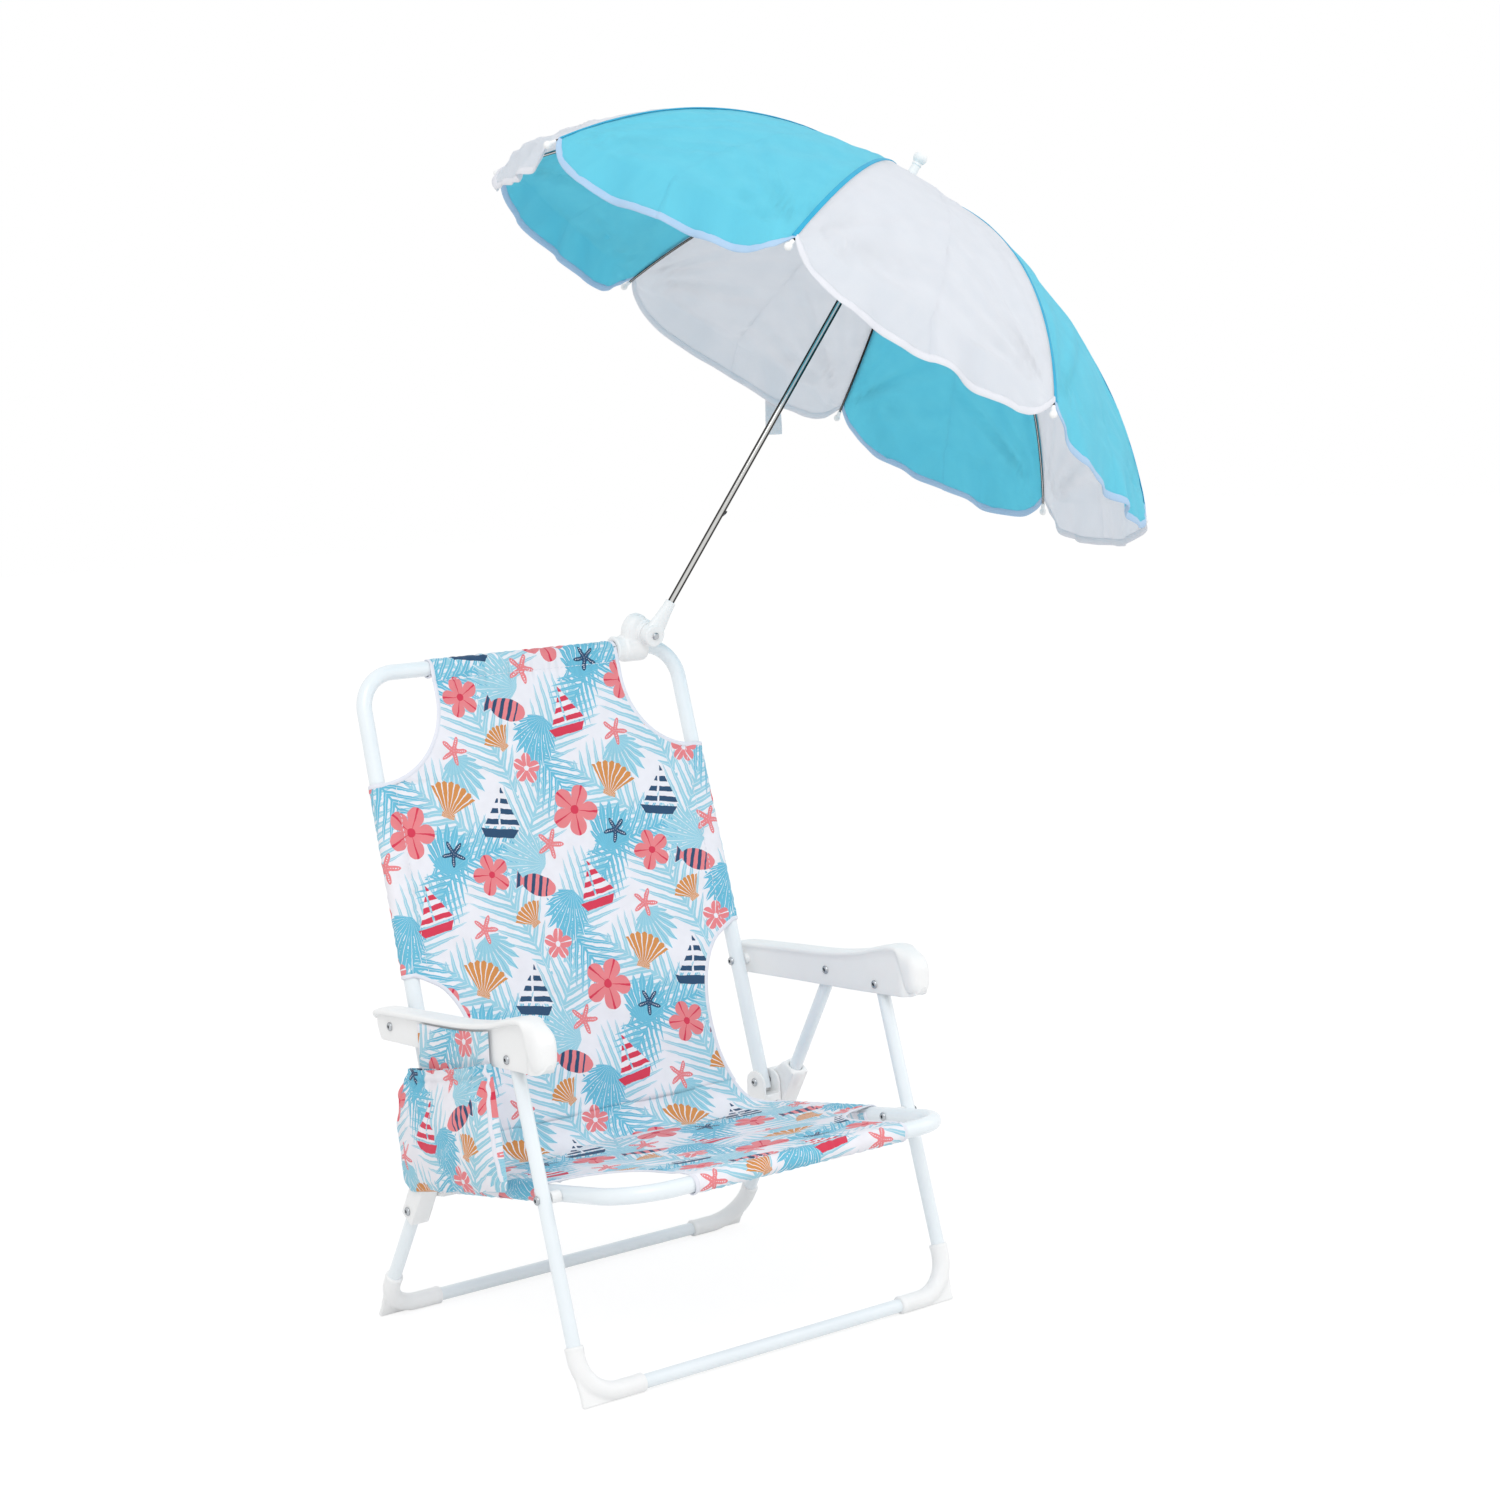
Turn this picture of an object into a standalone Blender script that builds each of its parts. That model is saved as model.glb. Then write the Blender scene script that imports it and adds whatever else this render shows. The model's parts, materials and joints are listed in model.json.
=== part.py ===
"""A child's folding beach chair with an umbrella clipped to its back.

The chair stands on z = 0 and faces -Y, with x = 0 midway between its sides. It is drawn set up:
the back is upright, the legs are spread and the umbrella is open and leans to the right.

Two bent tubes carry the sling: the seat frame, and the back frame, which folds forward on two
hinge blocks. The armrests join the back to the front legs, so that seat, back, armrests and front
legs make a parallelogram on each side. The rear legs swing under the armrests. The umbrella's
clamp turns on the top bar, and its mast tilts on the clamp's screw. A runner slides down the mast
to fold the ribs.

Sizes are in metres, written as millimetres times MM.
"""

import math

import bmesh
import bpy
from mathutils import Matrix, Vector

MM = 0.001
SIDES = (("left", -1), ("right", 1))

# Fits: the gap between pieces that touch, and what a cutter runs past a face
CLEARANCE = 0.3 * MM
OVERRUN = 3 * MM

# Tubes
MAIN_TUBE = 14 * MM
LEG_TUBE = 12 * MM
TUBE_WALL = 0.9 * MM
TUBE_FACETS = 12
BEND_STEPS = 6
END_MARGIN = 8 * MM

# Side view: pivots and leans
SEAT_PIVOT_Y = -112.1 * MM
SEAT_PIVOT_Z = 164.9 * MM
BACK_PIVOT_Y = 80.6 * MM
BACK_PIVOT_Z = 163.2 * MM
LINK_Y = 30.8 * MM
LINK_Z = 112.9 * MM
REAR_PIVOT_Y = -10.4 * MM
REAR_PIVOT_Z = 281.6 * MM
BACK_LEAN = math.radians(14.6)
SEAT_SLOPE = math.radians(8.53)
FRONT_LEG_LEAN = math.radians(16.0)
REAR_LEG_LEAN = math.radians(32.16)

# Bent frames: half widths, ends and bends. The other widths follow from the hinges'
HINGE_HALF_WIDTH = 176.9 * MM
BACK_TOP_TAPER = 5.6 * MM
BACK_TOP_HALF_WIDTH = HINGE_HALF_WIDTH - BACK_TOP_TAPER
BACK_TOP_Z = 577.8 * MM
BACK_BEND = 34 * MM
SEAT_FRONT_TAPER = 5.9 * MM
SEAT_FRONT_HALF_WIDTH = HINGE_HALF_WIDTH - SEAT_FRONT_TAPER
SEAT_FRONT_Y = -203 * MM
SEAT_BEND = 46 * MM
LEG_STANDOFF = 18.45 * MM
LEG_HALF_WIDTH = HINGE_HALF_WIDTH + LEG_STANDOFF
REAR_FOOT_SPLAY = 4.65 * MM
REAR_FOOT_HALF_WIDTH = LEG_HALF_WIDTH + REAR_FOOT_SPLAY
LEG_BEND = 34 * MM

# Rivets
RIVET_RADIUS = 2.0 * MM
RIVET_HEAD_RADIUS = 3.9 * MM
RIVET_HEAD_HEIGHT = 1.9 * MM
SUNK_HEAD_HEIGHT = 1.1 * MM
RIVET_FACETS = 8

# Boots: moulded elbows on the floor bars, each with a thin heel out to the corner
BOOT_WALL = 1.6 * MM
BOOT_FLAT = 0.4 * MM
BOOT_ON_LEG = 9 * MM
BOOT_ON_BAR = 24 * MM
HEEL_THICKNESS = 4.4 * MM
HEEL_REACH = 2.5 * MM
HEEL_RISE = 36 * MM

# Hinge blocks at the rear of the seat
BLOCK_WALL = 2.5 * MM
BLOCK_FRONT = 15 * MM
BLOCK_REAR = 13 * MM
BLOCK_TOP = 11 * MM
BLOCK_BOTTOM_WALL = 2.6 * MM
BLOCK_BACK_WALL = 2.5 * MM
BLOCK_ROUND_STEPS = 6
SINK_DEPTH = 1.5 * MM

# Saddles on the rear legs, measured along the leg from its upper rivet
SADDLE_START = 122 * MM
SADDLE_END = 208 * MM
SADDLE_RIVET_REACH = 198.6 * MM
SADDLE_FRONT_WALL = 3.2 * MM
SADDLE_REAR_WALL = 2.4 * MM
SADDLE_OUTER_WALL = 1.9 * MM
SADDLE_LOBE = 11 * MM
SADDLE_LOBE_STEPS = 8
SADDLE_SINK_DEPTH = 2.4 * MM
SADDLE_TO_BLOCK = 0.5 * MM

# Armrests: a shell that is open below, with a lip that overhangs its outer skirt
ARM_TAIL = 27.6 * MM
ARM_NOSE = 56.7 * MM
ARM_REAR_Y = BACK_PIVOT_Y + LINK_Y + ARM_TAIL
ARM_LENGTH = ARM_TAIL + BACK_PIVOT_Y - SEAT_PIVOT_Y + ARM_NOSE
ARM_BASE_Z = 262 * MM
ARM_HEIGHT = 54.5 * MM
ARM_WALL = 1.7 * MM
ARM_TOP_WALL = 2.6 * MM
ARM_SKIRT_IN = LEG_HALF_WIDTH - 8.35 * MM
ARM_SKIRT_OUT = LEG_HALF_WIDTH + 8.55 * MM
ARM_LIP_IN = LEG_HALF_WIDTH - 10.95 * MM
ARM_LIP_OUT = LEG_HALF_WIDTH + 13.55 * MM
ARM_BOSS_RADIUS = 5.2 * MM
ARM_NOSE_STEPS = 8
ARM_TOP_SHARES = (
    (0.0, 0.37), (0.03, 0.47), (0.10, 0.555), (0.30, 0.615), (0.54, 0.69), (0.70, 0.80), (0.82, 0.955),
    (0.88, 1.0), (0.94, 0.955), (0.98, 0.84), (1.0, 0.66), (0.985, 0.44), (0.945, 0.235),
)  # fmt: skip
ARM_BOTTOM_SHARES = ((0.90, 0.175), (0.66, 0.105), (0.36, 0.07), (0.05, 0.0), (0.04, 0.30))
ARM_CHANNEL_REAR_SHARE = 0.055
ARM_CHANNEL_FRONT_SHARE = 0.93

# Sling: one cloth, sewn round the tubes, in two solids that meet at the crease
CLOTH = 0.8 * MM
CLOTH_COLUMNS = 8
WRAP_STEPS = 9
WRAP_ANGLE = math.radians(292)
BACK_SAG = 7 * MM
SEAT_SAG = 7 * MM
CREASE_HALF_WIDTH = HINGE_HALF_WIDTH - 26.9 * MM
WAIST_HALF_WIDTH = HINGE_HALF_WIDTH - 50.9 * MM
SLING_SIDE_BOTTOM_Z = 315 * MM
SLING_SIDE_TOP_Z = 480 * MM
SLING_TOP_HALF_WIDTH = BACK_TOP_HALF_WIDTH - 71.3 * MM
TOP_CUTOUT_STEPS = 5
SEAT_SLEEVE_REAR_Y = 57 * MM
SEAT_SLEEVE_FRONT_Y = -86 * MM
SLING_FRONT_HALF_WIDTH = SEAT_FRONT_HALF_WIDTH - 61 * MM
WAIST_SHARES = ((0.05, 0.13), (0.17, 0.62), (0.33, 0.93), (0.55, 1.0), (0.75, 0.85), (0.9, 0.55), (0.97, 0.2))

# Side pocket under the left armrest
POCKET_INNER_X = ARM_SKIRT_OUT + 3.1 * MM
POCKET_DEPTH = 15 * MM
POCKET_CLOTH = 1.1 * MM
POCKET_REAR_Y = 92 * MM
POCKET_FRONT_Y = -79 * MM
POCKET_MOUTH_FRONT_Y = -62 * MM
POCKET_BOTTOM_Z = 150 * MM
POCKET_MOUTH_Z = 259 * MM
POCKET_SLOPE = math.radians(11)
POCKET_FLAP_REAR_Y = 58 * MM
POCKET_FLAP_FRONT_Y = -60 * MM
POCKET_SWELL_SHARES = ((0.0, 0.45), (0.18, 0.9), (0.5, 1.0), (0.82, 0.9), (1.0, 0.45))

# Clamp: a jaw on the top bar, with a boss that faces forward
CLAMP_LEFT_X = SLING_TOP_HALF_WIDTH + 2 * MM
CLAMP_RIGHT_X = CLAMP_LEFT_X + 35 * MM
CLAMP_LEAN = math.radians(14.1)
CLAMP_JAW_RADIUS = 13 * MM
CLAMP_PLATE_FRONT = 9.5 * MM
CLAMP_PLATE_REAR = 8 * MM
CLAMP_PLATE_TOP = 33 * MM
CLAMP_MOUTH = 11 * MM
CLAMP_ROUND_STEPS = 10
BOSS_X = CLAMP_RIGHT_X - 4 * MM
BOSS_RISE = 17.6 * MM
BOSS_REACH = 19.8 * MM
BOSS_RADIUS = 11.6 * MM
SOCKET_RADIUS = 10.8 * MM
SOCKET_THICKNESS = 11 * MM
SOCKET_TOP = 36 * MM
SOCKET_NECK_RADIUS = 5.3 * MM
SOCKET_BASE_RADIUS = 8.6 * MM
SOCKET_FACETS = 20
SCREW_HEAD_RADIUS = 3.6 * MM
SCREW_HEAD_HEIGHT = 1.6 * MM
SCREW_DEPTH = 12 * MM

# Umbrella, measured along the mast from its tilt screw
MAST_TILT = math.radians(30)
MAST_TUBE = 6.5 * MM
MAST_WALL = 0.8 * MM
MAST_START = 11.5 * MM
MAST_FACETS = 12
RIM_HEIGHT = 322.6 * MM
CANOPY_RADIUS = 353.5 * MM
CANOPY_RISE = 0.4696 * CANOPY_RADIUS
HEM_INSET = 8 * MM
CANOPY_BULGE = 6 * MM
CANOPY_CLOTH = 0.9 * MM
CANOPY_GORES = 8
GORE_COLUMNS = 6
CANOPY_ROWS = 8
FIRST_RIB = math.radians(176.3)
GORE_FLATTEN_SHARE = 0.4
HEM_DROP = 35 * MM
HEM_AT_RIB = 3 * MM
HEM_ROWS = 2
HEM_HANG_SHARE = 0.6
CROWN_RADIUS = 8.2 * MM
CROWN_HEIGHT = 8 * MM
CROWN_HOLE = 7.5 * MM
CAP_FLANGE_RADIUS = 9 * MM
CAP_FLANGE_HEIGHT = 2.2 * MM
CAP_NECK_RADIUS = 3.9 * MM
CAP_BALL_RADIUS = 5.4 * MM
CAP_LENGTH = 40 * MM
RIB_RADIUS = 1.2 * MM
RIB_FACETS = 6
RIB_STEPS = 9
RIB_TIP_RADIUS = 3.6 * MM
RIB_GAP = 1.3 * MM
EYE_RADIUS = 1.6 * MM
HINGE_RADIUS = CROWN_RADIUS + CLEARANCE + EYE_RADIUS
JOINT_SHARE = 0.445
STRETCHER_RADIUS = 1.1 * MM
STRETCHER_SHIFT = RIB_RADIUS + STRETCHER_RADIUS + 0.5 * MM
CLOSED_TIP_RADIUS = 16 * MM
STRETCHER_LENGTH = 0.4894 * CANOPY_RADIUS
RUNNER_RADIUS = 5.4 * MM
RUNNER_LENGTH = 26 * MM
RUNNER_FLANGE = 5 * MM
CATCH_LENGTH = 9 * MM
CATCH_REACH = 2.4 * MM
CATCH_PRESSED_REACH = 0.1 * MM
CATCH_THICKNESS = 1.6 * MM
STRAP_WIDTH = 18 * MM
STRAP_LENGTH = 38 * MM
STRAP_THICKNESS = 1.2 * MM
STRAP_GORE = 5
STRAP_GORE_SHARE = 0.3

# Colours as linear values, then roughness and metallic
FINISHES = {
    "white_tube": ((0.83, 0.87, 0.88), 0.3, 0.0),
    "white_plastic": ((0.88, 0.89, 0.9), 0.42, 0.0),
    "zinc": ((0.5, 0.5, 0.5), 0.35, 1.0),
    "chrome": ((0.6, 0.6, 0.6), 0.15, 1.0),
    "sling_cloth": ((0.62, 0.8, 0.88), 0.85, 0.0),
    "canopy_cloth": ((0.17, 0.62, 0.83), 0.7, 0.0),
    "strap_cloth": ((0.84, 0.86, 0.9), 0.85, 0.0),
}


# Side-view lines. Each gives the y of a tube's axis at a height, or the reverse on the seat.
def back_y(z):
    middle_y = BACK_PIVOT_Y + LINK_Y / 2
    middle_z = BACK_PIVOT_Z + LINK_Z / 2
    return middle_y + (z - middle_z) * math.tan(BACK_LEAN)


def seat_z(y):
    return SEAT_PIVOT_Z - (y - SEAT_PIVOT_Y) * math.tan(SEAT_SLOPE)


def front_leg_y(z):
    middle_y = SEAT_PIVOT_Y + LINK_Y / 2
    middle_z = SEAT_PIVOT_Z + LINK_Z / 2
    return middle_y + (z - middle_z) * math.tan(FRONT_LEG_LEAN)


def rear_leg_y(z):
    return REAR_PIVOT_Y - (z - REAR_PIVOT_Z) * math.tan(REAR_LEG_LEAN)


def back_x(z):
    share = (z - BACK_PIVOT_Z) / (BACK_TOP_Z - BACK_PIVOT_Z)
    return HINGE_HALF_WIDTH + share * (BACK_TOP_HALF_WIDTH - HINGE_HALF_WIDTH)


def seat_x(y):
    share = (y - BACK_PIVOT_Y) / (SEAT_FRONT_Y - BACK_PIVOT_Y)
    return HINGE_HALF_WIDTH + share * (SEAT_FRONT_HALF_WIDTH - HINGE_HALF_WIDTH)


def rear_leg_x(z):
    share = (REAR_PIVOT_Z - z) / (REAR_PIVOT_Z - FLOOR_BAR_Z)
    return LEG_HALF_WIDTH + share * (REAR_FOOT_HALF_WIDTH - LEG_HALF_WIDTH)


# Places that follow from the sizes
MAIN_RADIUS = MAIN_TUBE / 2
LEG_RADIUS = LEG_TUBE / 2
BOOT_RADIUS = LEG_RADIUS + CLEARANCE + BOOT_WALL
FLOOR_BAR_Z = BOOT_RADIUS - BOOT_FLAT
HOLE_RADIUS = RIVET_RADIUS + CLEARANCE
ARM_FRONT_PIVOT_Y = SEAT_PIVOT_Y + LINK_Y
ARM_FRONT_PIVOT_Z = SEAT_PIVOT_Z + LINK_Z
ARM_REAR_PIVOT_Y = BACK_PIVOT_Y + LINK_Y
ARM_REAR_PIVOT_Z = BACK_PIVOT_Z + LINK_Z
TOP_BAR_Y = back_y(BACK_TOP_Z)
SADDLE_RIVET_Y = REAR_PIVOT_Y + SADDLE_RIVET_REACH * math.sin(REAR_LEG_LEAN)
SADDLE_RIVET_Z = REAR_PIVOT_Z - SADDLE_RIVET_REACH * math.cos(REAR_LEG_LEAN)
BLOCK_HALF_WIDTH = MAIN_RADIUS + CLEARANCE + BLOCK_WALL
BLOCK_OUT = HINGE_HALF_WIDTH + BLOCK_HALF_WIDTH
BLOCK_IN = HINGE_HALF_WIDTH - BLOCK_HALF_WIDTH
SADDLE_IN = BLOCK_OUT + SADDLE_TO_BLOCK
WRAP_RADIUS = (MAIN_RADIUS + CLEARANCE) / math.cos(WRAP_ANGLE / WRAP_STEPS / 2) + CLOTH / 2
APEX_HEIGHT = RIM_HEIGHT + CANOPY_RISE
DOME_RADIUS = (CANOPY_RADIUS**2 + CANOPY_RISE**2) / (2 * CANOPY_RISE)
CROWN_HINGE_HEIGHT = APEX_HEIGHT - CANOPY_CLOTH - 2 * CLEARANCE - CROWN_HEIGHT / 2


# Bodies: an empty on each joint's axis, in a tree that starts at the chair's own empty
def add_empty(name, parent, place):
    empty = bpy.data.objects.new(name, None)
    bpy.context.scene.collection.objects.link(empty)
    empty.parent = parent
    empty.matrix_basis = place
    return empty


def in_chair(body):
    """The body's place in the chair's own frame."""
    place = Matrix()
    while body:
        place = body.matrix_basis @ place
        body = body.parent
    return place


def add_body(name, parent, chair_place):
    return add_empty(name, parent, in_chair(parent).inverted() @ chair_place)


def add_bodies():
    chair = add_empty("chair", None, Matrix())
    seat = add_empty("seat_body", chair, Matrix())
    bodies = {"chair": chair, "seat": seat}

    def hinge(name, parent, y, z):
        bodies[name] = add_body(name + "_hinge", bodies[parent], Matrix.Translation((0, y, z)))

    hinge("back", "seat", BACK_PIVOT_Y, BACK_PIVOT_Z)
    hinge("front_legs", "seat", SEAT_PIVOT_Y, SEAT_PIVOT_Z)
    hinge("armrests", "back", ARM_REAR_PIVOT_Y, ARM_REAR_PIVOT_Z)
    hinge("rear_legs", "armrests", REAR_PIVOT_Y, REAR_PIVOT_Z)
    clamp = Matrix.Translation((0, TOP_BAR_Y, BACK_TOP_Z)) @ Matrix.Rotation(CLAMP_LEAN, 4, "X")
    bodies["clamp"] = add_body("clamp_hinge", bodies["back"], clamp)
    mast = Matrix.Translation((BOSS_X, -BOSS_REACH, BOSS_RISE)) @ Matrix.Rotation(MAST_TILT, 4, "Y")
    bodies["mast"] = add_empty("mast_hinge", bodies["clamp"], mast)
    runner = Matrix.Translation((0, 0, runner_open()))
    bodies["runner"] = add_empty("runner_slide", bodies["mast"], runner)
    return bodies


# Meshes
def add_solid(name, shape, finish, body, chair_frame=True):
    """A named object from (points, faces). Points are in the chair's frame or in the body's own."""
    points, faces = shape
    mesh = bpy.data.meshes.new(name)
    mesh.from_pydata([tuple(point) for point in points], [], faces)
    if chair_frame:
        mesh.transform(in_chair(body).inverted())
    obj = bpy.data.objects.new(name, mesh)
    bpy.context.scene.collection.objects.link(obj)
    obj.parent = body
    tidy_mesh(obj)
    if finish:
        mesh.materials.append(material(finish))
    return obj


def tidy_mesh(obj):
    """Turns every face outwards and shades round stretches smooth."""
    shape = bmesh.new()
    shape.from_mesh(obj.data)
    bmesh.ops.recalc_face_normals(shape, faces=shape.faces)
    shape.to_mesh(obj.data)
    shape.free()
    obj.data.shade_smooth()
    obj.data.set_sharp_from_angle(angle=math.radians(40))


def material(finish):
    if finish in bpy.data.materials:
        return bpy.data.materials[finish]
    colour, roughness, metallic = FINISHES[finish]
    made = bpy.data.materials.new(finish)
    made.use_nodes = True
    shader = made.node_tree.nodes["Principled BSDF"]
    shader.inputs["Base Color"].default_value = (*colour, 1)
    shader.inputs["Roughness"].default_value = roughness
    shader.inputs["Metallic"].default_value = metallic
    return made


def combine(obj, shapes, operation):
    """Joins shapes to the object or cuts them from it. They are in the same frame as its mesh."""
    for shape in shapes:
        other = add_solid(obj.name + "_tool", shape, None, obj.parent, chair_frame=False)
        other.hide_render = True
        other.display_type = "WIRE"
        step = obj.modifiers.new(operation.lower(), "BOOLEAN")
        step.operation = operation
        step.object = other
        bpy.context.view_layer.update()
        graph = bpy.context.evaluated_depsgraph_get()
        result = bpy.data.meshes.new_from_object(obj.evaluated_get(graph))
        obj.modifiers.clear()
        old = obj.data
        obj.data = result
        bpy.data.meshes.remove(old)
        bpy.data.meshes.remove(other.data)
    tidy_mesh(obj)
    return obj


def cut(obj, *shapes):
    return combine(obj, shapes, "DIFFERENCE")


def join(obj, *shapes):
    return combine(obj, shapes, "UNION")


def moved(shape, place):
    points, faces = shape
    return [place @ Vector(point) for point in points], faces


def to_body(shape, body):
    """A shape drawn in the chair's frame, brought into the body's own."""
    return moved(shape, in_chair(body).inverted())


# Shapes
def round_corners(corners, radius, steps):
    """A path through the corners, each inner one rounded by an arc of the radius."""
    corners = [Vector(corner) for corner in corners]
    path = [corners[0]]
    for before, corner, after in zip(corners, corners[1:], corners[2:]):
        back = (before - corner).normalized()
        ahead = (after - corner).normalized()
        half = back.angle(ahead) / 2
        centre = corner + (back + ahead).normalized() * (radius / math.sin(half))
        start = corner + back * (radius / math.tan(half)) - centre
        turn = back.cross(ahead)
        sweep = math.pi - 2 * half
        for step in range(steps + 1):
            path.append(centre + Matrix.Rotation(-sweep * step / steps, 3, turn) @ start)
    path.append(corners[-1])
    return path


def sweep_bar(path, radius, facets, bore=0):
    """A round bar along the path, or with a bore a tube that is open at both ends."""
    path = [Vector(point) for point in path]
    last = len(path) - 1
    directions = [(path[min(i + 1, last)] - path[max(i - 1, 0)]).normalized() for i in range(last + 1)]
    side = directions[0].orthogonal().normalized()
    rings = []
    for point, ahead in zip(path, directions):
        side = (side - ahead * side.dot(ahead)).normalized()
        up = ahead.cross(side)
        rings.append((point, side, up))
    points = []
    for reach in (radius, bore) if bore else (radius,):
        for point, side, up in rings:
            for step in range(facets):
                angle = 2 * math.pi * step / facets
                points.append(point + (side * math.cos(angle) + up * math.sin(angle)) * reach)
    faces = []
    layer = len(rings) * facets
    for base in (0, layer) if bore else (0,):
        for i in range(last):
            for step in range(facets):
                near = base + i * facets
                next_step = (step + 1) % facets
                faces.append((near + step, near + next_step, near + facets + next_step, near + facets + step))
    ends = (0, last * facets)
    if bore:
        for end in ends:
            for step in range(facets):
                next_step = (step + 1) % facets
                faces.append((end + step, end + next_step, layer + end + next_step, layer + end + step))
    else:
        for end in ends:
            faces.append(tuple(range(end, end + facets)))
    return points, faces


def turned(profile, facets):
    """A solid of revolution about Z. A profile that leaves the axis open makes a ring."""
    points = []
    rows = []
    for radius, height in profile:
        if radius == 0:
            rows.append([len(points)] * facets)
            points.append(Vector((0, 0, height)))
            continue
        rows.append([len(points) + step for step in range(facets)])
        for step in range(facets):
            angle = 2 * math.pi * step / facets
            points.append(Vector((radius * math.cos(angle), radius * math.sin(angle), height)))
    faces = []
    pairs = list(zip(rows, rows[1:]))
    if profile[0][0] > 0:
        pairs.append((rows[-1], rows[0]))
    for low, high in pairs:
        for step in range(facets):
            next_step = (step + 1) % facets
            face = (low[step], low[next_step], high[next_step], high[step])
            face = tuple(dict.fromkeys(face))
            if len(face) > 2:
                faces.append(face)
    return points, faces


def along_x(shape, y, z):
    """Turns a shape's Z axis to +X, through the point (0, y, z)."""
    return moved(shape, Matrix.Translation((0, y, z)) @ Matrix.Rotation(math.pi / 2, 4, "Y"))


def cross_pin(y, z, low_x, high_x, radius, facets=RIVET_FACETS):
    return along_x(turned(((0, low_x), (radius, low_x), (radius, high_x), (0, high_x)), facets), y, z)


def side_prism(outline, low_x, high_x):
    """An outline of (y, z) points, carried from low_x to high_x."""
    count = len(outline)
    points = [Vector((x, y, z)) for x in (low_x, high_x) for y, z in outline]
    faces = [tuple(range(count)), tuple(range(count, 2 * count))]
    for step in range(count):
        next_step = (step + 1) % count
        faces.append((step, next_step, count + next_step, count + step))
    return points, faces


def arc(centre, radius, start, end, steps):
    """Points of an arc, with angles from the first axis towards the second."""
    angles = [start + (end - start) * step / steps for step in range(steps + 1)]
    return [(centre[0] + radius * math.cos(a), centre[1] + radius * math.sin(a)) for a in angles]


def box(low, high):
    points = [Vector((x, y, z)) for x in (low[0], high[0]) for y in (low[1], high[1]) for z in (low[2], high[2])]
    faces = [(0, 1, 3, 2), (4, 5, 7, 6), (0, 1, 5, 4), (2, 3, 7, 6), (0, 2, 6, 4), (1, 3, 7, 5)]
    return points, faces


def sheet(rows, thickness):
    """A cloth from rows of points, None where it is cut out, thickened evenly to both sides."""
    points = []
    index = {}
    for i, row in enumerate(rows):
        for j, point in enumerate(row):
            if point is not None:
                index[i, j] = len(points)
                points.append(Vector(point))
    faces = []
    for i, row in enumerate(rows[:-1]):
        for j in range(len(row) - 1):
            corners = ((i, j), (i, j + 1), (i + 1, j + 1), (i + 1, j))
            if all(corner in index for corner in corners):
                faces.append(tuple(index[corner] for corner in corners))
    return thicken(points, faces, thickness)


def thicken(points, faces, thickness):
    """Two layers, half the thickness to each side of the sheet, joined along its edges."""
    shape = bmesh.new()
    made = [shape.verts.new(point) for point in points]
    for face in faces:
        shape.faces.new([made[i] for i in face])
    bmesh.ops.recalc_face_normals(shape, faces=shape.faces)
    shape.normal_update()
    count = len(made)
    layers = [vert.co + vert.normal * thickness / 2 for vert in made]
    layers += [vert.co - vert.normal * thickness / 2 for vert in made]
    shape.verts.index_update()
    walls = [tuple(vert.index for vert in face.verts) for face in shape.faces]
    walls += [tuple(count + vert.index for vert in reversed(face.verts)) for face in shape.faces]
    for edge in shape.edges:
        if edge.is_boundary:
            a, b = (vert.index for vert in edge.verts)
            walls.append((a, b, count + b, count + a))
    shape.free()
    return layers, walls


# Frames
def add_back_frame(body):
    low_z = BACK_PIVOT_Z - END_MARGIN * math.cos(BACK_LEAN)
    end = (back_x(low_z), back_y(low_z), low_z)
    corner = (BACK_TOP_HALF_WIDTH, TOP_BAR_Y, BACK_TOP_Z)
    frame = add_frame("back_frame", (end, corner), BACK_BEND, MAIN_RADIUS, body)
    back_holes = ((BACK_PIVOT_Y, BACK_PIVOT_Z), (ARM_REAR_PIVOT_Y, ARM_REAR_PIVOT_Z))
    return drill(frame, back_holes, HINGE_HALF_WIDTH, body)


def add_seat_frame(body):
    rear_y = BACK_PIVOT_Y + BLOCK_REAR - BLOCK_BACK_WALL - CLEARANCE
    end = (seat_x(rear_y), rear_y, seat_z(rear_y))
    corner = (SEAT_FRONT_HALF_WIDTH, SEAT_FRONT_Y, seat_z(SEAT_FRONT_Y))
    frame = add_frame("seat_frame", (end, corner), SEAT_BEND, MAIN_RADIUS, body)
    return drill(frame, ((SEAT_PIVOT_Y, SEAT_PIVOT_Z),), HINGE_HALF_WIDTH, body)


def front_leg_path():
    top_z = ARM_FRONT_PIVOT_Z + END_MARGIN * math.cos(FRONT_LEG_LEAN)
    end = (LEG_HALF_WIDTH, front_leg_y(top_z), top_z)
    corner = (LEG_HALF_WIDTH, front_leg_y(FLOOR_BAR_Z), FLOOR_BAR_Z)
    return end, corner


def rear_leg_path():
    top_z = REAR_PIVOT_Z + END_MARGIN * math.cos(REAR_LEG_LEAN)
    end = (rear_leg_x(top_z), rear_leg_y(top_z), top_z)
    corner = (REAR_FOOT_HALF_WIDTH, rear_leg_y(FLOOR_BAR_Z), FLOOR_BAR_Z)
    return end, corner


def add_front_legs(body):
    frame = add_frame("front_leg_frame", front_leg_path(), LEG_BEND, LEG_RADIUS, body)
    holes = ((SEAT_PIVOT_Y, SEAT_PIVOT_Z), (ARM_FRONT_PIVOT_Y, ARM_FRONT_PIVOT_Z))
    return drill(frame, holes, LEG_HALF_WIDTH, body)


def add_rear_legs(body):
    frame = add_frame("rear_leg_frame", rear_leg_path(), LEG_BEND, LEG_RADIUS, body)
    holes = ((REAR_PIVOT_Y, REAR_PIVOT_Z), (SADDLE_RIVET_Y, SADDLE_RIVET_Z))
    return drill(frame, holes, REAR_FOOT_HALF_WIDTH, body)


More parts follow.
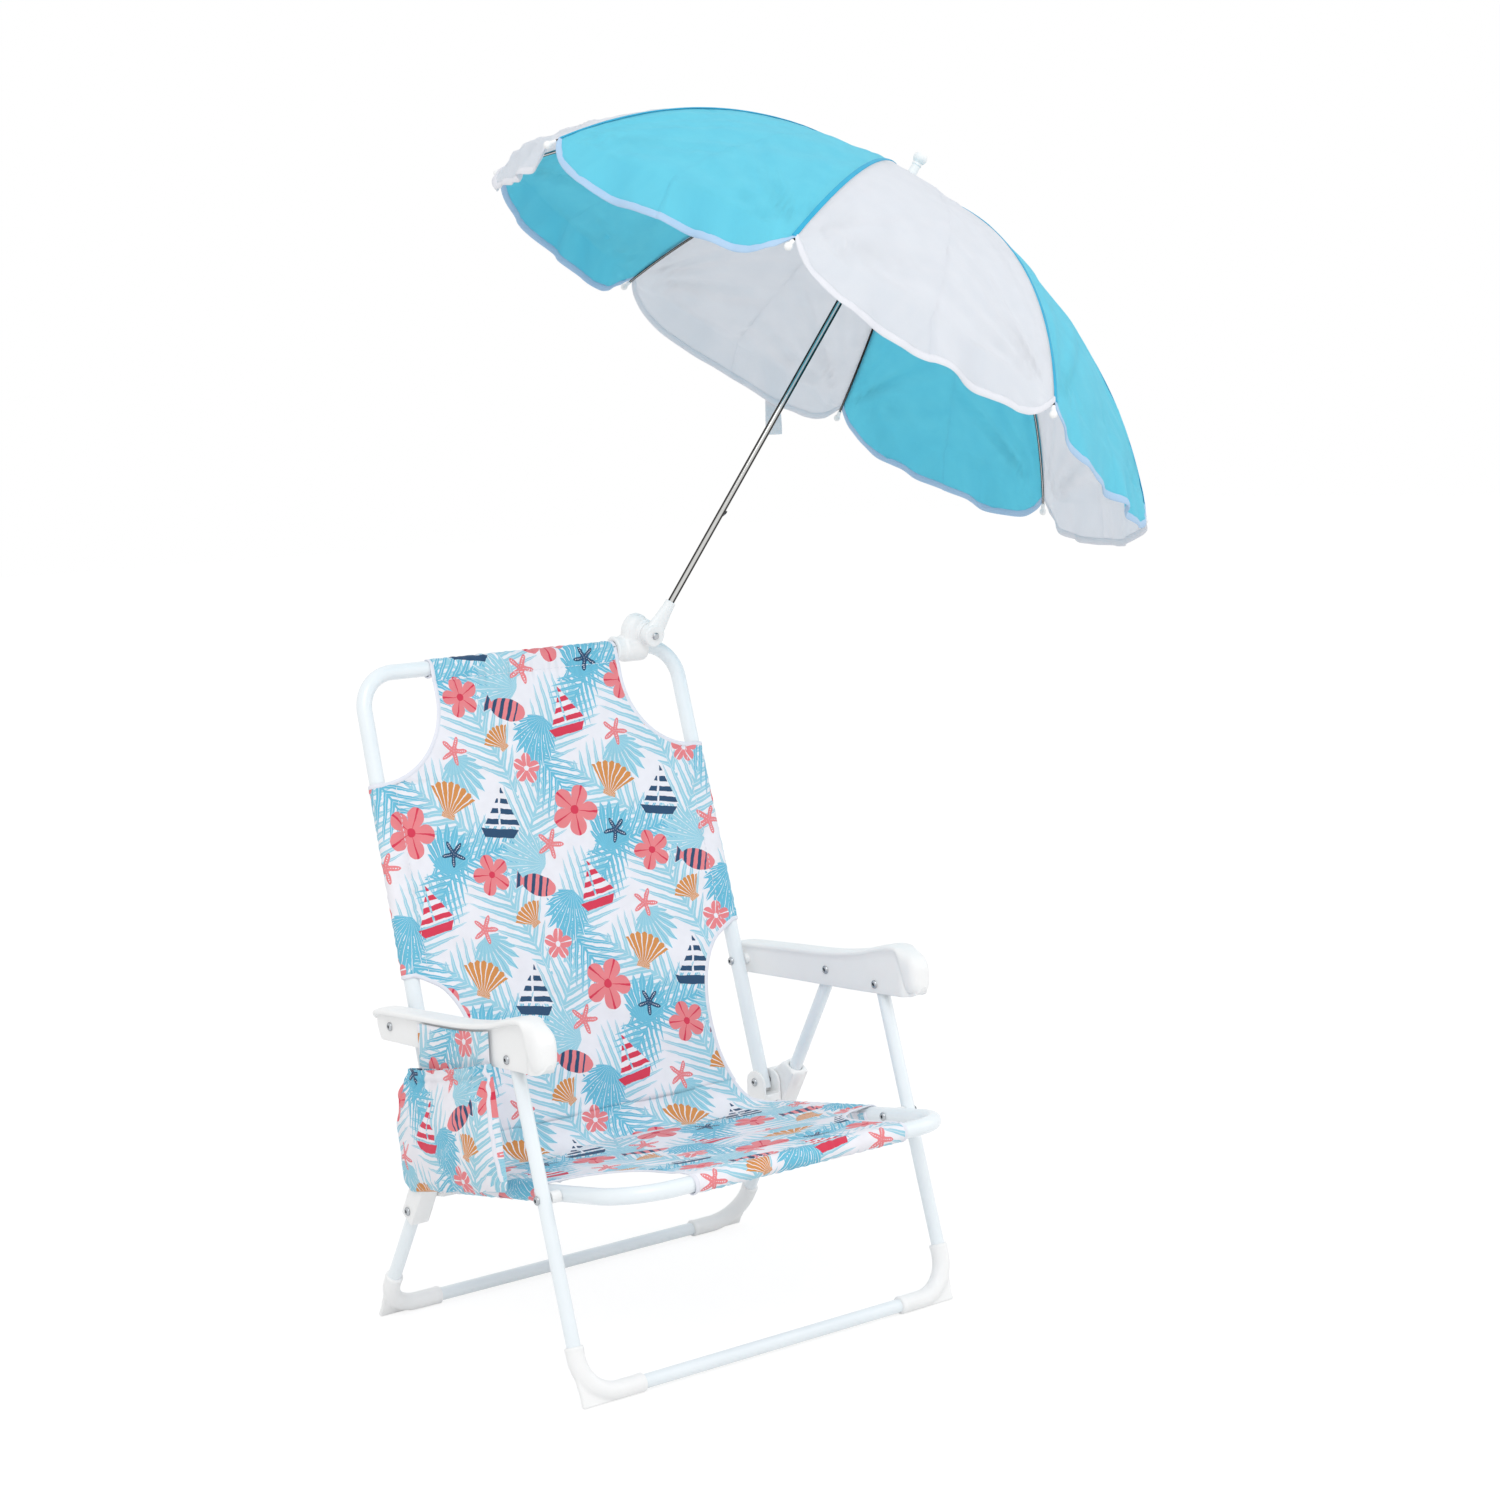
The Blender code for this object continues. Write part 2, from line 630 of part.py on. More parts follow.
def add_frame(name, path, bend, radius, body):
    """A bent tube through the right end and corner, and their mirror images."""
    right = [Vector(point) for point in path]
    left = [Vector((-point.x, point.y, point.z)) for point in reversed(right)]
    route = round_corners(right + left, bend, BEND_STEPS)
    return add_solid(name, sweep_bar(route, radius, TUBE_FACETS, radius - TUBE_WALL), "white_tube", body)


def drill(obj, places, half_width, body):
    """Rivet holes along X through both sides, each long enough for one tube only."""
    reach = MAIN_TUBE + OVERRUN
    holes = []
    for y, z in places:
        for _, sign in SIDES:
            low_x, high_x = sorted((sign * (half_width - reach), sign * (half_width + reach)))
            holes.append(to_body(cross_pin(y, z, low_x, high_x, HOLE_RADIUS), body))
    return cut(obj, *holes)


# Fasteners
def add_rivet(name, y, z, face_xs, body, head_height=RIVET_HEAD_HEIGHT):
    """A rivet along X. face_xs are the faces under its inner and outer head, on one side of the chair."""
    inner, outer = face_xs
    sign = 1 if outer > 0 else -1
    low, high = sorted((abs(inner), abs(outer)))
    low -= CLEARANCE
    high += CLEARANCE
    shoulder = RIVET_HEAD_RADIUS * 0.8
    profile = (
        (0, low - RIVET_HEAD_HEIGHT),
        (shoulder, low - RIVET_HEAD_HEIGHT),
        (RIVET_HEAD_RADIUS, low),
        (RIVET_RADIUS, low),
        (RIVET_RADIUS, high),
        (RIVET_HEAD_RADIUS, high),
        (shoulder, high + head_height),
        (0, high + head_height),
    )
    points, faces = along_x(turned(profile, RIVET_FACETS), y, z)
    points = [Vector((sign * point.x, point.y, point.z)) for point in points]
    return add_solid(name, (points, faces), "zinc", body)


def add_spacer(side, sign, body):
    low = seat_x(SEAT_PIVOT_Y) + MAIN_RADIUS + CLEARANCE
    high = LEG_HALF_WIDTH - LEG_RADIUS - CLEARANCE
    outer = LEG_RADIUS - TUBE_WALL
    profile = ((HOLE_RADIUS, low), (outer, low), (outer, high), (HOLE_RADIUS, high))
    points, faces = along_x(turned(profile, TUBE_FACETS), SEAT_PIVOT_Y, SEAT_PIVOT_Z)
    points = [Vector((sign * point.x, point.y, point.z)) for point in points]
    return add_solid("seat_spacer_" + side, (points, faces), "white_plastic", body)


# Plastic mouldings
def add_boot(name, sign, path, body):
    """A sleeve on the bend of a floor bar, a heel that fills the corner outside it, cut flat at the floor."""
    end, corner = (Vector(point) for point in path)
    up = (end - corner).normalized()
    inward = Vector((-1, 0, 0))
    leg_end = corner + up * (LEG_BEND + BOOT_ON_LEG)
    bar_end = corner + inward * (LEG_BEND + BOOT_ON_BAR)
    past = OVERRUN
    outer = round_corners((leg_end, corner, bar_end), LEG_BEND, BEND_STEPS)
    bore = round_corners((leg_end + up * past, corner, bar_end + inward * past), LEG_BEND, BEND_STEPS)
    heel_normal = up.cross(inward).normalized() * (HEEL_THICKNESS / 2)
    floor = corner.z / up.z + past
    outline = (
        corner + inward * LEG_BEND - up * floor,
        corner - inward * (HEEL_REACH + floor * HEEL_REACH / HEEL_RISE) - up * floor,
        corner - inward * LEG_RADIUS + up * HEEL_RISE,
        corner + up * HEEL_RISE,
        corner + inward * LEG_BEND,
    )
    count = len(outline)
    heel_points = [point + heel_normal * turn for turn in (-1, 1) for point in outline]
    heel_faces = [tuple(range(count)), tuple(range(count, 2 * count))]
    heel_faces += [(i, (i + 1) % count, count + (i + 1) % count, count + i) for i in range(count)]
    reach = LEG_BEND + BOOT_ON_BAR + MAIN_TUBE
    under = box(corner - Vector((reach, reach, reach)), (corner.x + reach, corner.y + reach, 0))
    pieces = [sweep_bar(outer, BOOT_RADIUS, TUBE_FACETS), (heel_points, heel_faces)]
    cutters = [sweep_bar(bore, LEG_RADIUS + CLEARANCE, TUBE_FACETS), under]
    mirror = Matrix.Diagonal((sign, 1, 1, 1))
    pieces = [moved(shape, mirror) for shape in pieces]
    cutters = [to_body(moved(shape, mirror), body) for shape in cutters]
    boot = add_solid(name, pieces[0], "white_plastic", body)
    join(boot, to_body(pieces[1], body))
    return cut(boot, *cutters)


def add_block(side, sign, body):
    """A hinge block: a bore holds the seat tube, and the back tube turns between its two ears."""
    bottom = seat_z(BACK_PIVOT_Y + BLOCK_REAR) - MAIN_RADIUS - CLEARANCE - BLOCK_BOTTOM_WALL
    half_length = (BLOCK_FRONT + BLOCK_REAR) / 2
    middle_y = BACK_PIVOT_Y + (BLOCK_REAR - BLOCK_FRONT) / 2
    crown = arc((0, 0), 1, 0, math.pi, BLOCK_ROUND_STEPS)
    top = [(middle_y + half_length * c, BACK_PIVOT_Z + BLOCK_TOP * s) for c, s in crown]
    outline = [(middle_y - half_length, bottom), (middle_y + half_length, bottom), *top]
    front_bottom = seat_z(BACK_PIVOT_Y - BLOCK_FRONT) - MAIN_RADIUS - CLEARANCE - BLOCK_BOTTOM_WALL
    outline[0] = (middle_y - half_length, front_bottom)
    low_x, high_x = sorted((sign * BLOCK_IN, sign * BLOCK_OUT))
    block = add_solid("seat_block_" + side, side_prism(outline, low_x, high_x), "white_plastic", body)
    slot_floor = BACK_PIVOT_Z - math.hypot(END_MARGIN, MAIN_RADIUS) - CLEARANCE
    slot_half = MAIN_RADIUS + CLEARANCE
    past = half_length + OVERRUN
    slot = box(
        (sign * HINGE_HALF_WIDTH - slot_half, middle_y - past, slot_floor),
        (sign * HINGE_HALF_WIDTH + slot_half, middle_y + past, BACK_PIVOT_Z + BLOCK_TOP + OVERRUN),
    )
    bore_front = BACK_PIVOT_Y - BLOCK_FRONT - OVERRUN
    bore_rear = BACK_PIVOT_Y + BLOCK_REAR - BLOCK_BACK_WALL
    bore_path = [(sign * seat_x(y), y, seat_z(y)) for y in (bore_front, bore_rear)]
    bore = sweep_bar(bore_path, MAIN_RADIUS + CLEARANCE, TUBE_FACETS)
    pin_low, pin_high = sorted((sign * (BLOCK_IN - OVERRUN), sign * (BLOCK_OUT + OVERRUN)))
    hole = cross_pin(BACK_PIVOT_Y, BACK_PIVOT_Z, pin_low, pin_high, HOLE_RADIUS)
    sink_low, sink_high = sorted((sign * (BLOCK_OUT - SINK_DEPTH), sign * (BLOCK_OUT + OVERRUN)))
    sink = cross_pin(BACK_PIVOT_Y, BACK_PIVOT_Z, sink_low, sink_high, RIVET_HEAD_RADIUS + CLEARANCE)
    return cut(block, slot, bore, hole, sink)


def saddle_point(along, behind):
    """A point of the side view: a distance down the rear leg, and one behind its axis."""
    sine, cosine = math.sin(REAR_LEG_LEAN), math.cos(REAR_LEG_LEAN)
    return (REAR_PIVOT_Y + along * sine + behind * cosine, REAR_PIVOT_Z - along * cosine + behind * sine)


def saddle_out():
    return rear_leg_x(SADDLE_RIVET_Z) + LEG_RADIUS + CLEARANCE + SADDLE_OUTER_WALL


def add_saddle(side, sign, body):
    """A bracket on the rear leg, with a round lobe beside the hinge block."""
    rise_y, rise_z = BACK_PIVOT_Y - REAR_PIVOT_Y, REAR_PIVOT_Z - BACK_PIVOT_Z
    sine, cosine = math.sin(REAR_LEG_LEAN), math.cos(REAR_LEG_LEAN)
    lobe_along = rise_y * sine + rise_z * cosine
    lobe_behind = rise_y * cosine - rise_z * sine
    front = -(LEG_RADIUS + CLEARANCE + SADDLE_FRONT_WALL)
    rear = LEG_RADIUS + CLEARANCE + SADDLE_REAR_WALL
    lobe = arc((lobe_along, lobe_behind), SADDLE_LOBE, math.radians(10), math.radians(170), SADDLE_LOBE_STEPS)
    outline = [(SADDLE_START, front), (SADDLE_END, front), (SADDLE_END, rear)]
    outline += [(lobe_along + 2 * SADDLE_LOBE, rear), *lobe, (SADDLE_START, rear)]
    low_x, high_x = sorted((sign * SADDLE_IN, sign * saddle_out()))
    shape = side_prism([saddle_point(*point) for point in outline], low_x, high_x)
    saddle = add_solid("leg_saddle_" + side, shape, "white_plastic", body)
    leg_low_y, leg_low_z = saddle_point(SADDLE_END + OVERRUN, 0)
    leg_high_y, leg_high_z = saddle_point(SADDLE_START - OVERRUN, 0)
    path = [
        (sign * rear_leg_x(leg_low_z), leg_low_y, leg_low_z),
        (sign * rear_leg_x(leg_high_z), leg_high_y, leg_high_z),
    ]
    bore = sweep_bar(path, LEG_RADIUS + CLEARANCE, TUBE_FACETS)
    pin_low, pin_high = sorted((sign * (SADDLE_IN - OVERRUN), sign * (saddle_out() + OVERRUN)))
    hole = cross_pin(SADDLE_RIVET_Y, SADDLE_RIVET_Z, pin_low, pin_high, HOLE_RADIUS)
    sink_low, sink_high = sorted((sign * (SADDLE_IN - OVERRUN), sign * (SADDLE_IN + SADDLE_SINK_DEPTH)))
    sink = cross_pin(SADDLE_RIVET_Y, SADDLE_RIVET_Z, sink_low, sink_high, RIVET_HEAD_RADIUS + CLEARANCE)
    return cut(saddle, *(to_body(shape, body) for shape in (bore, hole, sink)))


def arm_point(share):
    return (ARM_REAR_Y - share[0] * ARM_LENGTH, ARM_BASE_Z + share[1] * ARM_HEIGHT)


def inset(points, distance):
    """The points of an open outline, moved to the right-hand side of its direction."""
    moved_points = []
    last = len(points) - 1
    for i, (y, z) in enumerate(points):
        before, after = points[max(i - 1, 0)], points[min(i + 1, last)]
        dy, dz = after[0] - before[0], after[1] - before[1]
        length = math.hypot(dy, dz)
        moved_points.append((y - distance * dz / length, z + distance * dy / length))
    return moved_points


def arm_plan(sign):
    """A block with the armrest's outline as seen from above, which has a round nose."""
    half = (ARM_LIP_OUT - ARM_LIP_IN) / 2 + CLEARANCE
    middle = sign * (ARM_LIP_OUT + ARM_LIP_IN) / 2
    nose_y = ARM_REAR_Y - ARM_LENGTH + half
    nose = arc((middle, nose_y), half, 0, -math.pi, ARM_NOSE_STEPS)
    outline = [*nose, (middle - half, ARM_REAR_Y + OVERRUN), (middle + half, ARM_REAR_Y + OVERRUN)]
    count = len(outline)
    levels = (ARM_BASE_Z - OVERRUN, ARM_BASE_Z + ARM_HEIGHT + OVERRUN)
    points = [Vector((x, y, z)) for z in levels for x, y in outline]
    faces = [tuple(range(count)), tuple(range(count, 2 * count))]
    faces += [(i, (i + 1) % count, count + (i + 1) % count, count + i) for i in range(count)]
    return points, faces


def add_armrest(side, sign, body):
    """A moulded shell: lip, skirts, a channel that takes the legs, and a boss at the rear rivet."""
    top = [arm_point(share) for share in ARM_TOP_SHARES]
    bottom = [arm_point(share) for share in ARM_BOTTOM_SHARES]
    lip = top + inset(top, ARM_TOP_WALL)[::-1]
    skirt = inset(top, ARM_TOP_WALL / 2)[1:] + bottom
    lip_low, lip_high = sorted((sign * ARM_LIP_IN, sign * ARM_LIP_OUT))
    skirt_low, skirt_high = sorted((sign * ARM_SKIRT_IN, sign * ARM_SKIRT_OUT))
    arm = add_solid("armrest_" + side, side_prism(skirt, skirt_low, skirt_high), "white_plastic", body)
    join(arm, to_body(side_prism(lip, lip_low, lip_high), body))
    combine(arm, [to_body(arm_plan(sign), body)], "INTERSECT")
    inner = inset(top, ARM_TOP_WALL)
    rear_y = arm_point((ARM_CHANNEL_REAR_SHARE, 0))[0]
    front_y = arm_point((ARM_CHANNEL_FRONT_SHARE, 0))[0]
    ceiling = [(y, z) for y, z in inner if front_y < y < rear_y]
    below = ARM_BASE_Z - OVERRUN
    start_z, end_z = ceiling[0][1], ceiling[-1][1]
    channel = [(rear_y, start_z), *ceiling, (front_y, end_z), (front_y, below), (rear_y, below)]
    wall = sign * ARM_WALL
    channel_low, channel_high = sorted((sign * ARM_SKIRT_IN + wall, sign * ARM_SKIRT_OUT - wall))
    cut(arm, to_body(side_prism(channel, channel_low, channel_high), body))
    boss_in = back_x(ARM_REAR_PIVOT_Z) + MAIN_RADIUS + CLEARANCE
    boss_out = ARM_SKIRT_OUT - ARM_WALL / 2
    boss_low, boss_high = sorted((sign * boss_in, sign * boss_out))
    boss = cross_pin(ARM_REAR_PIVOT_Y, ARM_REAR_PIVOT_Z, boss_low, boss_high, ARM_BOSS_RADIUS, TUBE_FACETS)
    join(arm, to_body(boss, body))
    places = ((ARM_FRONT_PIVOT_Y, ARM_FRONT_PIVOT_Z), (REAR_PIVOT_Y, REAR_PIVOT_Z))
    places += ((ARM_REAR_PIVOT_Y, ARM_REAR_PIVOT_Z),)
    hole_low, hole_high = sorted((sign * (boss_in - OVERRUN), sign * (ARM_LIP_OUT + OVERRUN)))
    holes = [to_body(cross_pin(y, z, hole_low, hole_high, HOLE_RADIUS), body) for y, z in places]
    return cut(arm, *holes)


# Soft pieces
def back_axis(z):
    return Vector((back_x(z), back_y(z), z))


def back_front():
    """Unit vector square to the back's plane, out of its front."""
    return Vector((0, -math.cos(BACK_LEAN), math.sin(BACK_LEAN)))


def seat_up():
    """Unit vector square to the seat's plane, out of its top."""
    return Vector((0, math.sin(SEAT_SLOPE), math.cos(SEAT_SLOPE)))


def crease_point():
    """Where the cloth's back plane meets its seat plane, in the side view."""
    back_start = Vector((0, back_y(BACK_PIVOT_Z), BACK_PIVOT_Z)) + back_front() * WRAP_RADIUS
    seat_start = Vector((0, BACK_PIVOT_Y, seat_z(BACK_PIVOT_Y))) + seat_up() * WRAP_RADIUS
    down = Vector((0, -math.sin(BACK_LEAN), -math.cos(BACK_LEAN)))
    share = (seat_start - back_start).dot(seat_up()) / down.dot(seat_up())
    return back_start + down * share


def wrap(axis, first, second):
    """Points round a tube's axis, from the first direction over the second."""
    points = []
    for step in range(1, WRAP_STEPS + 1):
        angle = WRAP_ANGLE * step / WRAP_STEPS
        points.append(axis + (first * math.cos(angle) + second * math.sin(angle)) * WRAP_RADIUS)
    return points


def cloth_row(axis, half_width, first, sag, sleeve):
    """Points across the cloth, from the left sleeve over the panel to the right one."""
    outward = Vector((1, 0, 0))
    middle = Vector((0, axis.y, axis.z)) + first * WRAP_RADIUS
    row = []
    for column in range(CLOTH_COLUMNS + 1):
        across = 2 * column / CLOTH_COLUMNS - 1
        row.append(middle + outward * (across * half_width) - first * (sag * (1 - across**2)))
    if sleeve:
        right = wrap(axis, first, outward)
        left = [Vector((-point.x, point.y, point.z)) for point in right]
        return left[::-1] + row + right
    empty = [None] * WRAP_STEPS
    return empty + row + empty


def end_rows(bar, half_width, first, second, sag_rows):
    """The flap that wraps an end bar: rows as wide as the cloth there."""
    rows = []
    for point in wrap(bar, first, second):
        row = [point + Vector((half_width * (2 * c / CLOTH_COLUMNS - 1), 0, 0)) for c in range(CLOTH_COLUMNS + 1)]
        empty = [None] * WRAP_STEPS
        rows.append(empty + row + empty)
    return sag_rows + rows


def add_back_sling(body):
    front = back_front()
    up = Vector((0, math.sin(BACK_LEAN), math.cos(BACK_LEAN)))
    crease_z = (crease_point() - front * WRAP_RADIUS).z + CLOTH * 2
    rows = []

    def add_row(z, half_width, sleeve=False):
        share = (z - crease_z) / (BACK_TOP_Z - crease_z)
        sag = BACK_SAG * math.sin(math.pi * min(max(share, 0), 1))
        rows.append(cloth_row(back_axis(z), half_width, front, sag, sleeve))

    add_row(crease_z, CREASE_HALF_WIDTH)
    side_x = back_x(SLING_SIDE_BOTTOM_Z)
    for up_share, narrow_share in WAIST_SHARES:
        widest = CREASE_HALF_WIDTH + (side_x - CREASE_HALF_WIDTH) * up_share
        half_width = widest + (WAIST_HALF_WIDTH - widest) * narrow_share
        add_row(crease_z + (SLING_SIDE_BOTTOM_Z - crease_z) * up_share, half_width)
    for step in range(4):
        z = SLING_SIDE_BOTTOM_Z + (SLING_SIDE_TOP_Z - SLING_SIDE_BOTTOM_Z) * step / 3
        add_row(z, back_x(z), sleeve=True)
    cutout = back_x(SLING_SIDE_TOP_Z) - SLING_TOP_HALF_WIDTH
    for step in range(1, TOP_CUTOUT_STEPS + 1):
        angle = math.pi / 2 * step / TOP_CUTOUT_STEPS
        z = SLING_SIDE_TOP_Z + cutout * (1 - math.cos(angle))
        add_row(z, back_x(SLING_SIDE_TOP_Z) - cutout * math.sin(angle))
    add_row(BACK_TOP_Z, SLING_TOP_HALF_WIDTH)
    bar = Vector((0, TOP_BAR_Y, BACK_TOP_Z))
    rows = end_rows(bar, SLING_TOP_HALF_WIDTH, front, up, rows)
    return add_solid("back_sling", sheet(rows, CLOTH), "sling_cloth", body)


def add_seat_sling(body):
    top = seat_up()
    ahead = Vector((0, -math.cos(SEAT_SLOPE), math.sin(SEAT_SLOPE)))
    crease_y = (crease_point() - top * WRAP_RADIUS).y - CLOTH
    rows = []

    def add_row(y, half_width, sleeve=False):
        share = (y - crease_y) / (SEAT_FRONT_Y - crease_y)
        sag = SEAT_SAG * math.sin(math.pi * min(max(share, 0), 1))
        rows.append(cloth_row(Vector((seat_x(y), y, seat_z(y))), half_width, top, sag, sleeve))

    add_row(crease_y, CREASE_HALF_WIDTH)
    rear_width = seat_x(SEAT_SLEEVE_REAR_Y) - BLOCK_HALF_WIDTH - MAIN_RADIUS
    add_row((crease_y + SEAT_SLEEVE_REAR_Y) / 2, rear_width)
    for step in range(5):
        y = SEAT_SLEEVE_REAR_Y + (SEAT_SLEEVE_FRONT_Y - SEAT_SLEEVE_REAR_Y) * step / 4
        add_row(y, seat_x(y), sleeve=True)
    cutout = seat_x(SEAT_SLEEVE_FRONT_Y) - SLING_FRONT_HALF_WIDTH
    for step in range(1, TOP_CUTOUT_STEPS + 1):
        angle = math.pi / 2 * step / TOP_CUTOUT_STEPS
        y = SEAT_SLEEVE_FRONT_Y - cutout * (1 - math.cos(angle))
        add_row(y, seat_x(SEAT_SLEEVE_FRONT_Y) - cutout * math.sin(angle))
    add_row(SEAT_FRONT_Y, SLING_FRONT_HALF_WIDTH)
    bar = Vector((0, SEAT_FRONT_Y, seat_z(SEAT_FRONT_Y)))
    rows = end_rows(bar, SLING_FRONT_HALF_WIDTH, top, ahead, rows)
    return add_solid("seat_sling", sheet(rows, CLOTH), "sling_cloth", body)


def add_side_pocket(body):
    """A pouch that is open at the top, on a flap that hangs under the left armrest's lip."""
    slope = math.tan(POCKET_SLOPE)
    middle = (POCKET_REAR_Y + POCKET_FRONT_Y) / 2

    def line(z, y):
        return z - (y - middle) * slope

    bottom = [(y, line(POCKET_BOTTOM_Z, y)) for y in (POCKET_REAR_Y, POCKET_FRONT_Y)]
    mouth = [(y, line(POCKET_MOUTH_Z, y)) for y in (POCKET_REAR_Y, POCKET_MOUTH_FRONT_Y)]
    outer_points = []
    for (rear_y, rear_z), (front_y, front_z) in (bottom, mouth):
        for share, swell in POCKET_SWELL_SHARES:
            y = rear_y + (front_y - rear_y) * share
            z = rear_z + (front_z - rear_z) * share
            outer_points.append((POCKET_INNER_X, y, z, swell))
    count = len(POCKET_SWELL_SHARES)

    def shell(wall, rise, drop):
        """Rings at the bottom and mouth: back wall straight, front wall swollen."""
        points = []
        for level, raised in ((0, rise), (1, drop)):
            ring = outer_points[level * count : (level + 1) * count]
            for i, (x, y, z, _) in enumerate(ring):
                shift = wall if i == 0 else -wall if i == count - 1 else 0
                points.append(Vector((-(x + wall), y - shift, z + raised)))
            for i, (x, y, z, swell) in reversed(list(enumerate(ring))):
                shift = wall if i == 0 else -wall if i == count - 1 else 0
                reach = x + POCKET_CLOTH + (POCKET_DEPTH - POCKET_CLOTH) * swell - wall
                points.append(Vector((-reach, y - shift, z + raised)))
        ring_size = 2 * count
        faces = [tuple(range(ring_size)), tuple(range(ring_size, 2 * ring_size))]
        for i in range(ring_size):
            j = (i + 1) % ring_size
            faces.append((i, j, ring_size + j, ring_size + i))
        return points, faces

    pocket = add_solid("side_pocket", shell(0, 0, 0), "sling_cloth", body)
    rear, front = POCKET_FLAP_REAR_Y, POCKET_FLAP_FRONT_Y
    between = [y for y, z in arm_underside_points() if front < y < rear]
    top = [(y, arm_underside(y) - CLEARANCE) for y in (rear, *between, front)]
    flap_low = [(y, line(POCKET_MOUTH_Z, y) - POCKET_DEPTH) for y in (front, rear)]
    flap = side_prism(top + flap_low, -(POCKET_INNER_X + POCKET_CLOTH), -POCKET_INNER_X)
    cut(pocket, to_body(shell(POCKET_CLOTH, POCKET_CLOTH, OVERRUN), body))
    return join(pocket, to_body(flap, body))


def arm_underside_points():
    return inset([arm_point(share) for share in ARM_TOP_SHARES], ARM_TOP_WALL)


def arm_underside(y):
    """The height of the armrest's top wall, underneath, at a y."""
    points = arm_underside_points()
    for (y1, z1), (y2, z2) in zip(points, points[1:]):
        if y2 <= y <= y1:
            return z1 + (z2 - z1) * (y1 - y) / (y1 - y2)
    return points[0][1]


# Clamp and umbrella
def add_clamp(body):
    """A jaw round the top bar with a snap mouth behind, a plate above it, and the boss."""
    jaw = arc((0, 0), CLAMP_JAW_RADIUS, -math.pi, 0, CLAMP_ROUND_STEPS)
    plate = [(CLAMP_PLATE_REAR, CLAMP_PLATE_TOP), (-CLAMP_PLATE_FRONT, CLAMP_PLATE_TOP)]
    outline = [*jaw, (CLAMP_JAW_RADIUS, CLAMP_JAW_RADIUS / 2), *plate, (-CLAMP_JAW_RADIUS, CLAMP_JAW_RADIUS / 2)]
    shape = side_prism(outline, CLAMP_LEFT_X, CLAMP_RIGHT_X)
    clamp = add_solid("bar_clamp", shape, "white_plastic", body, chair_frame=False)
    boss_back = CLAMP_PLATE_REAR - CLAMP_PLATE_FRONT
    boss_front = BOSS_REACH - SOCKET_THICKNESS / 2 - CLEARANCE
    boss = forward_cylinder(BOSS_RADIUS, -boss_back, boss_front, SOCKET_FACETS)
    join(clamp, boss)
    low_x, high_x = CLAMP_LEFT_X - OVERRUN, CLAMP_RIGHT_X + OVERRUN
    bore = cross_pin(0, 0, low_x, high_x, MAIN_RADIUS + CLEARANCE, TUBE_FACETS)
    mouth = box((low_x, 0, -CLAMP_MOUTH / 2), (high_x, CLAMP_JAW_RADIUS + OVERRUN, CLAMP_MOUTH / 2))
    screw_end = boss_front - SCREW_DEPTH
    hole = forward_cylinder(HOLE_RADIUS, screw_end, boss_front + OVERRUN, TUBE_FACETS)
    return cut(clamp, bore, mouth, hole)


def forward_cylinder(radius, start, end, facets):
    """A cylinder on the tilt axis, from one distance in front of the top bar's axis to another."""
    shape = turned(((0, start), (radius, start), (radius, end), (0, end)), facets)
    return moved(shape, Matrix.Translation((BOSS_X, 0, BOSS_RISE)) @ Matrix.Rotation(math.pi / 2, 4, "X"))


def add_tilt_screw(body):
    face = BOSS_REACH + SOCKET_THICKNESS / 2 + CLEARANCE
    boss_front = BOSS_REACH - SOCKET_THICKNESS / 2 - CLEARANCE
    tip = boss_front - SCREW_DEPTH + CLEARANCE
    head = face + SCREW_HEAD_HEIGHT
    profile = (
        (0, tip),
        (RIVET_RADIUS, tip),
        (RIVET_RADIUS, face),
        (SCREW_HEAD_RADIUS, face),
        (SCREW_HEAD_RADIUS * 0.75, head),
        (0, head),
    )
    shape = moved(turned(profile, TUBE_FACETS), screw_place())
    return add_solid("tilt_screw", shape, "zinc", body, chair_frame=False)


def screw_place():
    return Matrix.Translation((BOSS_X, 0, BOSS_RISE)) @ Matrix.Rotation(math.pi / 2, 4, "X")


def add_socket(body):
    """A disc on the screw and a tapered neck that holds the mast."""
    half = SOCKET_THICKNESS / 2
    disc = turned(((0, -half), (SOCKET_RADIUS, -half), (SOCKET_RADIUS, half), (0, half)), SOCKET_FACETS)
    disc = moved(disc, Matrix.Rotation(math.pi / 2, 4, "X"))
    socket = add_solid("mast_socket", disc, "white_plastic", body, chair_frame=False)
    neck = turned(
        ((0, 0), (half - CLEARANCE, 0), (half - CLEARANCE, SOCKET_RADIUS / 2), (SOCKET_NECK_RADIUS, SOCKET_TOP),
         (0, SOCKET_TOP)), TUBE_FACETS,
    )  # fmt: skip
    join(socket, neck)
    bore_radius = MAST_TUBE / 2 + CLEARANCE
    bore_end = SOCKET_TOP + OVERRUN
    bore_start = MAST_START - CLEARANCE
    bore = ((0, bore_start), (bore_radius, bore_start), (bore_radius, bore_end), (0, bore_end))
    screw = turned(((0, -half * 2), (HOLE_RADIUS, -half * 2), (HOLE_RADIUS, half * 2), (0, half * 2)), TUBE_FACETS)
    screw = moved(screw, Matrix.Rotation(math.pi / 2, 4, "X"))
    return cut(socket, turned(bore, MAST_FACETS), screw)


def canopy_line(share, below=0):
    """The canopy's line over a rib, as (radius, height): share runs 0 to 1 from the apex to the hem."""
    angle = share * math.asin((CANOPY_RADIUS - HEM_INSET) / DOME_RADIUS)
    reach = DOME_RADIUS + CANOPY_BULGE * math.sin(math.pi * share) - below
    return reach * math.sin(angle), APEX_HEIGHT - DOME_RADIUS + reach * math.cos(angle)


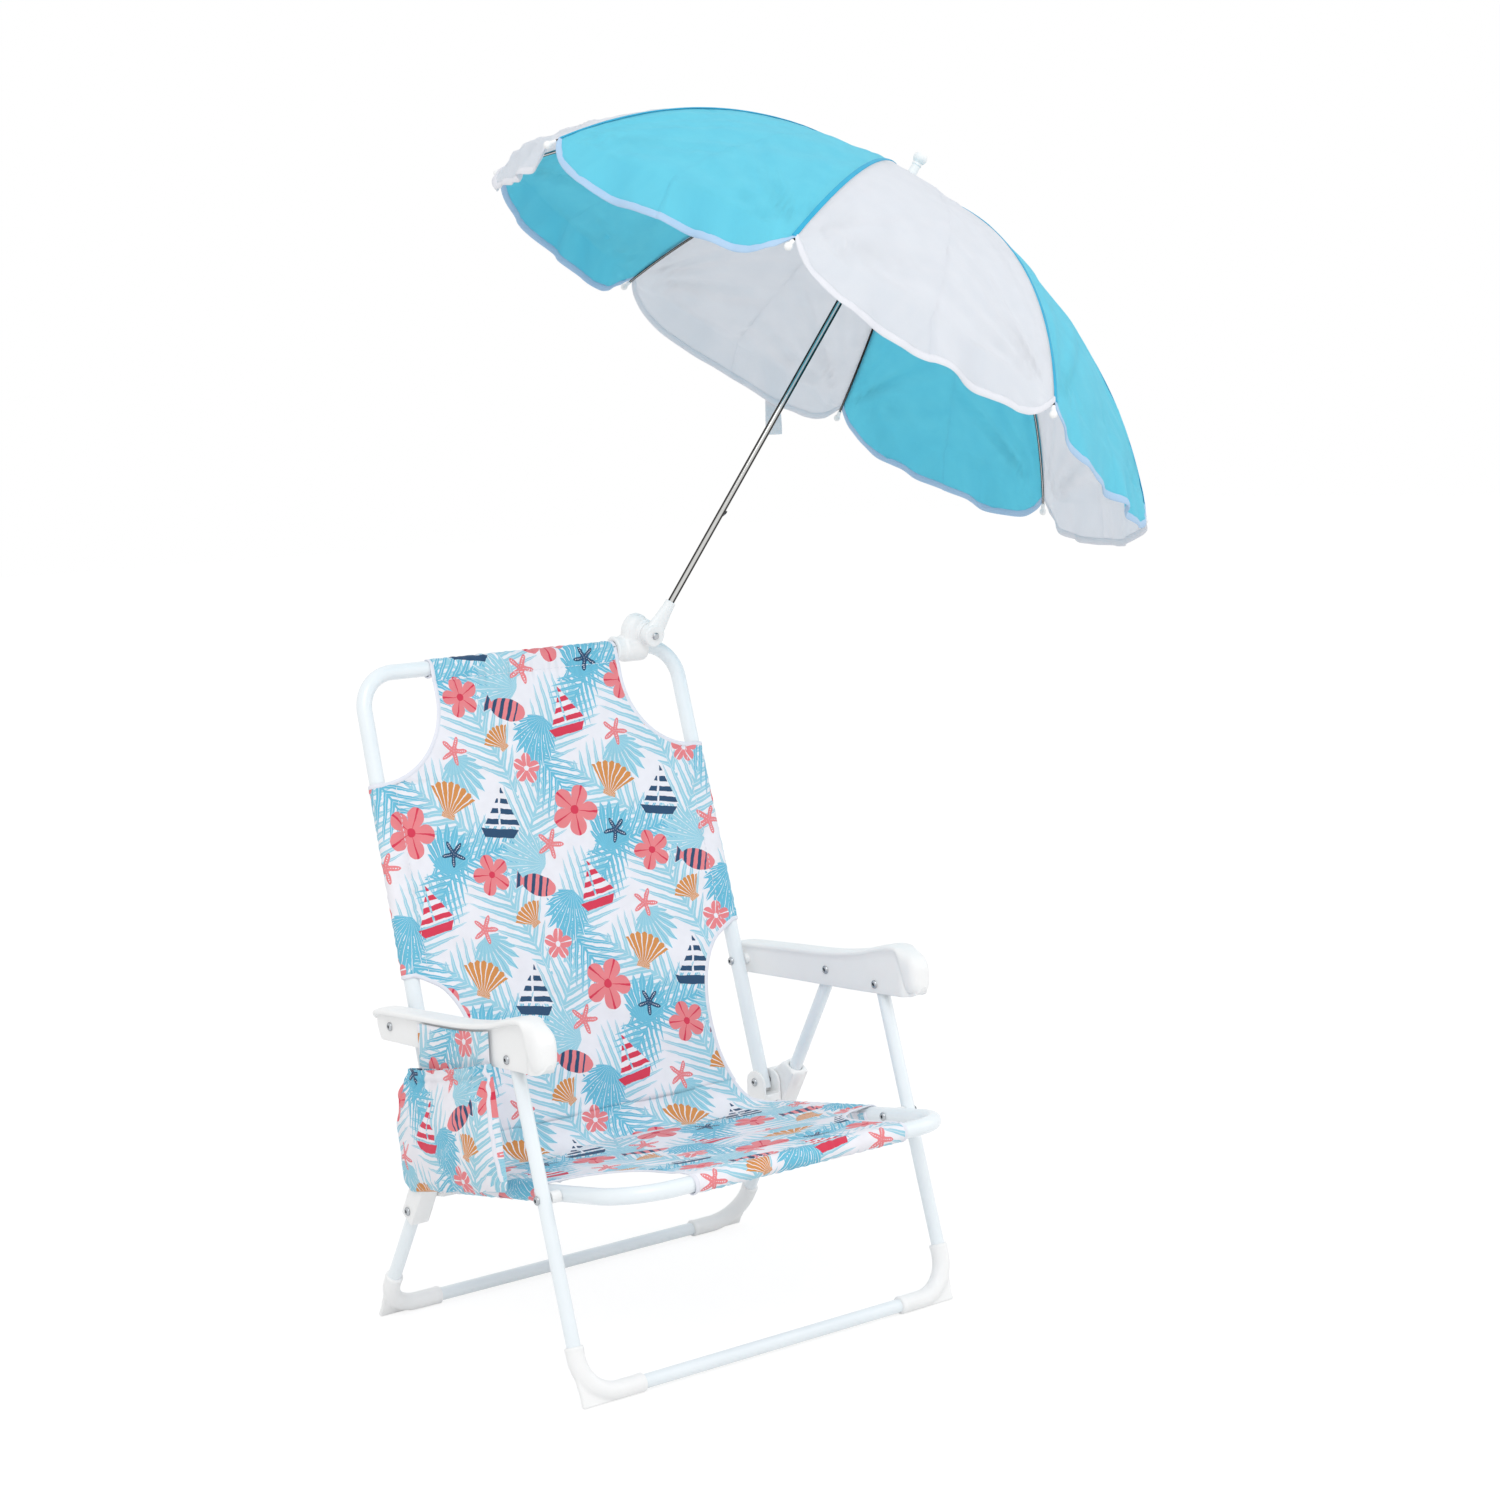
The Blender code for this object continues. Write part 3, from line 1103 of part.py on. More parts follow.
def canopy_point(gore, across, down):
    """A point between two ribs: across runs -1 to 1, down runs 0 to 1 from the hole at the crown."""
    half_gore = math.pi / CANOPY_GORES
    angle = FIRST_RIB + half_gore * (2 * gore + 1 + across)
    hole_share = math.asin(CROWN_HOLE / DOME_RADIUS) / math.asin(CANOPY_RADIUS / DOME_RADIUS)
    radius, height = canopy_line(hole_share + (1 - hole_share) * down)
    chord = math.cos(half_gore) / math.cos(half_gore * across)
    radius *= 1 - GORE_FLATTEN_SHARE * (1 - chord)
    return Vector((radius * math.cos(angle), radius * math.sin(angle), height))


def hem_point(gore, across, share, down):
    """A point of the hem, which runs out past the ribs' corners and hangs. down is a unit vector."""
    edge = canopy_point(gore, across, 1)
    ahead = (edge - canopy_point(gore, across, 1 - 1 / CANOPY_ROWS)).normalized()
    length = HEM_AT_RIB + HEM_DROP * (1 - across**4)
    hang = HEM_HANG_SHARE * (1 - across**4)
    return edge + (ahead * (1 - hang) + down * hang).normalized() * (length * share)


def hanging(body):
    """Straight down, in the body's own frame."""
    return (in_chair(body).to_3x3().inverted() @ Vector((0, 0, -1))).normalized()


def add_canopy(body):
    """Eight gores in one cloth, with a hole for the cap, drawn in between the ribs and longer at the hem."""
    around = CANOPY_GORES * GORE_COLUMNS
    down = hanging(body)
    points = []
    for row in range(CANOPY_ROWS + HEM_ROWS + 1):
        for step in range(around):
            gore, column = divmod(step, GORE_COLUMNS)
            across = 2 * column / GORE_COLUMNS - 1
            if row <= CANOPY_ROWS:
                points.append(canopy_point(gore, across, row / CANOPY_ROWS))
            else:
                points.append(hem_point(gore, across, (row - CANOPY_ROWS) / HEM_ROWS, down))
    faces = []
    for row in range(CANOPY_ROWS + HEM_ROWS):
        for step in range(around):
            near, far = row * around, (row + 1) * around
            next_step = (step + 1) % around
            faces.append((near + step, near + next_step, far + next_step, far + step))
    shape = thicken(points, faces, CANOPY_CLOTH)
    return add_solid("canopy", shape, "canopy_cloth", body, chair_frame=False)


def rib_angle(rib):
    return FIRST_RIB + 2 * math.pi * rib / CANOPY_GORES


def rib_line(share):
    """A point on a rib in its own plane, (outward, up) from the rib's hinge at the crown."""
    below = CANOPY_CLOTH / 2 + RIB_GAP + RIB_RADIUS
    rib_start = HINGE_RADIUS / DOME_RADIUS / math.asin(CANOPY_RADIUS / DOME_RADIUS)
    radius, height = canopy_line(rib_start + (1 - rib_start) * share, below)
    fade = 1 - (1 - share) ** 6
    tip = (CANOPY_RADIUS - radius) * share**12
    return (radius - HINGE_RADIUS + tip) * fade, (height - tip - CROWN_HINGE_HEIGHT) * fade


def joint_open():
    """Where the stretcher meets the open rib, as (radius, height) from the mast's foot."""
    outward, up = rib_line(JOINT_SHARE)
    return HINGE_RADIUS + outward, CROWN_HINGE_HEIGHT + up


def rib_close_angle():
    """How far a rib swings from open until its tip lies beside the mast."""
    outward, up = rib_line(1)
    length = math.hypot(outward, up)
    open_angle = math.atan2(outward, -up)
    closed_angle = math.asin((CLOSED_TIP_RADIUS - HINGE_RADIUS) / length)
    return open_angle - closed_angle


def joint_closed():
    outward, up = rib_line(JOINT_SHARE)
    turn = rib_close_angle()
    closed_out = outward * math.cos(turn) + up * math.sin(turn)
    closed_up = up * math.cos(turn) - outward * math.sin(turn)
    return HINGE_RADIUS + closed_out, CROWN_HINGE_HEIGHT + closed_up


def runner_at(joint):
    """Height of the runner's hinge ring when the stretchers reach the joint."""
    radius, height = joint
    return height - math.sqrt(STRETCHER_LENGTH**2 - (radius - HINGE_RADIUS) ** 2)


def runner_open():
    return runner_at(joint_open())


def runner_closed():
    return runner_at(joint_closed())


# The runner passes over the upper catch, so that one is drawn pressed in
RUNNER_STOPS = (
    ("open_catch", runner_open, CATCH_PRESSED_REACH),
    ("closed_catch", runner_closed, CATCH_REACH),
)


def add_rib(rib, body):
    """A curved rod from its eye at the crown to the white tip that holds the canopy's corner."""
    path = [(outward, 0, up) for outward, up in (rib_line(step / RIB_STEPS) for step in range(RIB_STEPS + 1))]
    rod = sweep_bar(path, RIB_RADIUS, RIB_FACETS)
    obj = add_solid(f"rib_{rib + 1}", rod, "chrome", body, chair_frame=False)
    eye = turned(
        ((0, -RIB_RADIUS), (EYE_RADIUS, -RIB_RADIUS), (EYE_RADIUS, RIB_RADIUS), (0, RIB_RADIUS)), RIVET_FACETS
    )
    tip_out, tip_up = rib_line(1)
    past_out, past_up = rib_line(1 - 1 / RIB_STEPS)
    length = math.hypot(tip_out - past_out, tip_up - past_up)
    ahead = Vector(((tip_out - past_out) / length, 0, (tip_up - past_up) / length))
    centre = Vector((tip_out, 0, tip_up)) + ahead * (RIB_TIP_RADIUS / 2)
    shares = ((0, -1), (0.75, -0.66), (1, 0), (0.75, 0.66), (0, 1))
    ball = turned([(r * RIB_TIP_RADIUS, h * RIB_TIP_RADIUS) for r, h in shares], RIVET_FACETS)
    join(obj, moved(eye, Matrix.Rotation(math.pi / 2, 4, "X")), moved(ball, Matrix.Translation(centre)))
    angle = rib_angle(rib)
    obj.location = (HINGE_RADIUS * math.cos(angle), HINGE_RADIUS * math.sin(angle), CROWN_HINGE_HEIGHT)
    obj.rotation_euler = (0, 0, angle)
    return obj


def add_stretcher(rib, body):
    """A rod beside the rib, from its eye at the runner to its eye at the rib."""
    radius, height = joint_open()
    out, up = radius - HINGE_RADIUS, height - runner_open()
    shift = STRETCHER_SHIFT
    rod = sweep_bar(((0, shift, 0), (out, shift, up)), STRETCHER_RADIUS, RIB_FACETS)
    obj = add_solid(f"stretcher_{rib + 1}", rod, "chrome", body, chair_frame=False)
    flat = STRETCHER_RADIUS
    eye = turned(((0, -flat), (EYE_RADIUS, -flat), (EYE_RADIUS, flat), (0, flat)), RIVET_FACETS)
    eye = moved(eye, Matrix.Rotation(math.pi / 2, 4, "X"))
    ends = (Vector((0, shift, 0)), Vector((out, shift, up)))
    join(obj, *(moved(eye, Matrix.Translation(end)) for end in ends))
    angle = rib_angle(rib)
    obj.location = (HINGE_RADIUS * math.cos(angle), HINGE_RADIUS * math.sin(angle), 0)
    obj.rotation_euler = (0, 0, angle)
    return obj


def add_mast_pieces(body):
    """Tube, crown, cap and the two catches."""
    top = APEX_HEIGHT - CANOPY_CLOTH / 2 - 2 * CLEARANCE
    half_crown = CROWN_HEIGHT / 2
    tube = sweep_bar(((0, 0, MAST_START), (0, 0, top)), MAST_TUBE / 2, MAST_FACETS, MAST_TUBE / 2 - MAST_WALL)
    mast = add_solid("mast_tube", tube, "chrome", body, chair_frame=False)
    slot_half = CATCH_THICKNESS / 2 + CLEARANCE
    for _, runner_z, _ in RUNNER_STOPS:
        top = catch_top(runner_z())
        low = top - CATCH_LENGTH - CLEARANCE
        cut(mast, box((0, -slot_half, low), (MAST_TUBE, slot_half, top + CLEARANCE)))
    inner = MAST_TUBE / 2 + CLEARANCE
    low, high = CROWN_HINGE_HEIGHT - half_crown, CROWN_HINGE_HEIGHT + half_crown
    ring = turned(((inner, low), (CROWN_RADIUS, low), (CROWN_RADIUS, high), (inner, high)), SOCKET_FACETS)
    add_solid("crown", ring, "white_plastic", body, chair_frame=False)
    flange = APEX_HEIGHT + CANOPY_CLOTH / 2 + CLEARANCE
    ball = flange + CAP_LENGTH - CAP_BALL_RADIUS
    profile = (
        (0, flange),
        (CAP_FLANGE_RADIUS, flange),
        (CAP_NECK_RADIUS + RIVET_RADIUS, flange + CAP_FLANGE_HEIGHT),
        (CAP_NECK_RADIUS, (flange + ball) / 2),
        (CAP_NECK_RADIUS, ball - CAP_BALL_RADIUS * 0.7),
        (CAP_BALL_RADIUS, ball),
        (CAP_BALL_RADIUS * 0.7, ball + CAP_BALL_RADIUS * 0.7),
        (0, ball + CAP_BALL_RADIUS),
    )
    add_solid("ferrule_cap", turned(profile, TUBE_FACETS), "white_plastic", body, chair_frame=False)
    for name, runner_z, reach in RUNNER_STOPS:
        add_catch(name, catch_top(runner_z()), reach, body)


def catch_top(runner_z):
    """Height of a catch's top, just under the runner when its hinge ring is at runner_z."""
    return runner_z + RUNNER_FLANGE / 2 - RUNNER_LENGTH - CLEARANCE


def add_catch(name, top, reach, body):
    """A sprung catch under the runner: a leaf in the mast's slot with a sloping nose."""
    half = CATCH_THICKNESS / 2
    inner, outer = MAST_TUBE / 2 - MAST_WALL, MAST_TUBE / 2 + reach
    low = top - CATCH_LENGTH
    outline = ((0, low), (inner, low), (outer, top - CATCH_LENGTH / 4), (outer, top), (0, top))
    count = len(outline)
    points = [Vector((x, y, z)) for y in (-half, half) for x, z in outline]
    faces = [tuple(range(count)), tuple(range(count, 2 * count))]
    faces += [(i, (i + 1) % count, count + (i + 1) % count, count + i) for i in range(count)]
    return add_solid(name, (points, faces), "zinc", body, chair_frame=False)


def add_strap(mast, rib):
    """The closing strap: a short webbing tab that hangs from the hem, and moves with the rib beside it."""
    across = 2 * STRAP_GORE_SHARE - 1
    down = hanging(mast)
    hem = hem_point(STRAP_GORE, across, 1, down)
    aside = hem_point(STRAP_GORE, across - STRAP_WIDTH / CANOPY_RADIUS, 1, down)
    half = STRAP_WIDTH / 2
    along_hem = (aside - hem).normalized() * half
    level = (along_hem - down * along_hem.dot(down)).normalized() * half
    through = down.cross(level).normalized() * (STRAP_THICKNESS / 2)
    start = hem + down * CLEARANCE
    ends = ((start, along_hem), (start + down * STRAP_LENGTH, level))
    points = [place + along * a + through * t for place, along in ends for a in (-1, 1) for t in (-1, 1)]
    faces = [(0, 1, 3, 2), (4, 5, 7, 6), (0, 1, 5, 4), (2, 3, 7, 6), (0, 2, 6, 4), (1, 3, 7, 5)]
    shape = moved((points, faces), rib.matrix_basis.inverted())
    return add_solid("closing_strap", shape, "strap_cloth", rib, chair_frame=False)


def add_runner(body):
    """A sleeve on the mast with the hinge flange at its top, in the runner's own frame."""
    inner = MAST_TUBE / 2 + CLEARANCE
    half = RUNNER_FLANGE / 2
    profile = (
        (inner, half - RUNNER_LENGTH),
        (RUNNER_RADIUS, half - RUNNER_LENGTH),
        (RUNNER_RADIUS, -half),
        (CROWN_RADIUS, -half),
        (CROWN_RADIUS, half),
        (inner, half),
    )
    return add_solid("runner", turned(profile, SOCKET_FACETS), "white_plastic", body, chair_frame=False)


# Assembly
def add_seat(body):
    add_seat_frame(body)
    add_seat_sling(body)
    seat_inner = seat_x(SEAT_PIVOT_Y) - MAIN_RADIUS
    leg_outer = LEG_HALF_WIDTH + LEG_RADIUS
    for side, sign in SIDES:
        add_block(side, sign, body)
        add_spacer(side, sign, body)
        faces = (sign * seat_inner, sign * leg_outer)
        add_rivet("front_leg_rivet_" + side, SEAT_PIVOT_Y, SEAT_PIVOT_Z, faces, body)
        faces = (sign * BLOCK_IN, sign * (BLOCK_OUT - SINK_DEPTH))
        add_rivet("back_pivot_rivet_" + side, BACK_PIVOT_Y, BACK_PIVOT_Z, faces, body, SUNK_HEAD_HEIGHT)


def add_arms(body):
    back_inner = back_x(ARM_REAR_PIVOT_Z) - MAIN_RADIUS
    for side, sign in SIDES:
        add_armrest(side, sign, body)
        skirts = (sign * ARM_SKIRT_IN, sign * ARM_SKIRT_OUT)
        through = (sign * back_inner, sign * ARM_SKIRT_OUT)
        add_rivet("arm_front_rivet_" + side, ARM_FRONT_PIVOT_Y, ARM_FRONT_PIVOT_Z, skirts, body)
        add_rivet("arm_middle_rivet_" + side, REAR_PIVOT_Y, REAR_PIVOT_Z, skirts, body)
        add_rivet("arm_rear_rivet_" + side, ARM_REAR_PIVOT_Y, ARM_REAR_PIVOT_Z, through, body)
    add_side_pocket(body)


def add_leg_pieces(front, rear):
    add_front_legs(front)
    add_rear_legs(rear)
    for side, sign in SIDES:
        add_boot("front_boot_" + side, sign, front_leg_path(), front)
        add_boot("rear_boot_" + side, sign, rear_leg_path(), rear)
        add_saddle(side, sign, rear)
        faces = (sign * (SADDLE_IN + SADDLE_SINK_DEPTH), sign * saddle_out())
        add_rivet("saddle_rivet_" + side, SADDLE_RIVET_Y, SADDLE_RIVET_Z, faces, rear)


def add_umbrella(clamp, mast, runner):
    add_clamp(clamp)
    add_tilt_screw(clamp)
    add_socket(mast)
    add_mast_pieces(mast)
    add_canopy(mast)
    add_runner(runner)
    ribs = []
    for rib in range(CANOPY_GORES):
        ribs.append(add_rib(rib, mast))
        add_stretcher(rib, runner)
    add_strap(mast, ribs[STRAP_GORE])


def centre_origin(chair):
    """Puts the origin under the middle of the whole part's box, on the floor."""
    bpy.context.view_layer.update()
    graph = bpy.context.evaluated_depsgraph_get()
    corners = []
    for obj in bpy.context.scene.objects:
        if obj.type == "MESH" and not obj.hide_render:
            mesh = obj.evaluated_get(graph).data
            corners += [obj.matrix_world @ vert.co for vert in mesh.vertices]
    middle = [(min(c[axis] for c in corners) + max(c[axis] for c in corners)) / 2 for axis in range(2)]
    chair.location = (-middle[0], -middle[1], -min(c.z for c in corners))


def main():
    for obj in list(bpy.data.objects):
        bpy.data.objects.remove(obj)
    bodies = add_bodies()
    add_seat(bodies["seat"])
    add_back_frame(bodies["back"])
    add_back_sling(bodies["back"])
    add_arms(bodies["armrests"])
    add_leg_pieces(bodies["front_legs"], bodies["rear_legs"])
    add_umbrella(bodies["clamp"], bodies["mast"], bodies["runner"])
    centre_origin(bodies["chair"])


main()
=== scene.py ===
"""A child's folding beach chair with an umbrella: its cloth, mouldings, tubes and finishes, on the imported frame.

The frame is loaded first and stays where it is. Each operator builds one piece or one group of like pieces,
and main() calls them in order. Lengths are in metres. The chair's own frame has x = 0 midway between its
sides and z = 0 on the floor; the umbrella's frame starts at its tilt screw and has z along the mast.
"""

import json
import math

import bmesh
import bpy
import numpy as np
from bpy.props import FloatProperty, FloatVectorProperty, PointerProperty
from bpy.types import Operator, Panel, PropertyGroup
from mathutils import Matrix, Vector


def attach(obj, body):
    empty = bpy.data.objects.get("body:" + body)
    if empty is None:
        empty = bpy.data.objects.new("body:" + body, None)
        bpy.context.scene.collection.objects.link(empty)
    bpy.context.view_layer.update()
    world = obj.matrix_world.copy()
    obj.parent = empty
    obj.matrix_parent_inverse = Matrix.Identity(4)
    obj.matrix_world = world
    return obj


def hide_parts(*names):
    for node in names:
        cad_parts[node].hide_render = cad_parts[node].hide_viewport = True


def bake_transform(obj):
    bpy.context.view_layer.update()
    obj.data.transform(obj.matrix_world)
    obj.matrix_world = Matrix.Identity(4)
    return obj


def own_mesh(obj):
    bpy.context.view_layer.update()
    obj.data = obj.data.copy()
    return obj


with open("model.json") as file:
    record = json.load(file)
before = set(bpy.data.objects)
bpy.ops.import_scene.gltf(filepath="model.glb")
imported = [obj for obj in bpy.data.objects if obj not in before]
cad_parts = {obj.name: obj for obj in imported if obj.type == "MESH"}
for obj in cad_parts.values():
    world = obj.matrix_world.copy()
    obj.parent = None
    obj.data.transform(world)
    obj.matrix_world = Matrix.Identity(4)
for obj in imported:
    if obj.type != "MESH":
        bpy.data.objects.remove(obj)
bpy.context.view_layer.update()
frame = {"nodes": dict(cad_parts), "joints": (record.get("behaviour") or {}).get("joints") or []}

bl_info = {
    "name": "Umbrella Beach Chair",
    "version": (1, 0, 0),
    "blender": (4, 5, 0),
    "location": "3D View > Sidebar > Beach Chair",
    "description": "Dresses the frame of a child's folding beach chair with cloth, mouldings and an umbrella",
    "category": "Object",
}

MM = 0.001
SIDES = (("left", -1.0), ("right", 1.0))

# Side view of the chair: pivots and leans
SEAT_PIVOT_Y, SEAT_PIVOT_Z = -112.1 * MM, 164.9 * MM
BACK_PIVOT_Y, BACK_PIVOT_Z = 80.6 * MM, 163.2 * MM
LINK_Y, LINK_Z = 30.8 * MM, 112.9 * MM
REAR_PIVOT_Y, REAR_PIVOT_Z = -10.4 * MM, 281.6 * MM
BACK_LEAN = math.radians(14.6)
SEAT_SLOPE = math.radians(8.53)
FRONT_LEG_LEAN = math.radians(16.0)
REAR_LEG_LEAN = math.radians(32.16)

# Tubes and their bends
MAIN_RADIUS = 7 * MM
LEG_RADIUS = 6 * MM
END_MARGIN = 8 * MM
HINGE_X = 176.9 * MM
BACK_TOP_X, BACK_TOP_Z, BACK_BEND = 171.3 * MM, 577.8 * MM, 34 * MM
SEAT_FRONT_X, SEAT_FRONT_Y, SEAT_BEND = 171.0 * MM, -203 * MM, 46 * MM
LEG_X, REAR_FOOT_X, LEG_BEND = 195.35 * MM, 200.0 * MM, 34 * MM
BOOT_RADIUS = 7.9 * MM
FLOOR_BAR_Z = 7.5 * MM

# Armrest
ARM_REAR_Y, ARM_LENGTH = 139 * MM, 277 * MM
ARM_BASE_Z, ARM_HEIGHT = 262 * MM, 54.5 * MM
ARM_LIP_IN, ARM_LIP_OUT = 186.5 * MM, 208.9 * MM
ARM_SKIRT_IN, ARM_SKIRT_OUT = 187.0 * MM, 203.9 * MM
ARM_TOP_SHARES = (
    (0.0, 0.40), (0.015, 0.48), (0.05, 0.53), (0.12, 0.56), (0.30, 0.615), (0.54, 0.69), (0.70, 0.80), (0.80, 0.925),
    (0.86, 0.99), (0.90, 0.995), (0.945, 0.94), (0.98, 0.83), (1.0, 0.67),
)  # fmt: skip
ARM_LOW_SHARES = (
    (0.0, 0.33), (0.04, 0.0), (0.36, 0.06), (0.66, 0.105), (0.86, 0.15), (0.93, 0.165), (0.96, 0.18), (0.98, 0.215),
    (0.992, 0.27), (1.0, 0.36),
)  # fmt: skip

# Sling
CREASE_X, WAIST_X = 150 * MM, 126 * MM
SIDE_LOW_Z, SIDE_HIGH_Z = 315 * MM, 480 * MM
TOP_X, FRONT_X = 100 * MM, 110 * MM
SEAT_SLEEVE_REAR_Y, SEAT_SLEEVE_FRONT_Y = 57 * MM, -86 * MM
CLOTH_REACH = 7.9 * MM
WRAP_ANGLE = math.radians(292)
CREASE_STRIP = 24 * MM

# Umbrella, along the mast from its tilt screw
MAST_RADIUS = 3.25 * MM
RIM_HEIGHT, CANOPY_RADIUS, CANOPY_RISE = 322.6 * MM, 353.5 * MM, 166.0 * MM
APEX = RIM_HEIGHT + CANOPY_RISE
DOME_RADIUS = (CANOPY_RADIUS**2 + CANOPY_RISE**2) / (2 * CANOPY_RISE)
HUB_RADIUS = 10.1 * MM
CROWN_HEIGHT = 483.1 * MM
RUNNER_HEIGHT = 394.53 * MM
FIRST_RIB = math.radians(176.3)
GORES = 8
GORE_COLUMNS = 40
CANOPY_ROWS, HEM_ROWS = 52, 12


# Places that the frame gives
JOINTS = {joint["name"]: joint for joint in frame["joints"]}
CHAIR = np.array((JOINTS["fold"]["pos_m"][0], JOINTS["fold"]["pos_m"][1] - BACK_PIVOT_Y, 0.0))
MAST_AXIS = -np.array(JOINTS["runner_slide"]["axis"])
MAST_SIDE = -np.array(JOINTS["mast_tilt"]["axis"])
MAST_TURN = np.stack((np.cross(MAST_SIDE, MAST_AXIS), MAST_SIDE, MAST_AXIS), axis=1)
MAST_FOOT = np.array(JOINTS["mast_tilt"]["pos_m"])
CLAMP_TURN = np.array(Matrix.Rotation(math.radians(14.1), 3, "X"))
CLAMP_PLACE = np.array(JOINTS["clamp_turn"]["pos_m"])


def from_mast(points):
    return points @ MAST_TURN.T + MAST_FOOT


def from_clamp(points):
    return points @ CLAMP_TURN.T + CLAMP_PLACE


# What a user would change
def linear(code):
    """An sRGB hex value as linear red, green, blue and alpha."""
    parts = np.array([int(code[i : i + 2], 16) for i in (0, 2, 4)]) / 255
    parts = np.where(parts <= 0.04045, parts / 12.92, ((parts + 0.055) / 1.055) ** 2.4)
    return (*parts.tolist(), 1.0)


def colour_property(name, description, code):
    return FloatVectorProperty(
        name=name, description=description, subtype="COLOR", size=4, min=0, max=1, default=linear(code)
    )


class ChairFinish(PropertyGroup):
    tube_colour: colour_property("Tube", "Powder coat of the bent steel tubes", "EEF4F7")
    plastic_colour: colour_property("Plastic", "Moulded armrests, boots, blocks and clamp", "F4F4F4")
    zinc_colour: colour_property("Rivets", "Zinc-plated steel of the rivets", "B9BDC1")
    chrome_colour: colour_property("Mast", "Nickel-chromed steel of mast, ribs and stretchers", "D2D2D0")


class ClothFinish(PropertyGroup):
    ground: colour_property("Ground", "Unprinted ground of the sling", "F6F5FB")
    pale_leaf: colour_property("Pale leaf", "Lightest leaf sprays", "A3D8E9")
    mid_leaf: colour_property("Leaf", "Main leaf sprays", "6FC4E0")
    deep_leaf: colour_property("Deep leaf", "Darkest leaf sprays", "37AFD4")
    coral: colour_property("Coral", "Flowers and starfish", "F28A90")
    red: colour_property("Red", "Sails and fish tails", "E23C58")
    navy: colour_property("Navy", "Hulls and fish stripes", "2B5074")
    sand: colour_property("Sand", "Shells", "DE9552")
    binding: colour_property("Binding", "Tape along the cut edges", "F0F0F7")
    print_scale: FloatProperty(name="Print scale", description="Size of the printed motifs", default=1.0, min=0.3,
        max=3)
    thickness: FloatProperty(
        name="Cloth", description="Thickness of the sling cloth", default=0.8 * MM, min=0.0002, max=0.003, unit="LENGTH"
    )
    back_sag: FloatProperty(
        name="Back sag", description="How far the back cloth dips", default=7 * MM, min=0, max=0.03, unit="LENGTH"
    )
    seat_sag: FloatProperty(
        name="Seat sag", description="How far the seat cloth dips", default=7 * MM, min=0, max=0.03, unit="LENGTH"
    )
    pucker: FloatProperty(
        name="Puckers", description="Height of the gathers by the seams", default=1.3 * MM, min=0, max=0.004,
            unit="LENGTH"
    )


class CanopyFinish(PropertyGroup):
    blue: colour_property("Blue gores", "Dyed canopy cloth", "88E6F4")
    white: colour_property("White gores", "Undyed canopy cloth", "F3F4F7")
    blue_edge: colour_property("Blue binding", "Tape at the rim of the blue gores", "BCD8F2")
    seam: colour_property("Seam", "Folded seams over the ribs", "33B9E0")
    wrinkle: FloatProperty(
        name="Creases", description="Height of the creases in the canopy", default=2.2 * MM, min=0, max=0.006,
            unit="LENGTH"
    )
    bulge: FloatProperty(
        name="Bulge", description="How far the ribs bow the canopy", default=6 * MM, min=0, max=0.02, unit="LENGTH"
    )
    closed_width: FloatProperty(
        name="Folded width", description="Share of a panel's width that is left when folded", default=0.07, min=0.02,
            max=1
    )


class StageLook(PropertyGroup):
    key_power: FloatProperty(name="Key lamp", description="Soft lamp at the upper left", default=22.0, min=0, max=500,
        unit="POWER")
    fill_power: FloatProperty(name="Fill lamp", description="Soft lamp at the right", default=9.0, min=0, max=500,
        unit="POWER")
    ambient: FloatProperty(name="Ambient", description="Light from all round", default=0.85, min=0, max=2)


# Curves and grids
def unit(vectors):
    return vectors / np.maximum(np.linalg.norm(vectors, axis=-1, keepdims=True), 1e-12)


def curve_through(points, steps=12):
    """Catmull-Rom curve: each stretch is the cubic through two points whose slopes come from their neighbours."""
    given = np.asarray(points, float)
    given = np.vstack((2 * given[0] - given[1], given, 2 * given[-1] - given[-2]))
    t = (np.arange(steps) / steps)[:, None]
    a, b, c, d = (given[i : len(given) - 3 + i, None] for i in range(4))
    line = 0.5 * (2 * b + (c - a) * t + (2 * a - 5 * b + 4 * c - d) * t**2 + (3 * b - a - 3 * c + d) * t**3)
    return np.vstack((line.reshape(-1, given.shape[1]), given[-2]))


def round_corners(corners, radius, steps=20):
    """Straight lines joined by circular arcs: each inner corner becomes an arc of the radius, tangent to both lines."""
    corners = [Vector(corner) for corner in corners]
    rows = [np.array(corners[0])[None]]
    turn_steps = np.linspace(0, 1, steps)[:, None]
    for before, corner, after in zip(corners, corners[1:], corners[2:]):
        back, ahead = (before - corner).normalized(), (after - corner).normalized()
        half = back.angle(ahead) / 2
        centre = corner + (back + ahead).normalized() * (radius / math.sin(half))
        start = corner + back * (radius / math.tan(half)) - centre
        end = corner + ahead * (radius / math.tan(half)) - centre
        sweep = math.pi - 2 * half
        from_start = np.sin((1 - turn_steps) * sweep) * np.array(start)
        from_end = np.sin(turn_steps * sweep) * np.array(end)
        arc = (from_start + from_end) / math.sin(sweep)
        rows.append(np.array(centre) + arc)
    rows.append(np.array(corners[-1])[None])
    return np.vstack(rows)


def carry(profile, path, hint):
    """A profile of (side, up) points carried along a path: up follows the hint, side is square to it and the path."""
    ahead = unit(np.gradient(path, axis=0))
    side = unit(np.cross(ahead, hint))
    up = np.cross(side, ahead)
    profile = np.broadcast_to(profile, (len(path), *profile.shape[-2:]))
    return path[:, None] + side[:, None] * profile[..., :1] + up[:, None] * profile[..., 1:]


def ring(sides, radius=1.0, flat=1.0):
    angles = np.arange(sides) * 2 * math.pi / sides
    return np.stack((np.cos(angles) * radius, np.sin(angles) * radius * flat), axis=1)


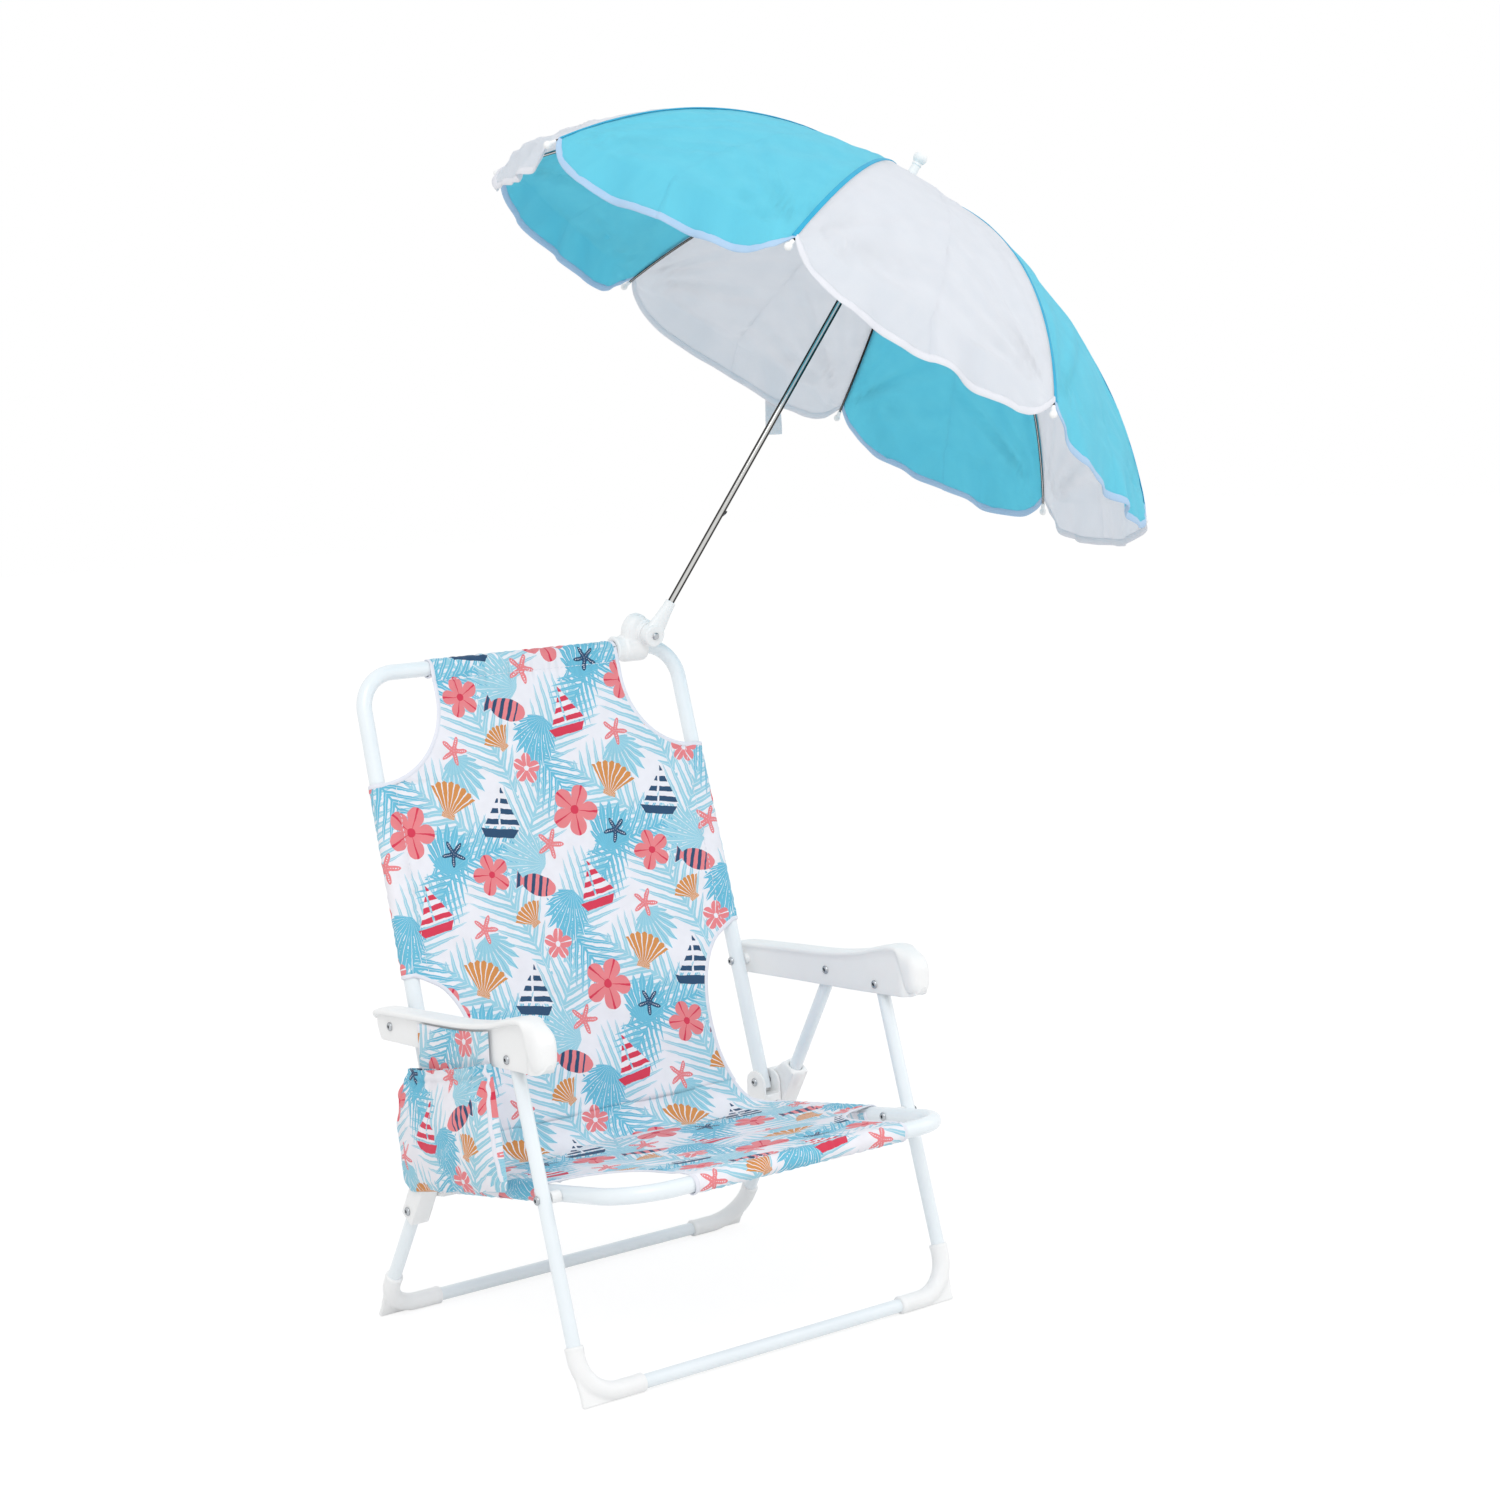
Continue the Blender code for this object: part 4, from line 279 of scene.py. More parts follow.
def bar(path, radius, hint, sides=32, rim=0.8 * MM):
    """A round bar: a circle carried along the path, with end faces whose rims are quarter circles."""
    path = np.asarray(path, float)
    bend = np.linspace(math.pi / 2, 0, 5)
    first, last = unit(path[0] - path[1]), unit(path[-1] - path[-2])
    start = path[0] + np.outer(np.sin(bend) - 1, first) * rim
    end = path[-1] + np.outer(np.sin(bend[::-1]) - 1, last) * rim
    line = np.vstack((path[:1], start, path[1:-1], end, path[-1:]))
    radii = np.concatenate(([0], radius - rim + rim * np.cos(bend)))
    radii = np.concatenate((radii, np.full(len(path) - 2, radius), radii[::-1]))
    ahead = unit(np.gradient(path, axis=0))
    ahead = np.vstack((np.repeat(ahead[:1], 6, 0), ahead[1:-1], np.repeat(ahead[-1:], 6, 0)))
    side = unit(np.cross(ahead, hint))
    up = np.cross(side, ahead)
    circle = ring(sides)
    return line[:, None] + (side[:, None] * circle[:, :1] + up[:, None] * circle[:, 1:]) * radii[:, None, None]


def lathe(profile, sides=40):
    """A surface of revolution: each (radius, height) of the profile turned about Z."""
    profile = np.asarray(profile, float)
    circle = ring(sides)
    around = profile[:, None, :1] * circle[None]
    heights = np.broadcast_to(profile[:, None, 1:], (*around.shape[:2], 1))
    return np.concatenate((around, heights), axis=2)


def placed(points, origin, axis, hint=(0.0, 0.0, 1.0)):
    """Points about Z turned so that Z runs along the axis, and moved to the origin."""
    z = unit(np.asarray(axis, float))
    x = unit(np.cross(np.cross(z, hint), z)) if abs(np.dot(z, hint)) < 0.99 else unit(np.cross(z, (0.0, 1.0, 0.0)))
    return points @ np.stack((x, np.cross(z, x), z)) + np.asarray(origin, float)


def bumps(along, length, seed, count=4):
    """Irregular waves: a sum of sines of about one length, with seeded phases, between -1 and 1."""
    chance = np.random.default_rng(seed)
    total = np.zeros_like(along)
    for share in np.linspace(0.72, 1.5, count):
        total += np.sin(2 * math.pi * (along / (length * share) + chance.random())) / count
    return total * 1.5


def ease(x):
    x = np.clip(x, 0, 1)
    return x * x * (3 - 2 * x)


def signed_power(values, exponent):
    """The values raised to a power with their signs kept, as in a superellipse."""
    return np.sign(values) * np.abs(values) ** exponent


def grid_normals(points, wrap=False):
    """The normal at each grid point, from the cross product of the slopes along columns and rows."""
    if wrap:
        points = np.concatenate((points[:, -1:], points, points[:, :1]), axis=1)
    normal = np.cross(np.gradient(points, axis=1), np.gradient(points, axis=0))
    return unit(normal[:, 1:-1] if wrap else normal)


def surface(points, wrap=False, uv=None, slot=0, mask=None, loop=False):
    """One grid of a piece: points, whether its columns or its rows close, and its material slot."""
    rows, columns = points.shape[:2]
    index = np.arange(rows * columns).reshape(rows, columns)
    if loop:
        index = np.vstack((index, index[:1]))
    if wrap:
        index = np.hstack((index, index[:, :1]))
    faces = np.stack((index[:-1, :-1], index[:-1, 1:], index[1:, 1:], index[1:, :-1]), axis=-1)
    slots = np.broadcast_to(np.asarray(slot), faces.shape[:2])
    if mask is not None:
        faces, slots = faces[mask], slots[mask]
    uv = np.zeros((rows, columns, 2)) if uv is None else uv
    return points.reshape(-1, 3), faces.reshape(-1, 4), uv.reshape(-1, 2), slots.reshape(-1)


def make_mesh(name, surfaces, recalculate=True, sharp=40):
    """A mesh from grids: doubles are merged, loose points dropped and, on a closed piece, faces turned outwards."""
    points, faces, uvs, slots, base = [], [], [], [], 0
    for piece_points, piece_faces, uv, slot in surfaces:
        points.append(piece_points)
        faces.append(piece_faces + base)
        uvs.append(uv)
        slots.append(slot)
        base += len(piece_points)
    points, faces, uvs = np.vstack(points), np.vstack(faces), np.vstack(uvs)
    mesh = bpy.data.meshes.new(name)
    mesh.from_pydata(points.tolist(), [], faces.tolist())
    layer = mesh.uv_layers.new(name="UVMap")
    layer.data.foreach_set("uv", uvs[faces.reshape(-1)].astype(np.float32).ravel())
    mesh.polygons.foreach_set("material_index", np.concatenate(slots).astype(np.int32))
    shape = bmesh.new()
    shape.from_mesh(mesh)
    bmesh.ops.delete(shape, geom=[vert for vert in shape.verts if not vert.link_faces], context="VERTS")
    bmesh.ops.remove_doubles(shape, verts=shape.verts, dist=2e-6)
    bmesh.ops.dissolve_degenerate(shape, edges=shape.edges, dist=1e-7)
    if recalculate:
        bmesh.ops.recalc_face_normals(shape, faces=shape.faces)
    shape.to_mesh(mesh)
    shape.free()
    mesh.shade_smooth()
    mesh.set_sharp_from_angle(angle=math.radians(sharp))
    return mesh


def add_piece(name, mesh, materials, body, replaces=(), ride=True):
    """Puts a mesh in the scene as a piece that rides on a body and stands for CAD nodes."""
    obj = bpy.data.objects.new(name, mesh)
    bpy.context.scene.collection.objects.link(obj)
    for each in materials:
        mesh.materials.append(each)
    if replaces:
        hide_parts(*replaces)
    if ride:
        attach(obj, body)
    return obj


def applied(obj):
    """Makes the object's modifiers part of its mesh."""
    graph = bpy.context.evaluated_depsgraph_get()
    mesh = bpy.data.meshes.new_from_object(obj.evaluated_get(graph))
    obj.modifiers.clear()
    obj.data = mesh
    return mesh


def soften(mesh, voxel, rounds):
    """One moulded skin: overlapping closed shapes are remeshed together, and their edges smoothed round."""
    obj = bpy.data.objects.new("moulding", mesh)
    bpy.context.scene.collection.objects.link(obj)
    step = obj.modifiers.new("skin", "REMESH")
    step.mode, step.voxel_size, step.use_smooth_shade = "VOXEL", voxel, True
    step = obj.modifiers.new("round", "SMOOTH")
    step.factor, step.iterations = 0.5, rounds
    bpy.context.view_layer.update()
    made = applied(obj)
    bpy.data.objects.remove(obj)
    made.shade_smooth()
    return made


def node_copy(node, extra=()):
    """A CAD node's mesh with its loose triangles merged, and other surfaces put beside it."""
    shape = bmesh.new()
    shape.from_mesh(frame["nodes"][node].data)
    if extra:
        shape.from_mesh(make_mesh(node + "_extra", extra))
    bmesh.ops.remove_doubles(shape, verts=shape.verts, dist=1e-6)
    mesh = bpy.data.meshes.new("copy")
    shape.to_mesh(mesh)
    shape.free()
    return mesh


def thicken(obj, thickness):
    """Gives a sheet its thickness, half to each side, with its other side in its second material."""
    step = obj.modifiers.new("thickness", "SOLIDIFY")
    step.thickness, step.offset, step.use_rim = thickness, 0.0, True
    step.material_offset = 1
    return obj


# Materials
def socket(sockets, key):
    """The socket of that number, or the one in use of that name."""
    return sockets[key] if isinstance(key, int) else next(each for each in sockets if each.name == key and each.enabled)


def add_node(tree, kind, inputs=(), **settings):
    """Adds a node with its settings. Each input takes a number or colour, or a link from another node's output."""
    made = tree.nodes.new("ShaderNode" + kind)
    for name, value in settings.items():
        setattr(made, name, value)
    for key, value in dict(inputs).items():
        if isinstance(value, bpy.types.NodeSocket):
            tree.links.new(value, socket(made.inputs, key))
        else:
            socket(made.inputs, key).default_value = value
    return made


def add_steps(tree, known, steps):
    """Adds a row of nodes from a table: name, kind, operation and inputs.

    An input in words is an earlier row's output.
    """
    for name, kind, operation, *inputs in steps:
        values = {i: known[each] if isinstance(each, str) else each for i,
            each in enumerate(inputs) if each is not None}
        made = add_node(tree, kind, values, **({"operation": operation} if operation else {}))
        known[name] = next(socket for socket in made.outputs if socket.enabled)
    return known


def new_material(name):
    """An empty material, its tree and its output node."""
    made = bpy.data.materials.new(name)
    made.use_nodes = True
    made.node_tree.nodes.clear()
    return made, made.node_tree, add_node(made.node_tree, "OutputMaterial")


def finish_material(tree, output, shader):
    tree.links.new(shader.outputs[0], output.inputs["Surface"])


def powder_coated_steel():
    """Steel tube with a sprayed and baked polyester coat: an even white, glossy under a faint orange peel."""
    made, tree, output = new_material("powder_coated_steel")
    place = add_node(tree, "TexCoord").outputs["Object"]
    # The orange peel of a powder coat is 2 to 3 mm from crest to crest
    peel = add_node(tree, "TexNoise", {"Vector": place, "Scale": 1 / (2.6 * MM), "Detail": 1.5})
    cloud = add_node(tree, "TexNoise", {"Vector": place, "Scale": 1 / (60 * MM), "Detail": 2.0})
    bump = add_node(tree, "Bump", {"Height": peel.outputs["Fac"], "Strength": 0.12, "Distance": 0.05 * MM})
    colour = bpy.context.scene.chair_finish.tube_colour[:]
    shade = add_node(
        tree, "Mix", {"Factor": cloud.outputs["Fac"], "A": colour, "B": linear("E2EAEF")}, data_type="RGBA"
    )
    gloss = add_node(tree, "MapRange", {"Value": cloud.outputs["Fac"], "To Min": 0.26, "To Max": 0.36})
    shader = add_node(
        tree,
        "BsdfPrincipled",
        {
            "Base Color": socket(shade.outputs, "Result"),
            "Roughness": socket(gloss.outputs, "Result"),
            "IOR": 1.5,
            "Coat Weight": 0.35,
            "Coat Roughness": 0.12,
            "Normal": bump.outputs["Normal"],
        },
    )
    finish_material(tree, output, shader)
    return made


def moulded_polypropylene():
    """Injection-moulded polypropylene: white with a fine spark-eroded grain, softly glossy."""
    made, tree, output = new_material("moulded_polypropylene")
    place = add_node(tree, "TexCoord").outputs["Object"]
    # The mould's grain is about 0.2 mm, drawn at 0.9 mm so that it shows
    grain = add_node(tree, "TexNoise", {"Vector": place, "Scale": 1 / (0.9 * MM), "Detail": 2.0})
    # Sink marks and handling dull it in patches of about 30 mm
    cloud = add_node(tree, "TexNoise", {"Vector": place, "Scale": 1 / (30 * MM), "Detail": 3.0})
    bump = add_node(tree, "Bump", {"Height": grain.outputs["Fac"], "Strength": 0.1, "Distance": 0.06 * MM})
    colour = bpy.context.scene.chair_finish.plastic_colour[:]
    shade = add_node(
        tree, "Mix", {"Factor": cloud.outputs["Fac"], "A": colour, "B": linear("EDEEEE")}, data_type="RGBA"
    )
    gloss = add_node(tree, "MapRange", {"Value": cloud.outputs["Fac"], "To Min": 0.36, "To Max": 0.5})
    shader = add_node(
        tree,
        "BsdfPrincipled",
        {
            "Base Color": socket(shade.outputs, "Result"),
            "Roughness": socket(gloss.outputs, "Result"),
            "IOR": 1.49,
            "Normal": bump.outputs["Normal"],
        },
    )
    finish_material(tree, output, shader)
    return made


def plated_steel(name, colour, dark, roughness, near=0.03, far=0.17):
    """Plated steel: a clear metal sheen with a painted reflection, its colour painted darker where the surface turns
    away from the view, and faint drawing marks along its length.
    """
    made, tree, output = new_material(name)
    place = add_node(tree, "TexCoord").outputs["Object"]
    # Drawing and tumbling marks, drawn at 1.5 mm
    marks = add_node(tree, "TexNoise", {"Vector": place, "Scale": 1 / (1.5 * MM), "Detail": 3.0})
    # Painted reflection: the colour is painted towards the dark colour where the surface turns from the view, standing
    # in for dark surroundings mirrored in the metal
    facing = add_node(tree, "LayerWeight", {"Blend": 0.42})
    turn = add_node(tree, "MapRange", {"Value": facing.outputs["Facing"], "From Min": near, "From Max": far})
    shade = add_node(tree, "Mix", {"Factor": socket(turn.outputs, "Result"), "A": colour, "B": dark}, data_type="RGBA")
    gloss = add_node(
        tree, "MapRange", {"Value": marks.outputs["Fac"], "To Min": roughness * 0.85, "To Max": roughness * 1.25}
    )
    bump = add_node(tree, "Bump", {"Height": marks.outputs["Fac"], "Strength": 0.02, "Distance": 0.05 * MM})
    shader = add_node(
        tree,
        "BsdfPrincipled",
        {
            "Base Color": socket(shade.outputs, "Result"),
            "Metallic": 1.0,
            "Roughness": socket(gloss.outputs, "Result"),
            "Normal": bump.outputs["Normal"],
        },
    )
    finish_material(tree, output, shader)
    return made


def weave_height(tree, place, spacing):
    """The height of a plain weave: sines across and along that take turns over and under."""
    k = math.pi / spacing
    known = add_steps(
        tree,
        {"place": place},
        (
            ("scaled", "VectorMath", "SCALE", "place", None, None, k),
            ("parts", "SeparateXYZ", None, "scaled"),
        ),
    )
    parts = known["parts"].node
    known.update(u=parts.outputs["X"], v=parts.outputs["Y"])
    return add_steps(
        tree,
        known,
        (
            ("su", "Math", "SINE", "u"),
            ("sv", "Math", "SINE", "v"),
            ("both", "Math", "MULTIPLY", "su", "sv"),
            ("height", "Math", "MULTIPLY_ADD", "both", 0.5, 0.5),
        ),
    )["height"]


def cloth_shader(tree, output, colour, light_colour, through, roughness, place, spacing, depth):
    """Woven cloth: a rough, lightly sheened surface over its weave, and some light that comes through it."""
    height = weave_height(tree, place, spacing)
    bump = add_node(tree, "Bump", {"Height": height, "Strength": depth, "Distance": 0.12 * MM})
    front = add_node(
        tree,
        "BsdfPrincipled",
        {
            "Base Color": colour,
            "Roughness": roughness,
            "IOR": 1.45,
            "Sheen Weight": 0.12,
            "Sheen Roughness": 0.5,
            "Normal": bump.outputs["Normal"],
        },
    )
    back = add_node(tree, "BsdfTranslucent", {"Color": light_colour, "Normal": bump.outputs["Normal"]})
    shader = add_node(tree, "MixShader", {"Fac": through, 1: front.outputs[0], 2: back.outputs[0]})
    finish_material(tree, output, shader)


# Printed motifs. Each is drawn in a square from -1 to 1 by the distance rules in its table.
SPRAY = (
    ("ax", "Math", "ABSOLUTE", "x"),
    ("lift", "Math", "MULTIPLY", "ax", 1.05),
    ("root", "Math", "SUBTRACT", "y", "lift"),
    ("up", "Math", "MULTIPLY_ADD", "root", 0.5, 0.62),
    ("arch", "Math", "MULTIPLY", "up", math.pi),
    ("swell", "Math", "SINE", "arch"),
    ("reach", "Math", "MULTIPLY", "swell", 0.66),
    ("reach_up", "Math", "MAXIMUM", "reach", 0.001),
    ("gone", "Math", "DIVIDE", "ax", "reach_up"),
    ("left", "Math", "SUBTRACT", 1.0, "gone"),
    ("left_up", "Math", "MAXIMUM", "left", 0.0),
    ("taper", "Math", "POWER", "left_up", 0.55),
    ("width", "Math", "MULTIPLY", "taper", 0.36),
    ("beat", "Math", "MULTIPLY", "root", 5.2),
    ("share", "Math", "FRACT", "beat"),
    ("off", "Math", "SUBTRACT", "share", 0.5),
    ("away", "Math", "ABSOLUTE", "off"),
    ("blade", "Math", "LESS_THAN", "away", "width"),
    ("low", "Math", "GREATER_THAN", "up", 0.0),
    ("high", "Math", "LESS_THAN", "up", 1.0),
    ("span", "Math", "MULTIPLY", "low", "high"),
    ("blades", "Math", "MULTIPLY", "blade", "span"),
    ("thin", "Math", "LESS_THAN", "ax", 0.022),
    ("tall", "Math", "COMPARE", "y", -0.12, 1.0),
    ("stem", "Math", "MULTIPLY", "thin", "tall"),
    ("mask", "Math", "MAXIMUM", "blades", "stem"),
    ("vein", "Math", "LESS_THAN", "away", 0.045),
    ("detail", "Math", "MULTIPLY", "vein", 0.55),
)
FAN = (
    ("ylow", "Math", "ADD", "y", 0.75),
    ("angle", "Math", "ARCTAN2", "x", "ylow"),
    ("place", "CombineXYZ", None, "x", "ylow", 0.0),
    ("radius", "VectorMath", "LENGTH", "place"),
    ("wide", "Math", "COMPARE", "angle", 0.0, 1.3),
    ("beat", "Math", "MULTIPLY", "angle", 4.4),
    ("share", "Math", "FRACT", "beat"),
    ("off", "Math", "SUBTRACT", "share", 0.5),
    ("away", "Math", "ABSOLUTE", "off"),
    ("notch", "Math", "MULTIPLY_ADD", "away", -0.9, 1.62),
    ("turn", "Math", "COSINE", "angle"),
    ("edge", "Math", "MULTIPLY", "notch", "turn"),
    ("within", "Math", "LESS_THAN", "radius", "edge"),
    ("cut", "Math", "LESS_THAN", "away", 0.43),
    ("near", "Math", "LESS_THAN", "radius", 0.55),
    ("kept", "Math", "MAXIMUM", "cut", "near"),
    ("fan", "Math", "MULTIPLY", "within", "kept"),
    ("mask", "Math", "MULTIPLY", "fan", "wide"),
    ("detail", "Math", "LESS_THAN", "away", 0.035),
)
FLOWER = (
    ("place", "CombineXYZ", None, "x", "y", 0.0),
    ("radius", "VectorMath", "LENGTH", "place"),
    ("angle", "Math", "ARCTAN2", "y", "x"),
    ("five", "Math", "MULTIPLY", "angle", 2.5),
    ("wave", "Math", "COSINE", "five"),
    ("petal", "Math", "ABSOLUTE", "wave"),
    ("round", "Math", "POWER", "petal", 0.45),
    ("edge", "Math", "MULTIPLY_ADD", "round", 0.62, 0.36),
    ("mask", "Math", "LESS_THAN", "radius", "edge"),
    ("vein", "Math", "GREATER_THAN", "petal", 0.992),
    ("heart", "Math", "LESS_THAN", "radius", 0.17),
    ("detail", "Math", "MAXIMUM", "vein", "heart"),
)
STARFISH = (
    ("place", "CombineXYZ", None, "x", "y", 0.0),
    ("radius", "VectorMath", "LENGTH", "place"),
    ("angle", "Math", "ARCTAN2", "y", "x"),
    ("five", "Math", "MULTIPLY", "angle", 2.5),
    ("wave", "Math", "COSINE", "five"),
    ("square", "Math", "MULTIPLY", "wave", "wave"),
    ("arm", "Math", "POWER", "square", 1.7),
    ("edge", "Math", "MULTIPLY_ADD", "arm", 0.68, 0.3),
    ("mask", "Math", "LESS_THAN", "radius", "edge"),
    ("middle", "Math", "GREATER_THAN", "square", 0.985),
    ("beat", "Math", "MULTIPLY", "radius", 6.5),
    ("share", "Math", "FRACT", "beat"),
    ("dot", "Math", "LESS_THAN", "share", 0.5),
    ("short", "Math", "LESS_THAN", "radius", 0.82),
    ("dots", "Math", "MULTIPLY", "middle", "dot"),
    ("detail", "Math", "MULTIPLY", "dots", "short"),
)
SHELL = (
    ("ylow", "Math", "ADD", "y", 0.85),
    ("angle", "Math", "ARCTAN2", "x", "ylow"),
    ("place", "CombineXYZ", None, "x", "ylow", 0.0),
    ("radius", "VectorMath", "LENGTH", "place"),
    ("turn", "Math", "ABSOLUTE", "angle"),
    ("wide", "Math", "LESS_THAN", "turn", 0.78),
    ("beat", "Math", "MULTIPLY", "angle", 4.5),
    ("share", "Math", "FRACT", "beat"),
    ("off", "Math", "SUBTRACT", "share", 0.5),
    ("away", "Math", "ABSOLUTE", "off"),
    ("edge", "Math", "MULTIPLY_ADD", "away", -0.22, 1.7),
    ("within", "Math", "LESS_THAN", "radius", "edge"),
    ("fan", "Math", "MULTIPLY", "wide", "within"),
    ("ear_x", "Math", "COMPARE", "x", 0.0, 0.34),
    ("ear_y", "Math", "COMPARE", "y", -0.72, 0.13),
    ("ear", "Math", "MULTIPLY", "ear_x", "ear_y"),
    ("mask", "Math", "MAXIMUM", "fan", "ear"),
    ("detail", "Math", "GREATER_THAN", "away", 0.4),
)
FISH = (
    ("xs", "Math", "MULTIPLY", "x", 1.25),
    ("ys", "Math", "MULTIPLY", "y", 2.3),
    ("place", "CombineXYZ", None, "xs", "ys", 0.0),
    ("radius", "VectorMath", "LENGTH", "place"),
    ("body", "Math", "LESS_THAN", "radius", 1.0),
    ("ay", "Math", "ABSOLUTE", "y"),
    ("behind", "Math", "SUBTRACT", -0.62, "x"),
    ("spread", "Math", "MULTIPLY", "behind", 0.85),
    ("fin", "Math", "LESS_THAN", "ay", "spread"),
    ("end", "Math", "GREATER_THAN", "x", -1.05),
    ("tail", "Math", "MULTIPLY", "fin", "end"),
    ("mask", "Math", "MAXIMUM", "body", "tail"),
    ("beat", "Math", "MULTIPLY", "x", 2.9),
    ("share", "Math", "FRACT", "beat"),
    ("stripe", "Math", "LESS_THAN", "share", 0.46),
    ("fore", "Math", "LESS_THAN", "x", 0.42),
    ("detail", "Math", "MULTIPLY", "stripe", "fore"),
)
SAILBOAT = (
    ("hull_y", "Math", "COMPARE", "y", -0.66, 0.15),
    ("lean", "Math", "MULTIPLY_ADD", "y", 0.6, 1.05),
    ("ax", "Math", "ABSOLUTE", "x"),
    ("hull_x", "Math", "LESS_THAN", "ax", "lean"),
    ("hull", "Math", "MULTIPLY", "hull_y", "hull_x"),
    ("above", "Math", "GREATER_THAN", "y", -0.42),
    ("slope", "Math", "MULTIPLY_ADD", "x", -1.75, 1.0),
    ("under", "Math", "LESS_THAN", "y", "slope"),
    ("right", "Math", "GREATER_THAN", "x", 0.03),
    ("main_a", "Math", "MULTIPLY", "under", "right"),
    ("slope2", "Math", "MULTIPLY_ADD", "x", 1.9, 0.72),
    ("under2", "Math", "LESS_THAN", "y", "slope2"),
    ("left", "Math", "LESS_THAN", "x", -0.05),
    ("jib_a", "Math", "MULTIPLY", "under2", "left"),
    ("sails_a", "Math", "MAXIMUM", "main_a", "jib_a"),
    ("sails", "Math", "MULTIPLY", "sails_a", "above"),
    ("mask", "Math", "MAXIMUM", "hull", "sails"),
    ("beat", "Math", "MULTIPLY", "y", 2.8),
    ("share", "Math", "FRACT", "beat"),
    ("stripe", "Math", "LESS_THAN", "share", 0.5),
    ("band", "Math", "MULTIPLY", "stripe", "sails"),
    ("detail", "Math", "MAXIMUM", "band", "hull"),
)
MOTIFS = {"spray": SPRAY, "fan": FAN, "flower": FLOWER, "starfish": STARFISH, "shell": SHELL, "fish": FISH,
    "boat": SAILBOAT}
# Where the motifs lie in one repeat of the print: motif, u and v in mm, turn in degrees, size in mm, two colours
REPEAT = (176.0, 164.0)
LAYOUT = (
    ("spray", 20, 28, 35, 58, "pale_leaf", "ground"),
    ("spray", 66, 122, -48, 62, "pale_leaf", "ground"),
    ("spray", 116, 34, -22, 60, "pale_leaf", "ground"),
    ("spray", 152, 104, 28, 60, "pale_leaf", "ground"),
    ("spray", 92, 82, 78, 52, "mid_leaf", "ground"),
    ("spray", 8, 146, 150, 50, "mid_leaf", "ground"),
    ("spray", 52, 60, -140, 40, "mid_leaf", "pale_leaf"),
    ("fan", 60, 92, 20, 30, "mid_leaf", "pale_leaf"),
    ("fan", 138, 76, -65, 32, "pale_leaf", "ground"),
    ("fan", 88, 154, 160, 29, "pale_leaf", "mid_leaf"),
    ("fan", 172, 18, -150, 31, "mid_leaf", "ground"),
    ("flower", 24, 112, 12, 25, "coral", "red"),
    ("flower", 100, 64, 40, 20, "coral", "red"),
    ("flower", 156, 156, 65, 15, "coral", "ground"),
    ("starfish", 64, 88, 30, 13, "navy", "ground"),
    ("starfish", 168, 84, 8, 15, "coral", "ground"),
    ("starfish", 82, 16, 8, 14, "coral", "ground"),
    ("shell", 72, 136, 24, 20, "sand", "ground"),
    ("shell", 132, 22, -30, 14, "sand", "ground"),
    ("fish", 148, 48, 20, 23, "coral", "navy"),
    ("boat", 30, 40, -8, 26, "ground", "red"),
    ("boat", 120, 118, 10, 27, "ground", "navy"),
)


def motif_group(name, steps):
    """A node group that draws one motif: how much of it covers a point, and its detail."""
    tree = bpy.data.node_groups.new(name, "ShaderNodeTree")
    tree.interface.new_socket("Vector", in_out="INPUT", socket_type="NodeSocketVector")
    for output in ("Mask", "Detail"):
        tree.interface.new_socket(output, in_out="OUTPUT", socket_type="NodeSocketFloat")
    start = tree.nodes.new("NodeGroupInput")
    parts = add_node(tree, "SeparateXYZ", {0: start.outputs["Vector"]})
    known = add_steps(tree, {"x": parts.outputs["X"], "y": parts.outputs["Y"]}, steps)
    end = tree.nodes.new("NodeGroupOutput")
    tree.links.new(known["mask"], end.inputs["Mask"])
    tree.links.new(known["detail"], end.inputs["Detail"])
    return tree


def printed_colour(tree, place, groups):
    """The print: each motif's vector from the point is wrapped to the repeat, turned and scaled, then laid over."""
    cloth = bpy.context.scene.cloth_finish
    scale = cloth.print_scale * MM
    # The dye sits unevenly: the edges of the motifs waver by under a millimetre
    stir = add_node(tree, "TexNoise", {"Vector": place, "Scale": 1 / (9 * MM), "Detail": 2.0})
    known = add_steps(
        tree,
        {"place": place, "stir": stir.outputs["Color"]},
        (
            ("centred", "VectorMath", "SUBTRACT", "stir", (0.5, 0.5, 0.5)),
            ("small", "VectorMath", "SCALE", "centred", None, None, 2.2 * MM),
            ("point", "VectorMath", "ADD", "place", "small"),
            ("flat", "VectorMath", "MULTIPLY", "point", (1.0, 1.0, 0.0)),
        ),
    )
    half = (REPEAT[0] * scale / 2, REPEAT[1] * scale / 2, 1.0)
    colour = cloth.ground[:]
    for motif, u, v, turn, size, main, detail in LAYOUT:
        known = add_steps(
            tree,
            known,
            (
                ("from", "VectorMath", "SUBTRACT", "flat", (u * scale, v * scale, 0.0)),
                ("wrapped", "VectorMath", "WRAP", "from", half, tuple(-each for each in half)),
            ),
        )
        share = 1 / (size * scale)
        local = add_node(
            tree,
            "Mapping",
            {"Vector": known["wrapped"], "Rotation": (0, 0, math.radians(turn)), "Scale": (share, share, share)},
        )
        # A Mapping node scales before it turns, which is the same for a motif that is scaled evenly
        drawn = add_node(tree, "Group", {}, node_tree=groups[motif])
        tree.links.new(local.outputs[0], drawn.inputs["Vector"])
        inner = add_node(
            tree,
            "Mix",
            {"Factor": drawn.outputs["Detail"], "A": getattr(cloth, main)[:], "B": getattr(cloth, detail)[:]},
            data_type="RGBA",
        )
        over = add_node(tree, "Mix", {"Factor": drawn.outputs["Mask"], "A": colour,
            "B": socket(inner.outputs, "Result")}, data_type="RGBA")
        colour = socket(over.outputs, "Result")
    return colour


